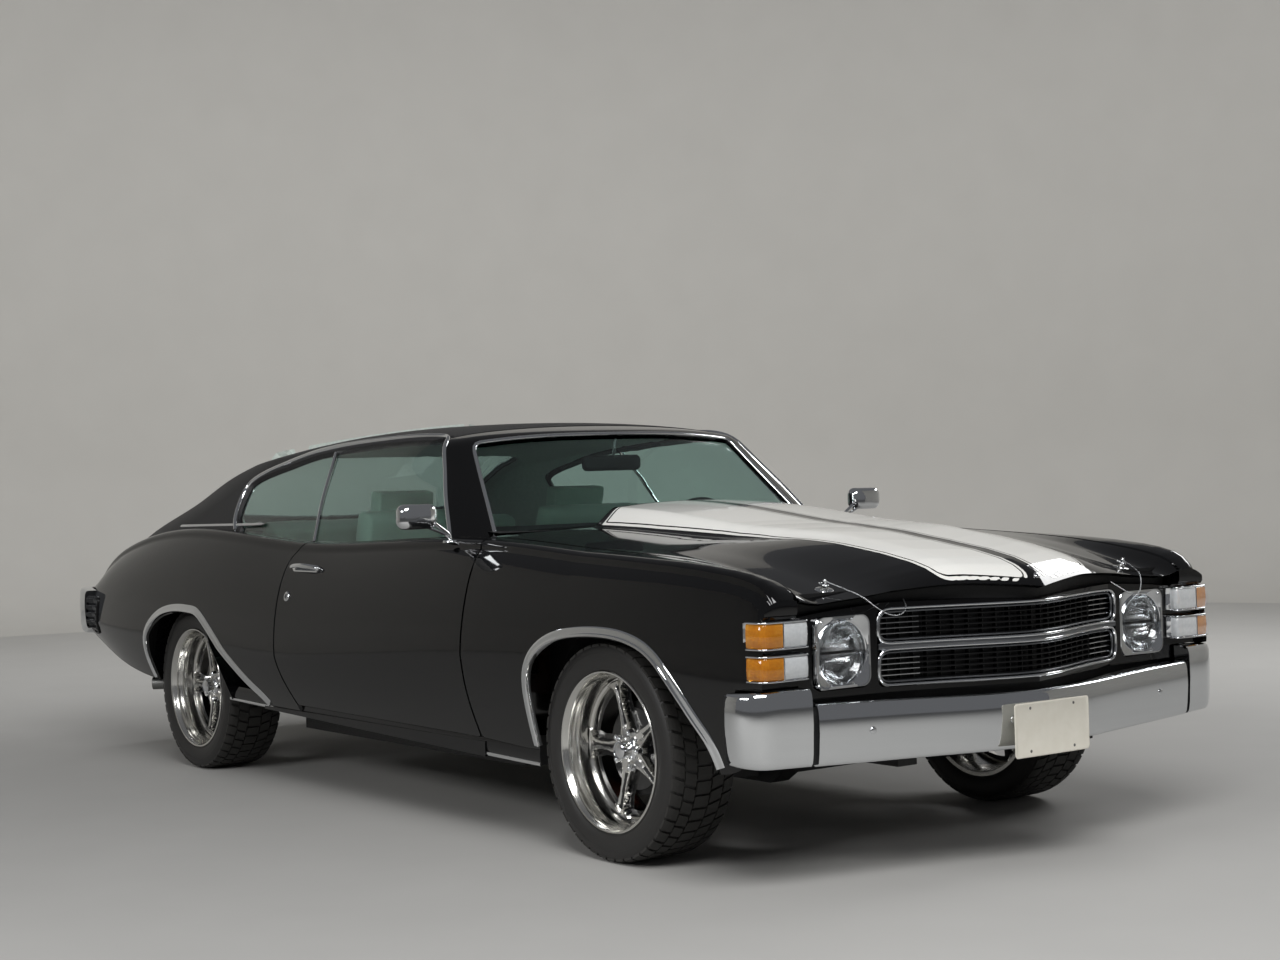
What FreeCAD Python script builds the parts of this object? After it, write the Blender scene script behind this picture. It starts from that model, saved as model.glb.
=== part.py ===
import FreeCAD, Part
import math
import os

# Two-door hardtop muscle car, built as an assembly of separate panels, glass, running gear and trim.
# The frame has +X forward, +Y to the driver's left and +Z up, with the origin on the ground at mid length.

Vec = FreeCAD.Vector

# Overall sizes
LENGTH = 5016.0
WIDTH = 1915.0
HEIGHT = 1339.0
WHEELBASE_SHARE = 0.567185
FRONT_OVERHANG_SHARE = 0.1868022
TRACK = 1527.0

# Sheet metal, gaps and the one overrun that all cutters share
SKIN = 4.0
PANEL_GAP = 7.0
SEAT_GAP = 0.3
OVERRUN = 600.0

# Wheels and tyres
TYRE_RADIUS = 325.0
TYRE_WIDTH = 235.0
TYRE_WALL = 12.0
TYRE_SHOULDER = 15.0
RIM_SEAT_RADIUS = 228.0
RIM_FLANGE = 11.0
RIM_WIDTH = 224.0
RIM_WALL = 7.0
SPOKE_COUNT = 5
SPOKE_THICKNESS = 26.0
SPOKE_FACE_DEPTH = 84.0
SPOKE_RIDGE = 8.0
SPOKE_FOOT_HALF = 17.0
SPOKE_END_HALF = 13.0
WINDOW_INNER_RADIUS = 88.0
WINDOW_OUTER_RADIUS = 192.0
WINDOW_CORNER = 14.0
HUB_RADIUS = 72.0
HUB_BORE_RADIUS = 20.0
HUB_DEPTH = 46.0
CAP_RADIUS = 28.0
CAP_HEIGHT = 42.0
CAP_EDGE = 5.0
BRAKE_RADIUS = 150.0
BRAKE_THICKNESS = 24.0

HALF_LENGTH = LENGTH / 2
WHEELBASE = WHEELBASE_SHARE * LENGTH
FRONT_OVERHANG = FRONT_OVERHANG_SHARE * LENGTH
HALF_WIDTH = WIDTH / 2
HALF_TRACK = TRACK / 2
FRONT_AXLE_X = HALF_LENGTH - FRONT_OVERHANG
REAR_AXLE_X = FRONT_AXLE_X - WHEELBASE
AXLE_Z = TYRE_RADIUS


# Places as shares of the overall length, half width and height

def along(share):
    return share * LENGTH


def across(share):
    return share * HALF_WIDTH


def up(share):
    return share * HEIGHT


def side_points(shares):
    return [(along(x), up(z)) for x, z in shares]


def plan_points(shares):
    return [(along(x), across(y)) for x, y in shares]


def front_points(shares):
    return [(across(y), up(z)) for y, z in shares]


# Small building blocks

def outline(points):
    return Part.Face(Part.makePolygon(points + [points[0]]))


def side_prism(points, inner, outer):
    face = outline([Vec(x, inner, z) for x, z in points])
    return face.extrude(Vec(0, outer - inner, 0))


def plan_prism(points, bottom, top):
    face = outline([Vec(x, y, bottom) for x, y in points])
    return face.extrude(Vec(0, 0, top - bottom))


def front_prism(points, rear, front):
    face = outline([Vec(rear, y, z) for y, z in points])
    return face.extrude(Vec(front - rear, 0, 0))


def block(x_low, x_high, y_low, y_high, z_low, z_high):
    size = Vec(x_high - x_low, y_high - y_low, z_high - z_low)
    return Part.makeBox(size.x, size.y, size.z, Vec(x_low, y_low, z_low))


def rod(start, end, radius):
    run = end.sub(start)
    return Part.makeCylinder(radius, run.Length, start, run)


def cross_rod(x, z, y_low, y_high, radius):
    return rod(Vec(x, y_low, z), Vec(x, y_high, z), radius)


def mirrored(shape):
    return shape.mirror(Vec(0, 0, 0), Vec(0, 1, 0))


def joined(shapes):
    result = shapes[0]
    for shape in shapes[1:]:
        result = result.fuse(shape)
    return result.removeSplitter()


def group(shapes):
    return Part.makeCompound(shapes)


def curve(*poles):
    bezier = Part.BezierCurve()
    bezier.setPoles(list(poles))
    return bezier.toShape()


def spun(points, x, z):
    """A ring turned about the wheel axis from (radius, y) points."""
    face = outline([Vec(x, y, z + radius) for radius, y in points])
    return face.revolve(Vec(x, 0, z), Vec(0, 1, 0), 360)


def bent_tube(points, radius, bend_share=0.45):
    """A round tube along straight runs, each corner eased by an arc that touches both of its runs."""
    edges = []
    start = points[0]
    for before, corner, after in zip(points, points[1:], points[2:]):
        back = before.sub(corner)
        ahead = after.sub(corner)
        trim = bend_share * min(back.Length, ahead.Length)
        enter = corner.add(back.normalize().multiply(trim))
        leave = corner.add(ahead.normalize().multiply(trim))
        middle = enter.add(leave).multiply(0.5)
        half_turn = back.getAngle(ahead) / 2
        inward = middle.sub(corner)
        arc_radius = trim * math.tan(half_turn)
        to_centre = trim / math.cos(half_turn)
        centre = corner.add(inward.normalize().multiply(to_centre))
        crown = centre.add(corner.sub(centre).normalize().multiply(arc_radius))
        edges.append(Part.LineSegment(start, enter).toShape())
        edges.append(Part.Arc(enter, crown, leave).toShape())
        start = leave
    edges.append(Part.LineSegment(start, points[-1]).toShape())
    path = Part.Wire(edges)
    first_run = points[1].sub(points[0])
    section = Part.Wire([Part.makeCircle(radius, points[0], first_run)])
    return path.makePipeShell([section], True, False)


# The body is one smooth hull through cross sections. Every outer panel is cut from it.

# Each row: x share, then y and z shares of the sill, the crease and the shoulder, then the crown share
STATION_SHARES = (
    (0.5060, 0.880, 0.400, 0.915, 0.430, 0.880, 0.500, 0.062),
    (0.4840, 0.895, 0.385, 0.940, 0.428, 0.898, 0.540, 0.048),
    (0.4426, 0.915, 0.260, 0.960, 0.421, 0.905, 0.592, 0.031),
    (0.3868, 0.923, 0.248, 0.972, 0.434, 0.908, 0.643, 0.024),
    (0.2911, 0.927, 0.236, 0.984, 0.445, 0.903, 0.678, 0.022),
    (0.1794, 0.930, 0.226, 0.993, 0.434, 0.897, 0.702, 0.020),
    (0.0498, 0.932, 0.226, 0.998, 0.402, 0.898, 0.694, 0.018),
    (-0.0778, 0.933, 0.228, 1.000, 0.378, 0.900, 0.687, 0.018),
    (-0.1794, 0.932, 0.234, 1.000, 0.385, 0.897, 0.710, 0.022),
    (-0.2990, 0.928, 0.250, 0.994, 0.396, 0.884, 0.716, 0.020),
    (-0.3987, 0.918, 0.295, 0.972, 0.405, 0.868, 0.667, 0.030),
    (-0.4585, 0.904, 0.360, 0.940, 0.420, 0.852, 0.594, 0.058),
    (-0.4960, 0.888, 0.400, 0.915, 0.432, 0.838, 0.508, 0.085),
)
SHOULDER_RADIUS = 30.0
LOWER_BOW_SHARE = 0.25
UPPER_BOW_SHARE = 0.06
UPPER_BOW_HEIGHT_SHARE = 0.62


def hull_section(row, inset, reach):
    x = along(row[0]) + reach
    sill_y = across(row[1]) - inset
    sill_z = up(row[2]) - 2 * inset
    crease_y = across(row[3]) - inset
    crease_z = up(row[4])
    shoulder_y = across(row[5]) - inset
    shoulder_z = up(row[6]) - inset
    crown_z = shoulder_z + 2 * up(row[7])
    lower_y = crease_y - LOWER_BOW_SHARE * (crease_y - sill_y)
    lower_z = (sill_z + crease_z) / 2
    upper_y = crease_y - UPPER_BOW_SHARE * (crease_y - shoulder_y)
    upper_z = crease_z + UPPER_BOW_HEIGHT_SHARE * (shoulder_z - crease_z)
    corner_z = shoulder_z - SHOULDER_RADIUS
    corner_y = shoulder_y - SHOULDER_RADIUS

    def half(side):
        sill = Vec(x, side * sill_y, sill_z)
        crease = Vec(x, side * crease_y, crease_z)
        shoulder = Vec(x, side * shoulder_y, corner_z)
        deck = Vec(x, side * corner_y, shoulder_z)
        lower = (sill, Vec(x, side * lower_y, lower_z), crease)
        upper = (crease, Vec(x, side * upper_y, upper_z), shoulder)
        round_over = (shoulder, Vec(x, side * shoulder_y, shoulder_z), deck)
        return lower, upper, round_over

    left = half(1)
    right = half(-1)
    edges = [curve(*poles) for poles in left]
    edges.append(curve(left[2][2], Vec(x, 0, crown_z), right[2][2]))
    edges += [curve(*reversed(poles)) for poles in reversed(right)]
    edges.append(Part.LineSegment(right[0][0], left[0][0]).toShape())
    return Part.Wire(edges)


def hull(inset):
    reaches = [inset] + [0.0] * (len(STATION_SHARES) - 2) + [-inset]
    sections = [hull_section(row, inset, reach) for row, reach in zip(STATION_SHARES, reaches)]
    return Part.makeLoft(sections, True, False)


# Plan outlines of the nose and the tail, from the centre line outward
NOSE_SHARES = ((0.4964, 0.0), (0.4820, 0.25), (0.4690, 0.48), (0.4655, 0.70), (0.4640, 1.10))
TAIL_SHARES = ((-0.4850, 0.0), (-0.4820, 0.45), (-0.4760, 0.75), (-0.4660, 0.92), (-0.4580, 1.10))


def end_outline(shares, offset, limit):
    """The plan outline of one end of the car, closed across the car at the limit."""
    half = [(along(x) + offset, across(y)) for x, y in shares]
    other = [(x, -y) for x, y in reversed(half[1:])]
    return other + half + [(limit, half[-1][1]), (limit, -half[-1][1])]


def nose_prism(offset, limit_x):
    return plan_prism(end_outline(NOSE_SHARES, offset, limit_x), -OVERRUN, HEIGHT + OVERRUN)


def tail_prism(offset, limit_x):
    return plan_prism(end_outline(TAIL_SHARES, -offset, limit_x), -OVERRUN, HEIGHT + OVERRUN)


# The glasshouse is a loft through plan outlines stacked from the belt to the crown of the roof.

# Each row: z share, x share of the front centre, x and y of the front corner, of the side's front end,
# of its rear end and of the rear corner, the x share of the rear centre, and the share of the inset
# that goes downward
LEVEL_SHARES = (
    (0.657, 0.1795, 0.1495, 0.778, 0.1236, 0.888, -0.3190, 0.882, -0.4087, 0.809, -0.3890, 0.0),
    (0.717, 0.1635, 0.1338, 0.749, 0.1077, 0.848, -0.2891, 0.844, -0.3748, 0.775, -0.3440, 0.0),
    (0.792, 0.1425, 0.1142, 0.712, 0.0917, 0.802, -0.2492, 0.792, -0.3190, 0.723, -0.2950, 0.2),
    (0.881, 0.1176, 0.0907, 0.668, 0.0738, 0.731, -0.1954, 0.725, -0.2562, 0.679, -0.2392, 0.4),
    (0.952, 0.0953, 0.0720, 0.633, 0.0598, 0.675, -0.1515, 0.674, -0.1804, 0.633, -0.1964, 0.7),
    (1.060, 0.0510, 0.0340, 0.578, 0.0260, 0.592, -0.0890, 0.590, -0.1080, 0.578, -0.1330, 1.0),
)
SIDE_BOW = 18.0


def level_outline(row, inset):
    z = up(row[0]) - inset * row[11]
    front_x = along(row[1]) - inset
    corner_x = along(row[2]) - inset
    corner_y = across(row[3]) - inset
    side_front_x = along(row[4]) - inset
    side_front_y = across(row[5]) - inset
    side_rear_x = along(row[6]) + inset
    side_rear_y = across(row[7]) - inset
    tail_x = along(row[8]) + inset
    tail_y = across(row[9]) - inset
    rear_x = along(row[10]) + inset

    def place(x, y):
        return Vec(x, y, z)

    front = curve(place(corner_x, -corner_y), place(2 * front_x - corner_x, 0), place(corner_x, corner_y))
    rear = curve(place(tail_x, tail_y), place(2 * rear_x - tail_x, 0), place(tail_x, -tail_y))
    edges = [front]
    for side in (1, -1):
        corner = place(corner_x, side * corner_y)
        side_front = place(side_front_x, side * side_front_y)
        side_rear = place(side_rear_x, side * side_rear_y)
        tail = place(tail_x, side * tail_y)
        turn = place((corner_x + side_front_x) / 2, side * side_front_y)
        bow = place((side_front_x + side_rear_x) / 2, side * (side_front_y + SIDE_BOW))
        rear_turn = place((side_rear_x + tail_x) / 2, side * side_rear_y)
        run = [(corner, turn, side_front), (side_front, bow, side_rear), (side_rear, rear_turn, tail)]
        if side == 1:
            edges += [curve(*poles) for poles in run]
            edges.append(rear)
        else:
            edges += [curve(*reversed(poles)) for poles in reversed(run)]
    return Part.Wire(edges)


# The crown of the roof closes the glasshouse. Each row: x share, z shares of the edge and of the centre line
CROWN_SHARES = (
    (0.2200, 0.800, 0.840),
    (0.0877, 0.922, 0.969),
    (0.0399, 0.942, 0.992),
    (-0.0200, 0.943, 1.000),
    (-0.0897, 0.935, 0.997),
    (-0.1595, 0.920, 0.974),
    (-0.2093, 0.905, 0.946),
    (-0.3000, 0.870, 0.890),
    (-0.4500, 0.810, 0.820),
)
CROWN_EDGE_SHARE = 0.721
CROWN_FLAT_SHARE = 0.585
CROWN_SKIRT_SHARE = 1.150
CROWN_FOOT_SHARE = 0.500


def crown_section(row, inset):
    x = along(row[0])
    edge_z = up(row[1]) - inset
    flat_z = (4 * (up(row[2]) - inset) - edge_z) / 3
    edge = across(CROWN_EDGE_SHARE)
    flat = across(CROWN_FLAT_SHARE)
    skirt = across(CROWN_SKIRT_SHARE)
    foot_z = up(CROWN_FOOT_SHARE)
    over = curve(Vec(x, edge, edge_z), Vec(x, flat, flat_z), Vec(x, -flat, flat_z), Vec(x, -edge, edge_z))
    below = [Vec(x, -edge, edge_z), Vec(x, -skirt, foot_z), Vec(x, skirt, foot_z), Vec(x, edge, edge_z)]
    edges = [over]
    for start, end in zip(below, below[1:]):
        edges.append(Part.LineSegment(start, end).toShape())
    return Part.Wire(edges)


def glasshouse(inset):
    sides = Part.makeLoft([level_outline(row, inset) for row in LEVEL_SHARES], True, False)
    crown = Part.makeLoft([crown_section(row, inset) for row in CROWN_SHARES], True, False)
    return sides.common(crown)


HULL = hull(0.0)
HULL_SKIN = hull(SKIN)
HULL_SEAT = hull(-SEAT_GAP)

# Side outlines of the door, from its front top corner forward edge round to the rear
DOOR_FRONT_SHARES = ((0.1752, 0.760), (0.1768, 0.650), (0.1782, 0.560), (0.1770, 0.440), (0.1776, 0.340),
                     (0.1822, 0.236))
DOOR_REAR_SHARES = ((-0.0640, 0.245), (-0.0762, 0.340), (-0.0799, 0.430), (-0.0790, 0.610),
                    (-0.0735, 0.660), (-0.0640, 0.690), (-0.0600, 0.760))


def shifted(points, dx, dz=0.0):
    return [(x + dx, z + dz) for x, z in points]


DOOR_INNER_Y = 790.0
DOOR_LIP = 10.0
DOOR_SHELL_STEP = 14.0
DOOR_HINGE_BACK = 57.0
DOOR_HINGE_IN = 31.0
DOOR_SHELL_CLEARANCE = 14.0
DOOR_HINGE_X = along(DOOR_FRONT_SHARES[2][0]) - DOOR_HINGE_BACK
DOOR_HINGE_Y = HALF_WIDTH - DOOR_HINGE_IN

GLASS_THICKNESS = 5.0
GLASS_INSET = 10.0
GLASS_SLOT = 3.0
GLASS_DEPTH = 40.0
BELT_Z = up(0.69)
GLASS_GAP = 6.0

# Side outline of the window opening, from the foot of the windshield pillar over the rail to the sail panel
WINDOW_FRONT_SHARES = ((0.1250, 0.640), (0.1216, 0.704), (0.0634, 0.943))
WINDOW_TOP_SHARES = ((0.0490, 0.951), (0.0100, 0.952), (-0.0500, 0.944), (-0.0877, 0.935))
WINDOW_REAR_SHARES = ((-0.1198, 0.922), (-0.1533, 0.899), (-0.1878, 0.874), (-0.2053, 0.853), (-0.2075, 0.833),
                      (-0.2063, 0.795), (-0.2014, 0.751), (-0.1882, 0.728), (-0.1882, 0.640))
# Number of rear points above the turn of the outline, which move down with its gap and the others up
WINDOW_TURN = 5
# The bright strip between door glass and quarter glass leans back toward its top
DIVIDER_TOP_SHARE = -0.0861
DIVIDER_FOOT_SHARE = -0.0602
DIVIDER_HALF = 9.0
ROOF_THICKNESS = 28.0
HEADER_SHARE = 0.0600

WINDSHIELD_CUT_SHARE = 0.0200
WINDSHIELD_SHARES = ((-0.722, 0.690), (-0.598, 0.940), (-0.420, 0.9515), (-0.200, 0.9575), (0.200, 0.9575),
                     (0.420, 0.9515), (0.598, 0.940), (0.722, 0.690))
REAR_WINDOW_SHARES = ((-0.2010, 0.0), (-0.1990, 0.30), (-0.1930, 0.555), (-0.3350, 0.655), (-0.3310, 0.35),
                      (-0.3300, 0.0), (-0.3310, -0.35), (-0.3350, -0.655), (-0.1930, -0.555), (-0.1990, -0.30))

# Hood, bulge and trunk lid
HOOD_HALF_SHARE = 0.812
HOOD_FRONT_HALF_SHARE = 0.800
HOOD_STRAIGHT_SHARE = 0.4400
HOOD_PANEL = 22.0
HOOD_REAR_SHARES = ((0.1735, 0.0), (0.1715, 0.35), (0.1655, 0.62), (0.1590, 0.812))
BULGE_HEIGHT = 62.0
BULGE_WALL = 4.0
BULGE_ROOT = 18.0
BULGE_DEPTH = 90.0
BULGE_CROWN = 6.0
# Each row: x share, the top's half width, the foot's half width and the height as shares
BULGE_SHARES = (
    (0.1760, 0.315, 0.420, 1.00),
    (0.2200, 0.312, 0.415, 0.93),
    (0.2900, 0.300, 0.395, 0.66),
    (0.3600, 0.270, 0.350, 0.28),
    (0.4050, 0.240, 0.300, 0.02),
)
COWL_REAR_SHARE = 0.1250
COWL_GAP = 11.0
# The hood and the trunk lid swing on gooseneck arms, so that they clear the panel in front of their edge
HOOD_HINGE_SHARE = 0.147528
HOOD_HINGE_Z_SHARE = 0.690814
HOOD_ARM_Y_SHARE = 0.7875
HOOD_ARM_DROP = 50.0
HOOD_ARM_FOOT = 30.0
HOOD_ARM_RUN = 78.0
TRUNK_HINGE_SHARE = -0.354039
TRUNK_HINGE_Z_SHARE = 0.705751
TRUNK_ARM_Y_SHARE = 0.3123
TRUNK_ARM_DROP = 60.0
TRUNK_ARM_FOOT = 10.0
TRUNK_ARM_RUN = 90.0
ARM_BAR_HALF = 5.0
ARM_BAR_WIDTH = 12.0
ARM_SIDE_GAP = 6.0
ARM_PIN_RADIUS = 4.7
ARM_EYE_HALF = 8.0
TRUNK_HALF_SHARE = 0.722
TRUNK_FRONT_SHARE = -0.3660
TRUNK_PANEL = 22.0


def fender_arch(axle_x, shares):
    points = [(axle_x + x * TYRE_RADIUS, AXLE_Z + z * TYRE_RADIUS) for x, z in shares]
    return points


FRONT_ARCH_SHARES = ((-1.02, -0.60), (-1.010, 0.00), (-1.006, 0.43), (-0.985, 0.62), (-0.86, 0.81), (-0.68, 0.93),
                     (-0.43, 1.01), (-0.11, 1.05), (0.20, 1.06), (0.50, 1.04), (0.79, 0.97), (1.00, 0.852),
                     (1.135, 0.723), (1.40, 0.42), (1.628, 0.098), (1.70, -0.60))
REAR_ARCH_SHARES = ((-1.02, -0.60), (-1.04, 0.10), (-1.03, 0.44), (-0.88, 0.70), (-0.56, 0.87), (-0.25, 0.94),
                    (0.05, 0.965), (0.35, 0.96), (0.62, 0.93), (1.03, 0.70), (1.42, 0.44), (1.81, 0.18),
                    (2.20, -0.09), (2.30, -0.60))
FENDER_FOOT_SHARES = ((0.4373, 0.230), (0.4373, 0.250), (0.4434, 0.4150), (0.5100, 0.4150))


def arch_prism(axle_x, shares):
    """The wheel opening as a smooth curve through its points, closed below."""
    points = [Vec(x, 0, z) for x, z in fender_arch(axle_x, shares)]
    edge = Part.BSplineCurve()
    edge.interpolate(points)
    closing = Part.LineSegment(points[-1], points[0]).toShape()
    return Part.Face(Part.Wire([edge.toShape(), closing])).extrude(Vec(0, WIDTH, 0))


def side_half(shape, inner_y=0.0):
    """Keep the left side of a shape, outboard of inner_y."""
    return shape.common(block(-LENGTH, LENGTH, inner_y, WIDTH, -OVERRUN, HEIGHT + OVERRUN))


def skin_panel(cutter):
    """A panel of the outer skin inside a cutter."""
    return HULL.common(cutter).cut(HULL_SKIN)


def make_fender():
    rear = shifted(side_points(DOOR_FRONT_SHARES), PANEL_GAP)
    foot = side_points(FENDER_FOOT_SHARES)
    top = [(LENGTH, HEIGHT), (rear[0][0], HEIGHT)]
    low = [(rear[-1][0], 0.0), (foot[0][0], 0.0)]
    hood_edge = across(HOOD_HALF_SHARE) + PANEL_GAP
    panel = skin_panel(side_prism(rear + low + foot + top, hood_edge, WIDTH))
    panel = panel.cut(arch_prism(FRONT_AXLE_X, FRONT_ARCH_SHARES))
    return panel.common(nose_prism(0.0, 0.0))


def make_quarter():
    front = shifted(side_points(DOOR_REAR_SHARES), -PANEL_GAP)
    low = [(-LENGTH, HEIGHT), (-LENGTH, 0.0), (front[0][0], 0.0)]
    trunk_edge = across(TRUNK_HALF_SHARE) + PANEL_GAP
    panel = skin_panel(side_prism(front + [(front[-1][0], HEIGHT)] + low, trunk_edge, WIDTH))
    panel = panel.cut(arch_prism(REAR_AXLE_X, REAR_ARCH_SHARES))
    return panel.common(tail_prism(0.0, 0.0))


def gooseneck(hinge_x, hinge_z, end, sizes, top_z, y):
    """A bent flat arm in side view with its pin. end is the side of the hinge on which the panel lies."""
    foot, run, drop = sizes
    line = [(hinge_x, hinge_z), (hinge_x + end * foot, hinge_z - drop), (hinge_x + end * run, hinge_z - drop),
            (hinge_x + end * run, top_z)]
    y_high = y + ARM_BAR_WIDTH
    pieces = [cross_rod(hinge_x, hinge_z, y, y_high + 2 * ARM_SIDE_GAP, ARM_PIN_RADIUS)]
    for (x0, z0), (x1, z1) in zip(line, line[1:]):
        run_length = math.hypot(x1 - x0, z1 - z0)
        aside_x = -ARM_BAR_HALF * (z1 - z0) / run_length
        aside_z = ARM_BAR_HALF * (x1 - x0) / run_length
        pieces.append(side_prism([(x0 + aside_x, z0 + aside_z), (x1 + aside_x, z1 + aside_z),
                                  (x1 - aside_x, z1 - aside_z), (x0 - aside_x, z0 - aside_z)], y, y_high))
        pieces.append(cross_rod(x0, z0, y, y_high, ARM_BAR_HALF))
    return joined(pieces)


def hinge_plate(points, hinge_x, hinge_z, y):
    """A fixed plate beside the arm, with an eye for its pin."""
    low = y + ARM_BAR_WIDTH + ARM_SIDE_GAP
    plate = side_prism(points, low, low + ARM_SIDE_GAP)
    return plate.cut(cross_rod(hinge_x, hinge_z, 0.0, WIDTH, ARM_PIN_RADIUS + SEAT_GAP))


def hood_hinge_plate():
    x = along(HOOD_HINGE_SHARE)
    z = up(HOOD_HINGE_Z_SHARE)
    end = along(FIREWALL_SHARE) - PILLAR_DEPTH + ARM_EYE_HALF
    low = up(PILLAR_TOP_SHARE) - ARM_EYE_HALF
    high = up(PILLAR_TOP_SHARE) + ARM_EYE_HALF / 2
    points = [(x - ARM_EYE_HALF, z + ARM_EYE_HALF), (x + ARM_EYE_HALF, z + ARM_EYE_HALF), (x + HOOD_ARM_DROP, high),
              (end, high), (end, low), (x + HOOD_ARM_FOOT, low), (x - ARM_EYE_HALF, z - ARM_EYE_HALF)]
    return hinge_plate(points, x, z, across(HOOD_ARM_Y_SHARE))


def trunk_hinge_plate():
    x = along(TRUNK_HINGE_SHARE)
    z = up(TRUNK_HINGE_Z_SHARE)
    points = [(x - ARM_EYE_HALF, z - ARM_EYE_HALF), (x + ARM_EYE_HALF, z - ARM_EYE_HALF), (x + ARM_EYE_HALF, HEIGHT),
              (x - ARM_EYE_HALF, HEIGHT)]
    return hinge_plate(points, x, z, across(TRUNK_ARM_Y_SHARE)).common(HULL)


def make_hood():
    rear = [(along(x), across(y)) for x, y in HOOD_REAR_SHARES]
    sides = [(along(HOOD_STRAIGHT_SHARE), across(HOOD_HALF_SHARE)), (LENGTH, across(HOOD_FRONT_HALF_SHARE))]
    half = rear + sides
    plan = half + [(x, -y) for x, y in reversed(half[1:])]
    cutter = plan_prism(plan, 0.0, HEIGHT).common(nose_prism(0.0, 0.0))
    outer = []
    inner = []
    for x_share, top, foot, rise in BULGE_SHARES:
        x = along(x_share)
        skin = hood_height(x)
        crown = skin + rise * BULGE_HEIGHT
        outer.append(bulge_section(x, across(top), across(foot), skin - BULGE_ROOT, crown))
        inner.append(bulge_section(x, across(top) - BULGE_WALL, across(foot) - BULGE_WALL, skin - BULGE_DEPTH,
                                   crown - BULGE_WALL))
    bulge = Part.makeLoft(outer, True, False).common(plan_prism(plan, 0.0, HEIGHT))
    whole = HULL.common(cutter).fuse(bulge)
    hood = whole.cut(hull(HOOD_PANEL)).cut(Part.makeLoft(inner, True, False))
    hinge_z = up(HOOD_HINGE_Z_SHARE)
    arm = gooseneck(along(HOOD_HINGE_SHARE), hinge_z, 1, (HOOD_ARM_FOOT, HOOD_ARM_RUN, HOOD_ARM_DROP),
                    hinge_z + ARM_BAR_HALF, across(HOOD_ARM_Y_SHARE))
    return hood.fuse(arm).fuse(mirrored(arm))


def hood_height(x):
    """Height of the hull's top on the centre line, read between the two nearest stations."""
    rows = [(along(row[0]), up(row[6] + row[7])) for row in STATION_SHARES]
    for (x_ahead, z_ahead), (x_behind, z_behind) in zip(rows, rows[1:]):
        if x_behind <= x <= x_ahead:
            return z_behind + (z_ahead - z_behind) * (x - x_behind) / (x_ahead - x_behind)
    return rows[-1][1]


def bulge_section(x, top, foot, base, crown):
    points = [Vec(x, foot, base), Vec(x, top, crown), Vec(x, -top, crown), Vec(x, -foot, base)]
    edges = [Part.LineSegment(points[0], points[1]).toShape()]
    edges.append(curve(points[1], Vec(x, 0, crown + BULGE_CROWN), points[2]))
    edges.append(Part.LineSegment(points[2], points[3]).toShape())
    edges.append(Part.LineSegment(points[3], points[0]).toShape())
    return Part.Wire(edges)


def make_trunk_lid():
    half = across(TRUNK_HALF_SHARE)
    cutter = block(-LENGTH, along(TRUNK_FRONT_SHARE), -half, half, 0.0, HEIGHT)
    panel = HULL.common(cutter).cut(hull(TRUNK_PANEL)).common(tail_prism(0.0, 0.0))
    hinge_z = up(TRUNK_HINGE_Z_SHARE)
    arm = gooseneck(along(TRUNK_HINGE_SHARE), hinge_z, -1, (TRUNK_ARM_FOOT, TRUNK_ARM_RUN, TRUNK_ARM_DROP),
                    hinge_z - 2 * ARM_BAR_HALF, across(TRUNK_ARM_Y_SHARE))
    return panel.fuse(arm).fuse(mirrored(arm))


def make_cowl():
    rear = [(along(x) - COWL_GAP, across(y)) for x, y in HOOD_REAR_SHARES]
    half = rear + [(along(COWL_REAR_SHARE), across(HOOD_HALF_SHARE))]
    plan = half + [(x, -y) for x, y in reversed(half[1:])]
    sheet = hull(SKIN).common(plan_prism(plan, 0.0, HEIGHT)).cut(hull(2 * SKIN))
    return sheet.cut(glasshouse(0.0))


def make_fender_full():
    panel = make_fender()
    for space in turn_lamp_blocks(SEAT_GAP):
        panel = panel.cut(space)
    return panel


GLASSHOUSE = glasshouse(0.0)

# Remaining driving sizes of the pieces, each beside the piece it belongs to

FLOOR_Z = 296.0
REAR_FLOOR_Z = 464.0
TRUNK_FLOOR_Z = 400.0
FLOOR_SHEET = 6.0
FLOOR_HALF_SHARE = 0.809
TUNNEL_RADIUS = 150.0
FIREWALL_SHARE = 0.1772
KICK_SHARE = -0.1396
TRUNK_STEP_SHARE = -0.3790
TRUNK_END_SHARE = -0.4640
ROCKER_INNER = 762.0
ROCKER_SHARES = ((0.1850, 0.190), (-0.1240, 0.217), (-0.1240, 0.2255), (0.1850, 0.2255))
ROCKER_OUTER_SHARE = 0.930
PILLAR_OUTER = 832.0
PILLAR_INNER = 700.0
PILLAR_DEPTH = 44.0
PILLAR_TOP_SHARE = 0.676
WHEELHOUSE_RADIUS = 366.0
WHEELHOUSE_INNER = 611.0
AXLE_SLOT = 62.0
JAMB_INNER = 776.0
QUARTER_TRIM_Y = 776.0
QUARTER_TRIM_SHARE = -0.1800
HINGE_RADIUS = 8.0
HINGE_LENGTH = 44.0
HINGE_ARM = 12.0
HINGE_LOW_SHARE = 0.385
HINGE_HIGH_SHARE = 0.452
HINGE_KNUCKLE = 20.0
HINGE_POCKET = 6.0
HINGE_RELIEF = 2.0

RAIL_BOTTOM = 200.0
RAIL_HEIGHT = 96.0
RAIL_SHARES = (
    (0.4585, 0.420), (0.2090, 0.420), (0.1754, 0.742), (-0.1276, 0.742), (-0.1715, 0.574), (-0.4645, 0.574),
    (-0.4645, 0.500), (-0.1775, 0.500), (-0.1336, 0.668), (0.1690, 0.668), (0.2010, 0.345), (0.4585, 0.345))
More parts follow.
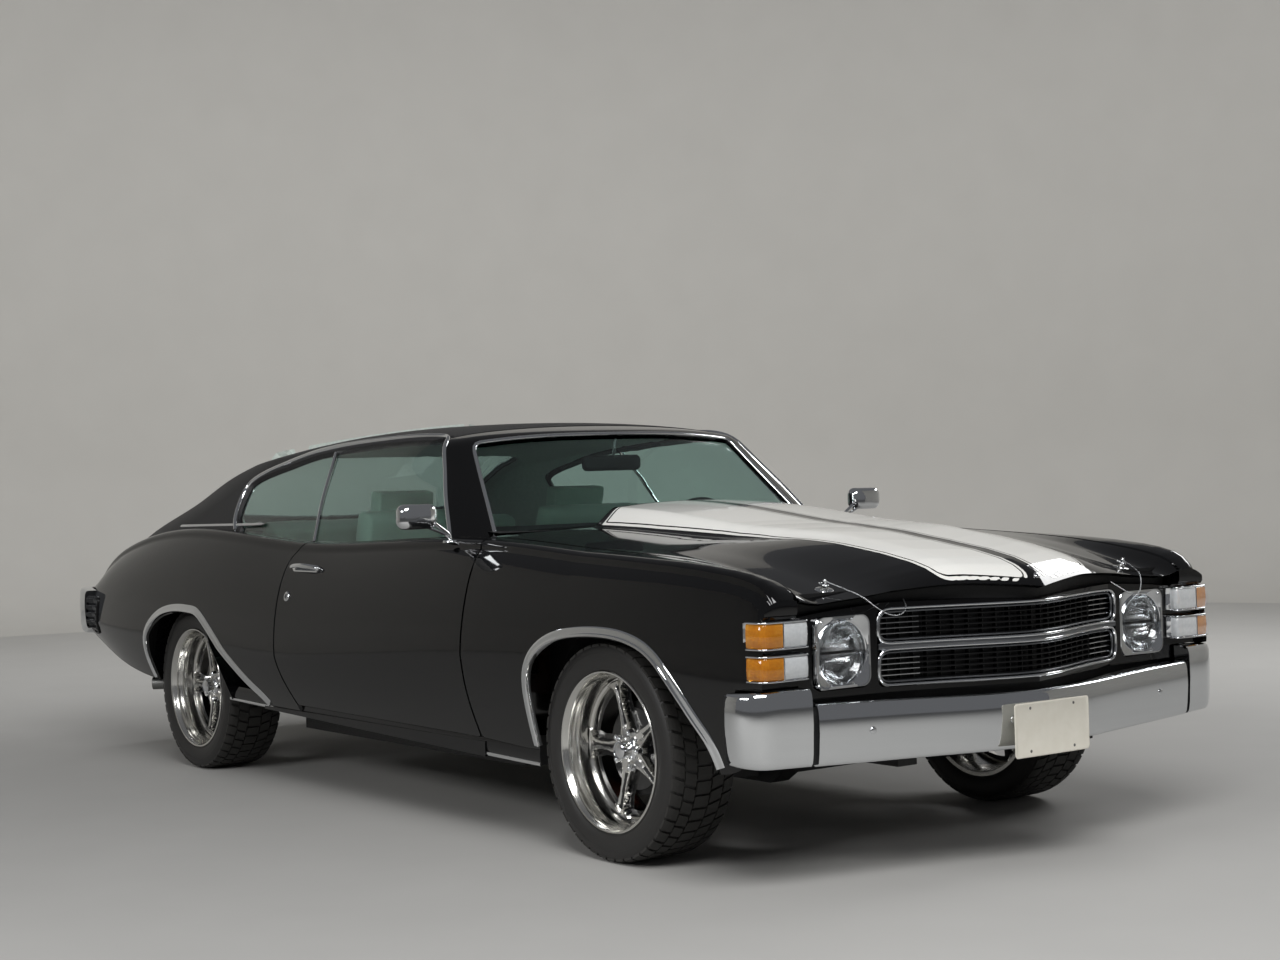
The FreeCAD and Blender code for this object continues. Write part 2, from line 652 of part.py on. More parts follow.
# Each row: x share and how far the rail has risen there, as a share of its kick
RAIL_KICK_SHARES = ((0.4600, 0.45), (0.3780, 0.45), (0.3480, 0.0), (-0.1412, 0.0), (-0.1990, 1.0),
                    (-0.3150, 1.0), (-0.3450, 0.616), (-0.4700, 0.616))
RAIL_KICK = 167.7
REAR_RAIL_HEIGHT = 70.0
FRONT_MEMBER_HALF_LENGTH = 70.0
FRONT_MEMBER_HEIGHT = 62.0
MEMBER_LENGTH = 60.0
MEMBER_HEIGHT = 36.0
MIDDLE_MEMBER_SHARE = 0.100
REAR_MEMBER_SHARE = -0.4600

ENGINE_LENGTH = 630.0
ENGINE_WIDTH = 510.0
ENGINE_HEIGHT = 538.0
ENGINE_REAR_SHARE = 0.229
GEARBOX_LENGTH = 600.0
GEARBOX_WIDTH = 200.0
GEARBOX_HEIGHT = 140.0

RADIATOR_SHARE = 0.4345
RADIATOR_DEPTH = 50.0
RADIATOR_HALF_SHARE = 0.660
RADIATOR_TOP_SHARE = 0.556

LINER_RADIUS = 396.0
LINER_INNER = 464.0
LINER_TOP_SHARE = 0.640
LINER_FOOT_SHARE = 0.345
APRON_Y = 797.0

KINGPIN_IN = 90.0
KINGPIN_RADIUS = 20.0
KINGPIN_LOW = -84.0
KINGPIN_HIGH = 105.0
ARM_THICKNESS = 24.0
ARM_HALF_LENGTH = 120.0
ARM_END_RADIUS = 26.0
BALL_GAP = 0.4
TOWER_HALF_LENGTH = 80.0
SPINDLE_CLEARANCE = 0.05
STEER_ARM_LENGTH = 140.0
STEER_ARM_WIDTH = 26.0

AXLE_TUBE_RADIUS = 38.0
DIFF_RADIUS = 122.0
DIFF_HALF_WIDTH = 95.0
SHAFT_RADIUS = 36.0
SPRING_RADIUS = 46.0

MUFFLER_SHARE = -0.0200
MUFFLER_Y_SHARE = 0.345
MUFFLER_LENGTH = 560.0
MUFFLER_HALF = 100.0
MUFFLER_HEIGHT = 100.0
MUFFLER_ROUND = 44.0
EXHAUST_SHARES = (-0.1750, -0.2150, -0.3000, -0.3350, -0.3650, -0.3880)
EXHAUST_OUT_SHARES = (0.640, 0.800)
PIPE_RADIUS = 27.0
TANK_HALF_WIDTH = 440.0
TANK_HEIGHT = 150.0
TANK_FRONT_SHARE = -0.3480
TANK_REAR_SHARE = -0.4470

GRILLE_HALF_SHARE = 0.512
GRILLE_LOW_SHARE = 0.397
GRILLE_HIGH_SHARE = 0.558
GRILLE_MID_SHARE = 0.4795
GRILLE_FRAME = 9.0
GRILLE_DEPTH = 34.0
GRILLE_RECESS = 22.0
BAR_COUNT = 6
BAR_THICKNESS = 4.0
BAR_DEPTH = 12.0
NOSE_PANEL = 14.0
NOSE_INSET = 26.0
NOSE_LOW_SHARE = 0.386
NOSE_SIDE_LOW_SHARE = 0.4165

LAMP_Y = 616.0
LAMP_Z_SHARE = 0.475
LAMP_RADIUS = 88.0
LAMP_DOME = 16.0
BEZEL_HALF = 100.0
BEZEL_CORNER = 30.0
BEZEL_DEPTH = 46.0
BEZEL_PROUD = 6.0
TURN_INNER_SHARE = 0.792
TURN_LAMP_SHARES = ((0.433, 0.481), (0.497, 0.547))
TURN_DEPTH = 62.0
TURN_PROUD = 5.0

BUMPER_DEPTH = 62.0
BUMPER_EDGE = 16.0
BUMPER_BOW = 4.0
# Each row: x share, y share, inward normal x and y, bottom and top height shares
FRONT_BUMPER_SHARES = (
    (0.4975, 0.000, 1.0, 0.0, 0.252, 0.372),
    (0.4940, 0.180, 1.0, 0.02, 0.252, 0.372),
    (0.4868, 0.400, 1.0, 0.04, 0.254, 0.376),
    (0.4796, 0.620, 1.0, 0.05, 0.256, 0.380),
    (0.4741, 0.790, 1.0, 0.06, 0.258, 0.382),
)
FRONT_WING_SHARES = (
    (0.4733, 0.808, 1.0, 0.06, 0.259, 0.414),
    (0.4690, 0.900, 1.0, 0.25, 0.259, 0.414),
    (0.4640, 0.970, 0.7, 0.7, 0.260, 0.413),
    (0.4560, 0.996, 0.2, 1.0, 0.262, 0.412),
    (0.4440, 1.000, 0.0, 1.0, 0.264, 0.410),
)
WING_TIE_SHARES = ((0.4660, 0.760), (0.4660, 0.850))
REAR_BUMPER_SHARES = (
    (0.5000, 0.000, 1.0, 0.0, 0.364, 0.520),
    (0.4985, 0.300, 1.0, 0.0, 0.364, 0.520),
    (0.4935, 0.600, 1.0, 0.0, 0.364, 0.521),
    (0.4880, 0.800, 1.0, 0.1, 0.366, 0.523),
    (0.4800, 0.925, 0.8, 0.6, 0.370, 0.523),
    (0.4690, 0.968, 0.2, 1.0, 0.378, 0.523),
    (0.4500, 0.984, 0.0, 1.0, 0.392, 0.515),
)
BRACKET_Y = 365.0
BRACKET_WIDTH = 50.0
REAR_BRACKET_Y = 515.0
TAIL_LAMP_Y = (505.0, 690.0)
TAIL_LAMP_Z_SHARE = 0.445
TAIL_LOW_SHARE = 0.375
TAIL_LAMP_RADIUS = 62.0
TAIL_LAMP_DEPTH = 30.0
PLATE_WIDTH = 305.0
PLATE_HEIGHT = 152.0
PLATE_THICKNESS = 2.0
PLATE_TOP_SHARE = 0.349
PLATE_HOLE_SPAN = 177.8
PLATE_HOLE_RISE = 120.65
PLATE_HOLE_RADIUS = 3.5
PLATE_BACK_HALF = 70.0
PLATE_BACK_HEIGHT = 76.0

DASH_SHARES = ((0.17594, 0.560), (0.17594, 0.690), (0.1500, 0.712), (0.1080, 0.722), (0.0940, 0.706),
               (0.0925, 0.655), (0.1080, 0.575), (0.1250, 0.555))
DASH_HALF = 740.0
DASH_GAP = 6.0
STEERING_Y = 385.0
STEERING_SHARE = 0.0744
STEERING_Z_SHARE = 0.640
STEERING_RADIUS = 190.0
STEERING_RIM = 13.0
STEERING_TILT = 24.0
COLUMN_RADIUS = 28.0
HUB_PAD_RADIUS = 52.0
HUB_PAD_DEPTH = 34.0
COLUMN_LENGTH = 190.0

SEAT_Y = 400.0
SEAT_WIDTH = 490.0
FRONT_SEAT_FOOT_SHARES = (0.0330, -0.0740)
FRONT_SEAT_SHARES = ((0.0380, 0.385), (0.0300, 0.412), (-0.0450, 0.395), (-0.0640, 0.700),
                     (-0.0720, 0.745), (-0.0850, 0.745), (-0.0920, 0.690), (-0.0800, 0.330))
HEADREST_WIDTH = 240.0
HEADREST_SHARES = ((-0.0730, 0.745), (-0.0745, 0.800), (-0.0800, 0.8075), (-0.0880, 0.800), (-0.0880, 0.745))
REAR_SEAT_FOOT_SHARES = (-0.1450, -0.2620)
REAR_SEAT_SHARES = ((-0.1450, 0.470), (-0.1560, 0.482), (-0.2220, 0.462), (-0.2480, 0.690),
                    (-0.2560, 0.712), (-0.2720, 0.712), (-0.2720, 0.600))
REAR_SEAT_HALF = 600.0
SHELF_SHARE = -0.2800

DOOR_MIRROR_SHARE = 0.1400
DOOR_MIRROR_DEPTH = 46.0
DOOR_MIRROR_WIDTH = 140.0
DOOR_MIRROR_HEIGHT = 82.0
DOOR_MIRROR_Y = 980.0
DOOR_MIRROR_Z_SHARE = 0.760
STALK_RADIUS = 9.0
STALK_Y = 838.0
ROOM_MIRROR_SHARE = 0.0850
ROOM_MIRROR_Z_SHARE = 0.879
ROOM_MIRROR_WIDTH = 260.0
ROOM_MIRROR_HEIGHT = 56.0
ROOM_MIRROR_DEPTH = 22.0
ROOM_STEM_RADIUS = 6.0

PIN_SHARE = 0.4484
PIN_Y_SHARE = 0.640
PIN_RADIUS = 6.0
PIN_HEIGHT = 30.0
PIN_PLATE_RADIUS = 26.0
PIN_PLATE = 3.0
LANYARD_RADIUS = 1.5


def both(shape):
    return group([shape, mirrored(shape)])


def make_door():
    front = side_points(DOOR_FRONT_SHARES)
    rear = side_points(DOOR_REAR_SHARES)
    whole = HULL.common(side_prism(front + rear, DOOR_INNER_Y, WIDTH))
    lip = whole.cut(hull(DOOR_LIP))
    shell_front = DOOR_HINGE_X - HINGE_ARM - HINGE_POCKET
    shell_rear = shifted(rear, DOOR_SHELL_CLEARANCE, DOOR_SHELL_STEP)
    shell_low = rear[0][1] + DOOR_SHELL_STEP
    shell_side = [(shell_front, HEIGHT), (shell_front, shell_low)] + shell_rear[:-1] + [(shell_rear[-1][0], HEIGHT)]
    shell = HULL.common(side_prism(shell_side, DOOR_INNER_Y, WIDTH)).common(whole)
    door = lip.fuse(shell)
    for share in (HINGE_LOW_SHARE, HINGE_HIGH_SHARE):
        low = up(share) - HINGE_RELIEF
        door = door.cut(rod(Vec(DOOR_HINGE_X, DOOR_HINGE_Y, low),
                            Vec(DOOR_HINGE_X, DOOR_HINGE_Y, up(share) + HINGE_LENGTH), HINGE_RADIUS + HINGE_RELIEF))
    for knuckle in door_knuckles():
        door = door.fuse(knuckle.common(HULL))
    slot = glass_sheet(GLASS_INSET - GLASS_SLOT, GLASS_THICKNESS + 2 * GLASS_SLOT)
    slot = slot.common(door_glass_cutter(-GLASS_SLOT, -SEAT_GAP))
    return door.cut(slot)


def door_hinges():
    """Two fixed arms from the pillar face out to the vertical hinge line."""
    arms = []
    for share in (HINGE_LOW_SHARE, HINGE_HIGH_SHARE):
        z = up(share)
        barrel = rod(Vec(DOOR_HINGE_X, DOOR_HINGE_Y, z), Vec(DOOR_HINGE_X, DOOR_HINGE_Y, z + HINGE_LENGTH), HINGE_RADIUS)
        arm = block(DOOR_HINGE_X - HINGE_ARM / 2, DOOR_HINGE_X + HINGE_ARM / 2, PILLAR_OUTER, DOOR_HINGE_Y, z,
                    z + HINGE_LENGTH)
        foot = block(DOOR_HINGE_X - HINGE_ARM / 2, along(FIREWALL_SHARE), PILLAR_OUTER - HINGE_ARM, PILLAR_OUTER, z,
                     z + HINGE_LENGTH)
        arms += [barrel, arm, foot]
    return arms


def door_knuckles():
    """The door's half of each hinge: a barrel above the fixed one, on a web from the outer skin."""
    halves = []
    for share in (HINGE_LOW_SHARE, HINGE_HIGH_SHARE):
        low = up(share) + HINGE_LENGTH + SEAT_GAP
        high = low + HINGE_KNUCKLE
        barrel = rod(Vec(DOOR_HINGE_X, DOOR_HINGE_Y, low), Vec(DOOR_HINGE_X, DOOR_HINGE_Y, high), HINGE_RADIUS)
        web = block(DOOR_HINGE_X - HINGE_RADIUS, DOOR_HINGE_X + HINGE_RADIUS, DOOR_HINGE_Y, HALF_WIDTH - DOOR_LIP / 2,
                    low, high)
        halves.append(barrel.fuse(web.common(HULL)))
    return halves


def window_outline(gap):
    front = shifted(side_points(WINDOW_FRONT_SHARES), -gap)
    top = shifted(side_points(WINDOW_TOP_SHARES), 0.0, -gap)
    rear = side_points(WINDOW_REAR_SHARES)
    rear = shifted(rear[:WINDOW_TURN], gap, -gap) + shifted(rear[WINDOW_TURN:], gap, gap)
    return front + top + rear


def glass_sheet(inset, thickness):
    return glasshouse(inset).cut(glasshouse(inset + thickness))


def divider_x(z, offset):
    """Place of the divider strip's middle line at a height, moved along by an offset."""
    foot = along(DIVIDER_FOOT_SHARE)
    top = along(DIVIDER_TOP_SHARE)
    rail = up(WINDOW_TOP_SHARES[-1][1])
    return foot + (top - foot) * (z - BELT_Z) / (rail - BELT_Z) + offset


def door_glass_cutter(gap, foot_gap):
    """The door glass outline as a prism. A negative gap makes it larger, for its slot."""
    low = BELT_Z - GLASS_DEPTH + foot_gap
    ahead = [(divider_x(low, DIVIDER_HALF + gap), low), (divider_x(HEIGHT, DIVIDER_HALF + gap), HEIGHT),
             (LENGTH, HEIGHT), (LENGTH, low)]
    window = side_prism(window_outline(GLASS_GAP + gap), QUARTER_TRIM_Y / 2, WIDTH)
    return window.common(side_prism(ahead, 0.0, WIDTH))


def quarter_glass_cutter():
    low = BELT_Z - GLASS_SLOT
    behind = [(divider_x(low, -DIVIDER_HALF), low), (-LENGTH, low), (-LENGTH, HEIGHT),
              (divider_x(HEIGHT, -DIVIDER_HALF), HEIGHT)]
    window = side_prism(window_outline(3 * SEAT_GAP), QUARTER_TRIM_Y / 2, WIDTH)
    return window.common(side_prism(behind, 0.0, WIDTH))


def roof_shell():
    shell = GLASSHOUSE.cut(glasshouse(ROOF_THICKNESS)).cut(HULL)
    opening = side_prism(window_outline(0.0), QUARTER_TRIM_Y / 4, WIDTH)
    shell = shell.cut(opening).cut(mirrored(opening))
    shell = shell.cut(front_prism(front_points(WINDSHIELD_SHARES), along(WINDSHIELD_CUT_SHARE), LENGTH))
    return shell.cut(plan_prism(plan_points(REAR_WINDOW_SHARES), 0.0, 2 * HEIGHT))


ROOF_SHELL = roof_shell()


def make_roof():
    """The roof with its rear pillars, which end outboard of the trunk lid so that its corners can swing up."""
    roof = ROOF_SHELL.common(block(-LENGTH, along(HEADER_SHARE), -WIDTH, WIDTH, 0.0, 2 * HEIGHT))
    half = across(TRUNK_HALF_SHARE) + PANEL_GAP + ARM_BAR_HALF
    return roof.cut(block(-LENGTH, along(TRUNK_HINGE_SHARE) + 2 * ARM_EYE_HALF, -half, half, 0.0, 2 * HEIGHT))


def make_windshield_frame():
    frame = ROOF_SHELL.common(block(along(HEADER_SHARE), LENGTH, -WIDTH, WIDTH, 0.0, 2 * HEIGHT))
    foot = GLASSHOUSE.cut(glasshouse(ROOF_THICKNESS)).common(HULL).cut(hull(2 * SKIN))
    half = JAMB_INNER
    foot = foot.common(block(along(COWL_REAR_SHARE), LENGTH, -half, half, 0.0, 2 * HEIGHT))
    return frame.fuse(foot).fuse(make_cowl())


def make_windshield():
    cutter = front_prism(front_points(WINDSHIELD_SHARES), along(WINDSHIELD_CUT_SHARE), LENGTH)
    return glass_sheet(GLASS_INSET, GLASS_THICKNESS).common(cutter).cut(HULL)


def make_rear_window():
    cutter = plan_prism(plan_points(REAR_WINDOW_SHARES), 0.0, 2 * HEIGHT)
    return glass_sheet(GLASS_INSET, GLASS_THICKNESS).common(cutter).cut(HULL)


def make_rear_deck():
    half = across(TRUNK_HALF_SHARE)
    front = along(SHELF_SHARE)
    deck = skin_panel(block(along(TRUNK_FRONT_SHARE) + PANEL_GAP, front, -half, half, 0.0, HEIGHT))
    plate = trunk_hinge_plate()
    deck = deck.fuse(plate).fuse(mirrored(plate))
    tail = tail_prism(-2 * SKIN, 0.0).cut(tail_prism(-4 * SKIN, 0.0))
    tail = tail.common(hull(TRUNK_PANEL + PANEL_GAP)).common(
        block(-LENGTH, 0.0, -HALF_WIDTH, HALF_WIDTH, up(TAIL_LOW_SHARE), HEIGHT))
    for side in (1, -1):
        middle = side * REAR_BRACKET_Y
        tail = tail.cut(block(-LENGTH, 0.0, middle - BRACKET_WIDTH / 2 - SKIN, middle + BRACKET_WIDTH / 2 + SKIN, 0.0,
                              up(TAIL_LAMP_Z_SHARE)))
    return deck, tail


def make_quarter_full():
    panel = make_quarter()
    panel = panel.cut(glasshouse(GLASS_INSET - GLASS_SLOT))
    rear = side_points(DOOR_REAR_SHARES)
    jamb = side_prism(shifted(rear, -PANEL_GAP) + shifted(rear, -PANEL_GAP - 2 * SKIN)[::-1], JAMB_INNER, WIDTH)
    jamb = jamb.common(HULL_SKIN)
    trim_front = rear[2][0] - PANEL_GAP - SKIN
    trim = block(along(QUARTER_TRIM_SHARE), trim_front, QUARTER_TRIM_Y, QUARTER_TRIM_Y + SKIN,
                 up(ROCKER_SHARES[2][1]) + SEAT_GAP, HEIGHT)
    trim = trim.common(HULL_SKIN)
    return panel.fuse(jamb).fuse(trim)


def rocker_prism(inner, outer):
    return side_prism(side_points(ROCKER_SHARES), inner, outer)


def make_underbody():
    half = across(FLOOR_HALF_SHARE)
    front = along(FIREWALL_SHARE)
    kick = along(KICK_SHARE)
    step = along(TRUNK_STEP_SHARE)
    end = along(TRUNK_END_SHARE)
    top = up(PILLAR_TOP_SHARE)
    floor = block(kick, front, -half, half, FLOOR_Z, FLOOR_Z + FLOOR_SHEET)
    firewall = block(front - FLOOR_SHEET, front, -half, half, FLOOR_Z, top)
    riser = block(kick - FLOOR_SHEET, kick, -half, half, FLOOR_Z, REAR_FLOOR_Z + FLOOR_SHEET)
    inner = WHEELHOUSE_INNER + SKIN
    rear = block(step, kick, -inner, inner, REAR_FLOOR_Z, REAR_FLOOR_Z + FLOOR_SHEET)
    drop = block(step - FLOOR_SHEET, step, -inner, inner, TRUNK_FLOOR_Z, REAR_FLOOR_Z + FLOOR_SHEET)
    trunk = block(end, step, -inner, inner, TRUNK_FLOOR_Z, TRUNK_FLOOR_Z + FLOOR_SHEET)
    tunnel_start = Vec(kick - 2 * FLOOR_SHEET, 0, FLOOR_Z)
    tunnel_end = Vec(front, 0, FLOOR_Z)
    tube = rod(tunnel_start, tunnel_end, TUNNEL_RADIUS)
    bore = rod(tunnel_start, Vec(front + FLOOR_SHEET, 0, FLOOR_Z), TUNNEL_RADIUS - FLOOR_SHEET)
    above = block(-LENGTH, LENGTH, -half, half, FLOOR_Z, HEIGHT)
    body = joined([floor, firewall, riser, rear, drop, trunk, tube.common(above)]).cut(bore)
    sides = []
    shell = cross_rod(REAR_AXLE_X, AXLE_Z, WHEELHOUSE_INNER, WIDTH, WHEELHOUSE_RADIUS + SKIN)
    hollow = cross_rod(REAR_AXLE_X, AXLE_Z, WHEELHOUSE_INNER + SKIN, WIDTH, WHEELHOUSE_RADIUS)
    keep = block(-LENGTH, 0.0, 0.0, WIDTH, FLOOR_Z, HEIGHT)
    slot = block(REAR_AXLE_X - AXLE_SLOT, REAR_AXLE_X + AXLE_SLOT, WHEELHOUSE_INNER - SKIN, WHEELHOUSE_INNER + 2 * SKIN,
                 0.0, AXLE_Z + AXLE_SLOT)
    sides.append(shell.cut(hollow).cut(slot).common(keep).common(HULL_SKIN))
    sides.append(rocker_prism(ROCKER_INNER, across(ROCKER_OUTER_SHARE)))
    pillar = block(front - PILLAR_DEPTH, front, PILLAR_INNER, PILLAR_OUTER, FLOOR_Z, top).common(HULL_SKIN)
    sides.append(pillar)
    sides.append(hood_hinge_plate())
    sides += door_hinges()
    for side in sides:
        body = body.fuse(side).fuse(mirrored(side))
    return body


def make_frame():
    plan = plan_prism(plan_points(RAIL_SHARES), 0.0, HEIGHT)
    top = []
    bottom = []
    for x, lift in RAIL_KICK_SHARES:
        top.append((along(x), RAIL_BOTTOM + RAIL_HEIGHT + lift * RAIL_KICK))
        height = RAIL_HEIGHT if lift == 0 else REAR_RAIL_HEIGHT
        bottom.append((along(x), RAIL_BOTTOM + RAIL_HEIGHT - height + lift * RAIL_KICK))
    rail = plan.common(side_prism(top + bottom[::-1], 0.0, WIDTH))
    inner = across(RAIL_SHARES[-1][1])
    members = [block(FRONT_AXLE_X - FRONT_MEMBER_HALF_LENGTH, FRONT_AXLE_X + FRONT_MEMBER_HALF_LENGTH, -inner, inner,
                     RAIL_BOTTOM, RAIL_BOTTOM + FRONT_MEMBER_HEIGHT)]
    middle = along(MIDDLE_MEMBER_SHARE)
    half = across(RAIL_SHARES[9][1])
    members.append(block(middle - MEMBER_LENGTH, middle, -half, half, RAIL_BOTTOM, RAIL_BOTTOM + MEMBER_HEIGHT))
    rear = along(REAR_MEMBER_SHARE)
    half = across(RAIL_SHARES[6][1])
    rear_top = RAIL_BOTTOM + RAIL_HEIGHT + RAIL_KICK_SHARES[-1][1] * RAIL_KICK
    members.append(block(rear, rear + MEMBER_LENGTH, -half, half, rear_top - REAR_RAIL_HEIGHT, rear_top))
    return joined([rail, mirrored(rail)] + members)


def make_engine():
    rear = along(ENGINE_REAR_SHARE)
    bottom = RAIL_BOTTOM + FRONT_MEMBER_HEIGHT
    half = ENGINE_WIDTH / 2
    body = block(rear, rear + ENGINE_LENGTH, -half, half, bottom, bottom + ENGINE_HEIGHT)
    half = GEARBOX_WIDTH / 2
    low = RAIL_BOTTOM + MEMBER_HEIGHT
    box = block(rear - GEARBOX_LENGTH, rear, -half, half, low, low + GEARBOX_HEIGHT)
    return body.fuse(box)


def front_rail_top():
    return RAIL_BOTTOM + RAIL_HEIGHT + RAIL_KICK_SHARES[0][1] * RAIL_KICK


def make_radiator():
    x = along(RADIATOR_SHARE)
    half = across(RADIATOR_HALF_SHARE)
    low = front_rail_top()
    return block(x, x + RADIATOR_DEPTH, -half, half, low, up(RADIATOR_TOP_SHARE))


def make_inner_fender():
    outer = cross_rod(FRONT_AXLE_X, AXLE_Z, LINER_INNER, APRON_Y + SKIN, LINER_RADIUS + SKIN)
    hollow = cross_rod(FRONT_AXLE_X, AXLE_Z, LINER_INNER + SKIN, WIDTH, LINER_RADIUS)
    arch = outer.cut(hollow)
    wall = block(FRONT_AXLE_X - LINER_RADIUS, FRONT_AXLE_X + LINER_RADIUS, LINER_INNER, LINER_INNER + SKIN,
                 up(LINER_FOOT_SHARE), up(LINER_TOP_SHARE) - HOOD_PANEL)
    apron = block(FRONT_AXLE_X - LINER_RADIUS, FRONT_AXLE_X + LINER_RADIUS, APRON_Y, APRON_Y + SKIN,
                  AXLE_Z, HEIGHT).cut(cross_rod(FRONT_AXLE_X, AXLE_Z, 0.0, WIDTH, LINER_RADIUS))
    keep = block(-LENGTH, LENGTH, 0.0, WIDTH, up(LINER_FOOT_SHARE), HEIGHT)
    return joined([arch, wall, apron]).common(keep).common(HULL_SKIN)


def make_suspension():
    rail_y = across(RAIL_SHARES[0][1])
    pin_y = HALF_TRACK - KINGPIN_IN
    low_top = AXLE_Z + KINGPIN_LOW - BALL_GAP
    high_bottom = AXLE_Z + KINGPIN_HIGH + BALL_GAP
    pieces = []
    for bottom in (low_top - ARM_THICKNESS, high_bottom):
        plan = [(FRONT_AXLE_X - ARM_HALF_LENGTH, rail_y), (FRONT_AXLE_X + ARM_HALF_LENGTH, rail_y),
                (FRONT_AXLE_X + ARM_END_RADIUS, pin_y), (FRONT_AXLE_X - ARM_END_RADIUS, pin_y)]
        arm = plan_prism(plan, bottom, bottom + ARM_THICKNESS)
        arm = arm.cut(rod(Vec(FRONT_AXLE_X, (2 * rail_y + pin_y) / 3, 0), Vec(FRONT_AXLE_X, (2 * rail_y + pin_y) / 3, HEIGHT),
                          ARM_HALF_LENGTH / 3))
        end = rod(Vec(FRONT_AXLE_X, pin_y, bottom), Vec(FRONT_AXLE_X, pin_y, bottom + ARM_THICKNESS), ARM_END_RADIUS)
        pieces += [arm, end]
    tower = block(FRONT_AXLE_X - TOWER_HALF_LENGTH, FRONT_AXLE_X + TOWER_HALF_LENGTH, across(RAIL_SHARES[-1][1]),
                  rail_y, RAIL_BOTTOM + RAIL_HEIGHT, high_bottom + ARM_THICKNESS)
    return joined(pieces[:2]), joined(pieces[2:] + [tower])


def make_knuckle():
    pin_y = HALF_TRACK - KINGPIN_IN
    post = rod(Vec(FRONT_AXLE_X, pin_y, AXLE_Z + KINGPIN_LOW), Vec(FRONT_AXLE_X, pin_y, AXLE_Z + KINGPIN_HIGH),
               KINGPIN_RADIUS)
    spindle = cross_rod(FRONT_AXLE_X, AXLE_Z, pin_y, HALF_TRACK, HUB_BORE_RADIUS - SPINDLE_CLEARANCE)
    arm = block(FRONT_AXLE_X - STEER_ARM_LENGTH, FRONT_AXLE_X, pin_y - KINGPIN_RADIUS, pin_y,
                AXLE_Z + KINGPIN_LOW / 2, AXLE_Z + KINGPIN_LOW / 2 + STEER_ARM_WIDTH)
    return joined([post, spindle, arm])


def make_rear_axle():
    hub_y = HALF_TRACK - KINGPIN_IN
    tube = cross_rod(REAR_AXLE_X, AXLE_Z, -hub_y, hub_y, AXLE_TUBE_RADIUS)
    stub = cross_rod(REAR_AXLE_X, AXLE_Z, -HALF_TRACK, HALF_TRACK, HUB_BORE_RADIUS - SPINDLE_CLEARANCE)
    diff = cross_rod(REAR_AXLE_X, AXLE_Z, -DIFF_HALF_WIDTH, DIFF_HALF_WIDTH, DIFF_RADIUS)
    gearbox_end = along(ENGINE_REAR_SHARE) - GEARBOX_LENGTH - SKIN
    shaft = rod(Vec(REAR_AXLE_X, 0, AXLE_Z), Vec(gearbox_end, 0, RAIL_BOTTOM + MEMBER_HEIGHT + GEARBOX_HEIGHT / 2),
                SHAFT_RADIUS)
    rail_bottom = RAIL_BOTTOM + RAIL_HEIGHT + RAIL_KICK - REAR_RAIL_HEIGHT
    rail_y = across((RAIL_SHARES[4][1] + RAIL_SHARES[6][1]) / 2)
    spring = rod(Vec(REAR_AXLE_X, rail_y, AXLE_Z), Vec(REAR_AXLE_X, rail_y, rail_bottom), SPRING_RADIUS)
    return joined([tube, stub, diff, shaft, spring, mirrored(spring)])


def make_exhaust():
    z = RAIL_BOTTOM + MEMBER_HEIGHT + PIPE_RADIUS + SEAT_GAP
    start_x = along(ENGINE_REAR_SHARE)
    side = ENGINE_WIDTH / 2 + PIPE_RADIUS + SEAT_GAP
    muffler_front = along(MUFFLER_SHARE)
    muffler_rear = muffler_front - MUFFLER_LENGTH
    muffler_y = across(MUFFLER_Y_SHARE)
    front = bent_tube([Vec(start_x + ENGINE_LENGTH / 3, side, z + RAIL_HEIGHT), Vec(start_x, side, z),
                       Vec(muffler_front + MUFFLER_LENGTH, side, z), Vec(muffler_front, muffler_y, z)], PIPE_RADIUS)
    muffler = block(muffler_rear, muffler_front, muffler_y - MUFFLER_HALF, muffler_y + MUFFLER_HALF,
                    FLOOR_Z - SKIN - MUFFLER_HEIGHT, FLOOR_Z - SKIN)
    edges = [edge for edge in muffler.Edges if abs(edge.BoundBox.XLength - MUFFLER_LENGTH) < SKIN]
    muffler = muffler.makeFillet(MUFFLER_ROUND, edges)
    over = AXLE_Z + AXLE_TUBE_RADIUS + PIPE_RADIUS + SPRING_RADIUS / 2
    rail_y = across(RAIL_SHARES[6][1])
    points = [Vec(muffler_rear, muffler_y, z)]
    for x_share, y, height in ((EXHAUST_SHARES[0], muffler_y + PIPE_RADIUS, z + PIPE_RADIUS / 2),
                               (EXHAUST_SHARES[1], rail_y - 2 * PIPE_RADIUS, over),
                               (EXHAUST_SHARES[2], rail_y - 2 * PIPE_RADIUS, over),
                               (EXHAUST_SHARES[3], rail_y - PIPE_RADIUS, z + PIPE_RADIUS),
                               (EXHAUST_SHARES[4], across(EXHAUST_OUT_SHARES[0]), z + PIPE_RADIUS),
                               (EXHAUST_SHARES[5], across(EXHAUST_OUT_SHARES[1]), z + PIPE_RADIUS)):
        points.append(Vec(along(x_share), y, height))
    rear = bent_tube(points, PIPE_RADIUS)
    return joined([front, muffler, rear])


def make_fuel_tank():
    return block(along(TANK_REAR_SHARE), along(TANK_FRONT_SHARE), -TANK_HALF_WIDTH, TANK_HALF_WIDTH,
                 TRUNK_FLOOR_Z - TANK_HEIGHT, TRUNK_FLOOR_Z)


def rounded_window(y, z, half_y, half_z, radius):
    """An upright rounded rectangle on a front view, extruded along the car."""
    box = block(0.0, LENGTH, y - half_y, y + half_y, z - half_z, z + half_z)
    edges = [edge for edge in box.Edges if abs(edge.BoundBox.XLength - LENGTH) < SKIN]
    return box.makeFillet(radius, edges)


def nose_layer(front, back):
    """A wall that follows the nose's plan outline between two depths behind it."""
    return nose_prism(-front, 0.0).cut(nose_prism(-back, -OVERRUN))


def grille_window(low, high, half, radius):
    return rounded_window(0.0, (low + high) / 2, half, (high - low) / 2, radius)


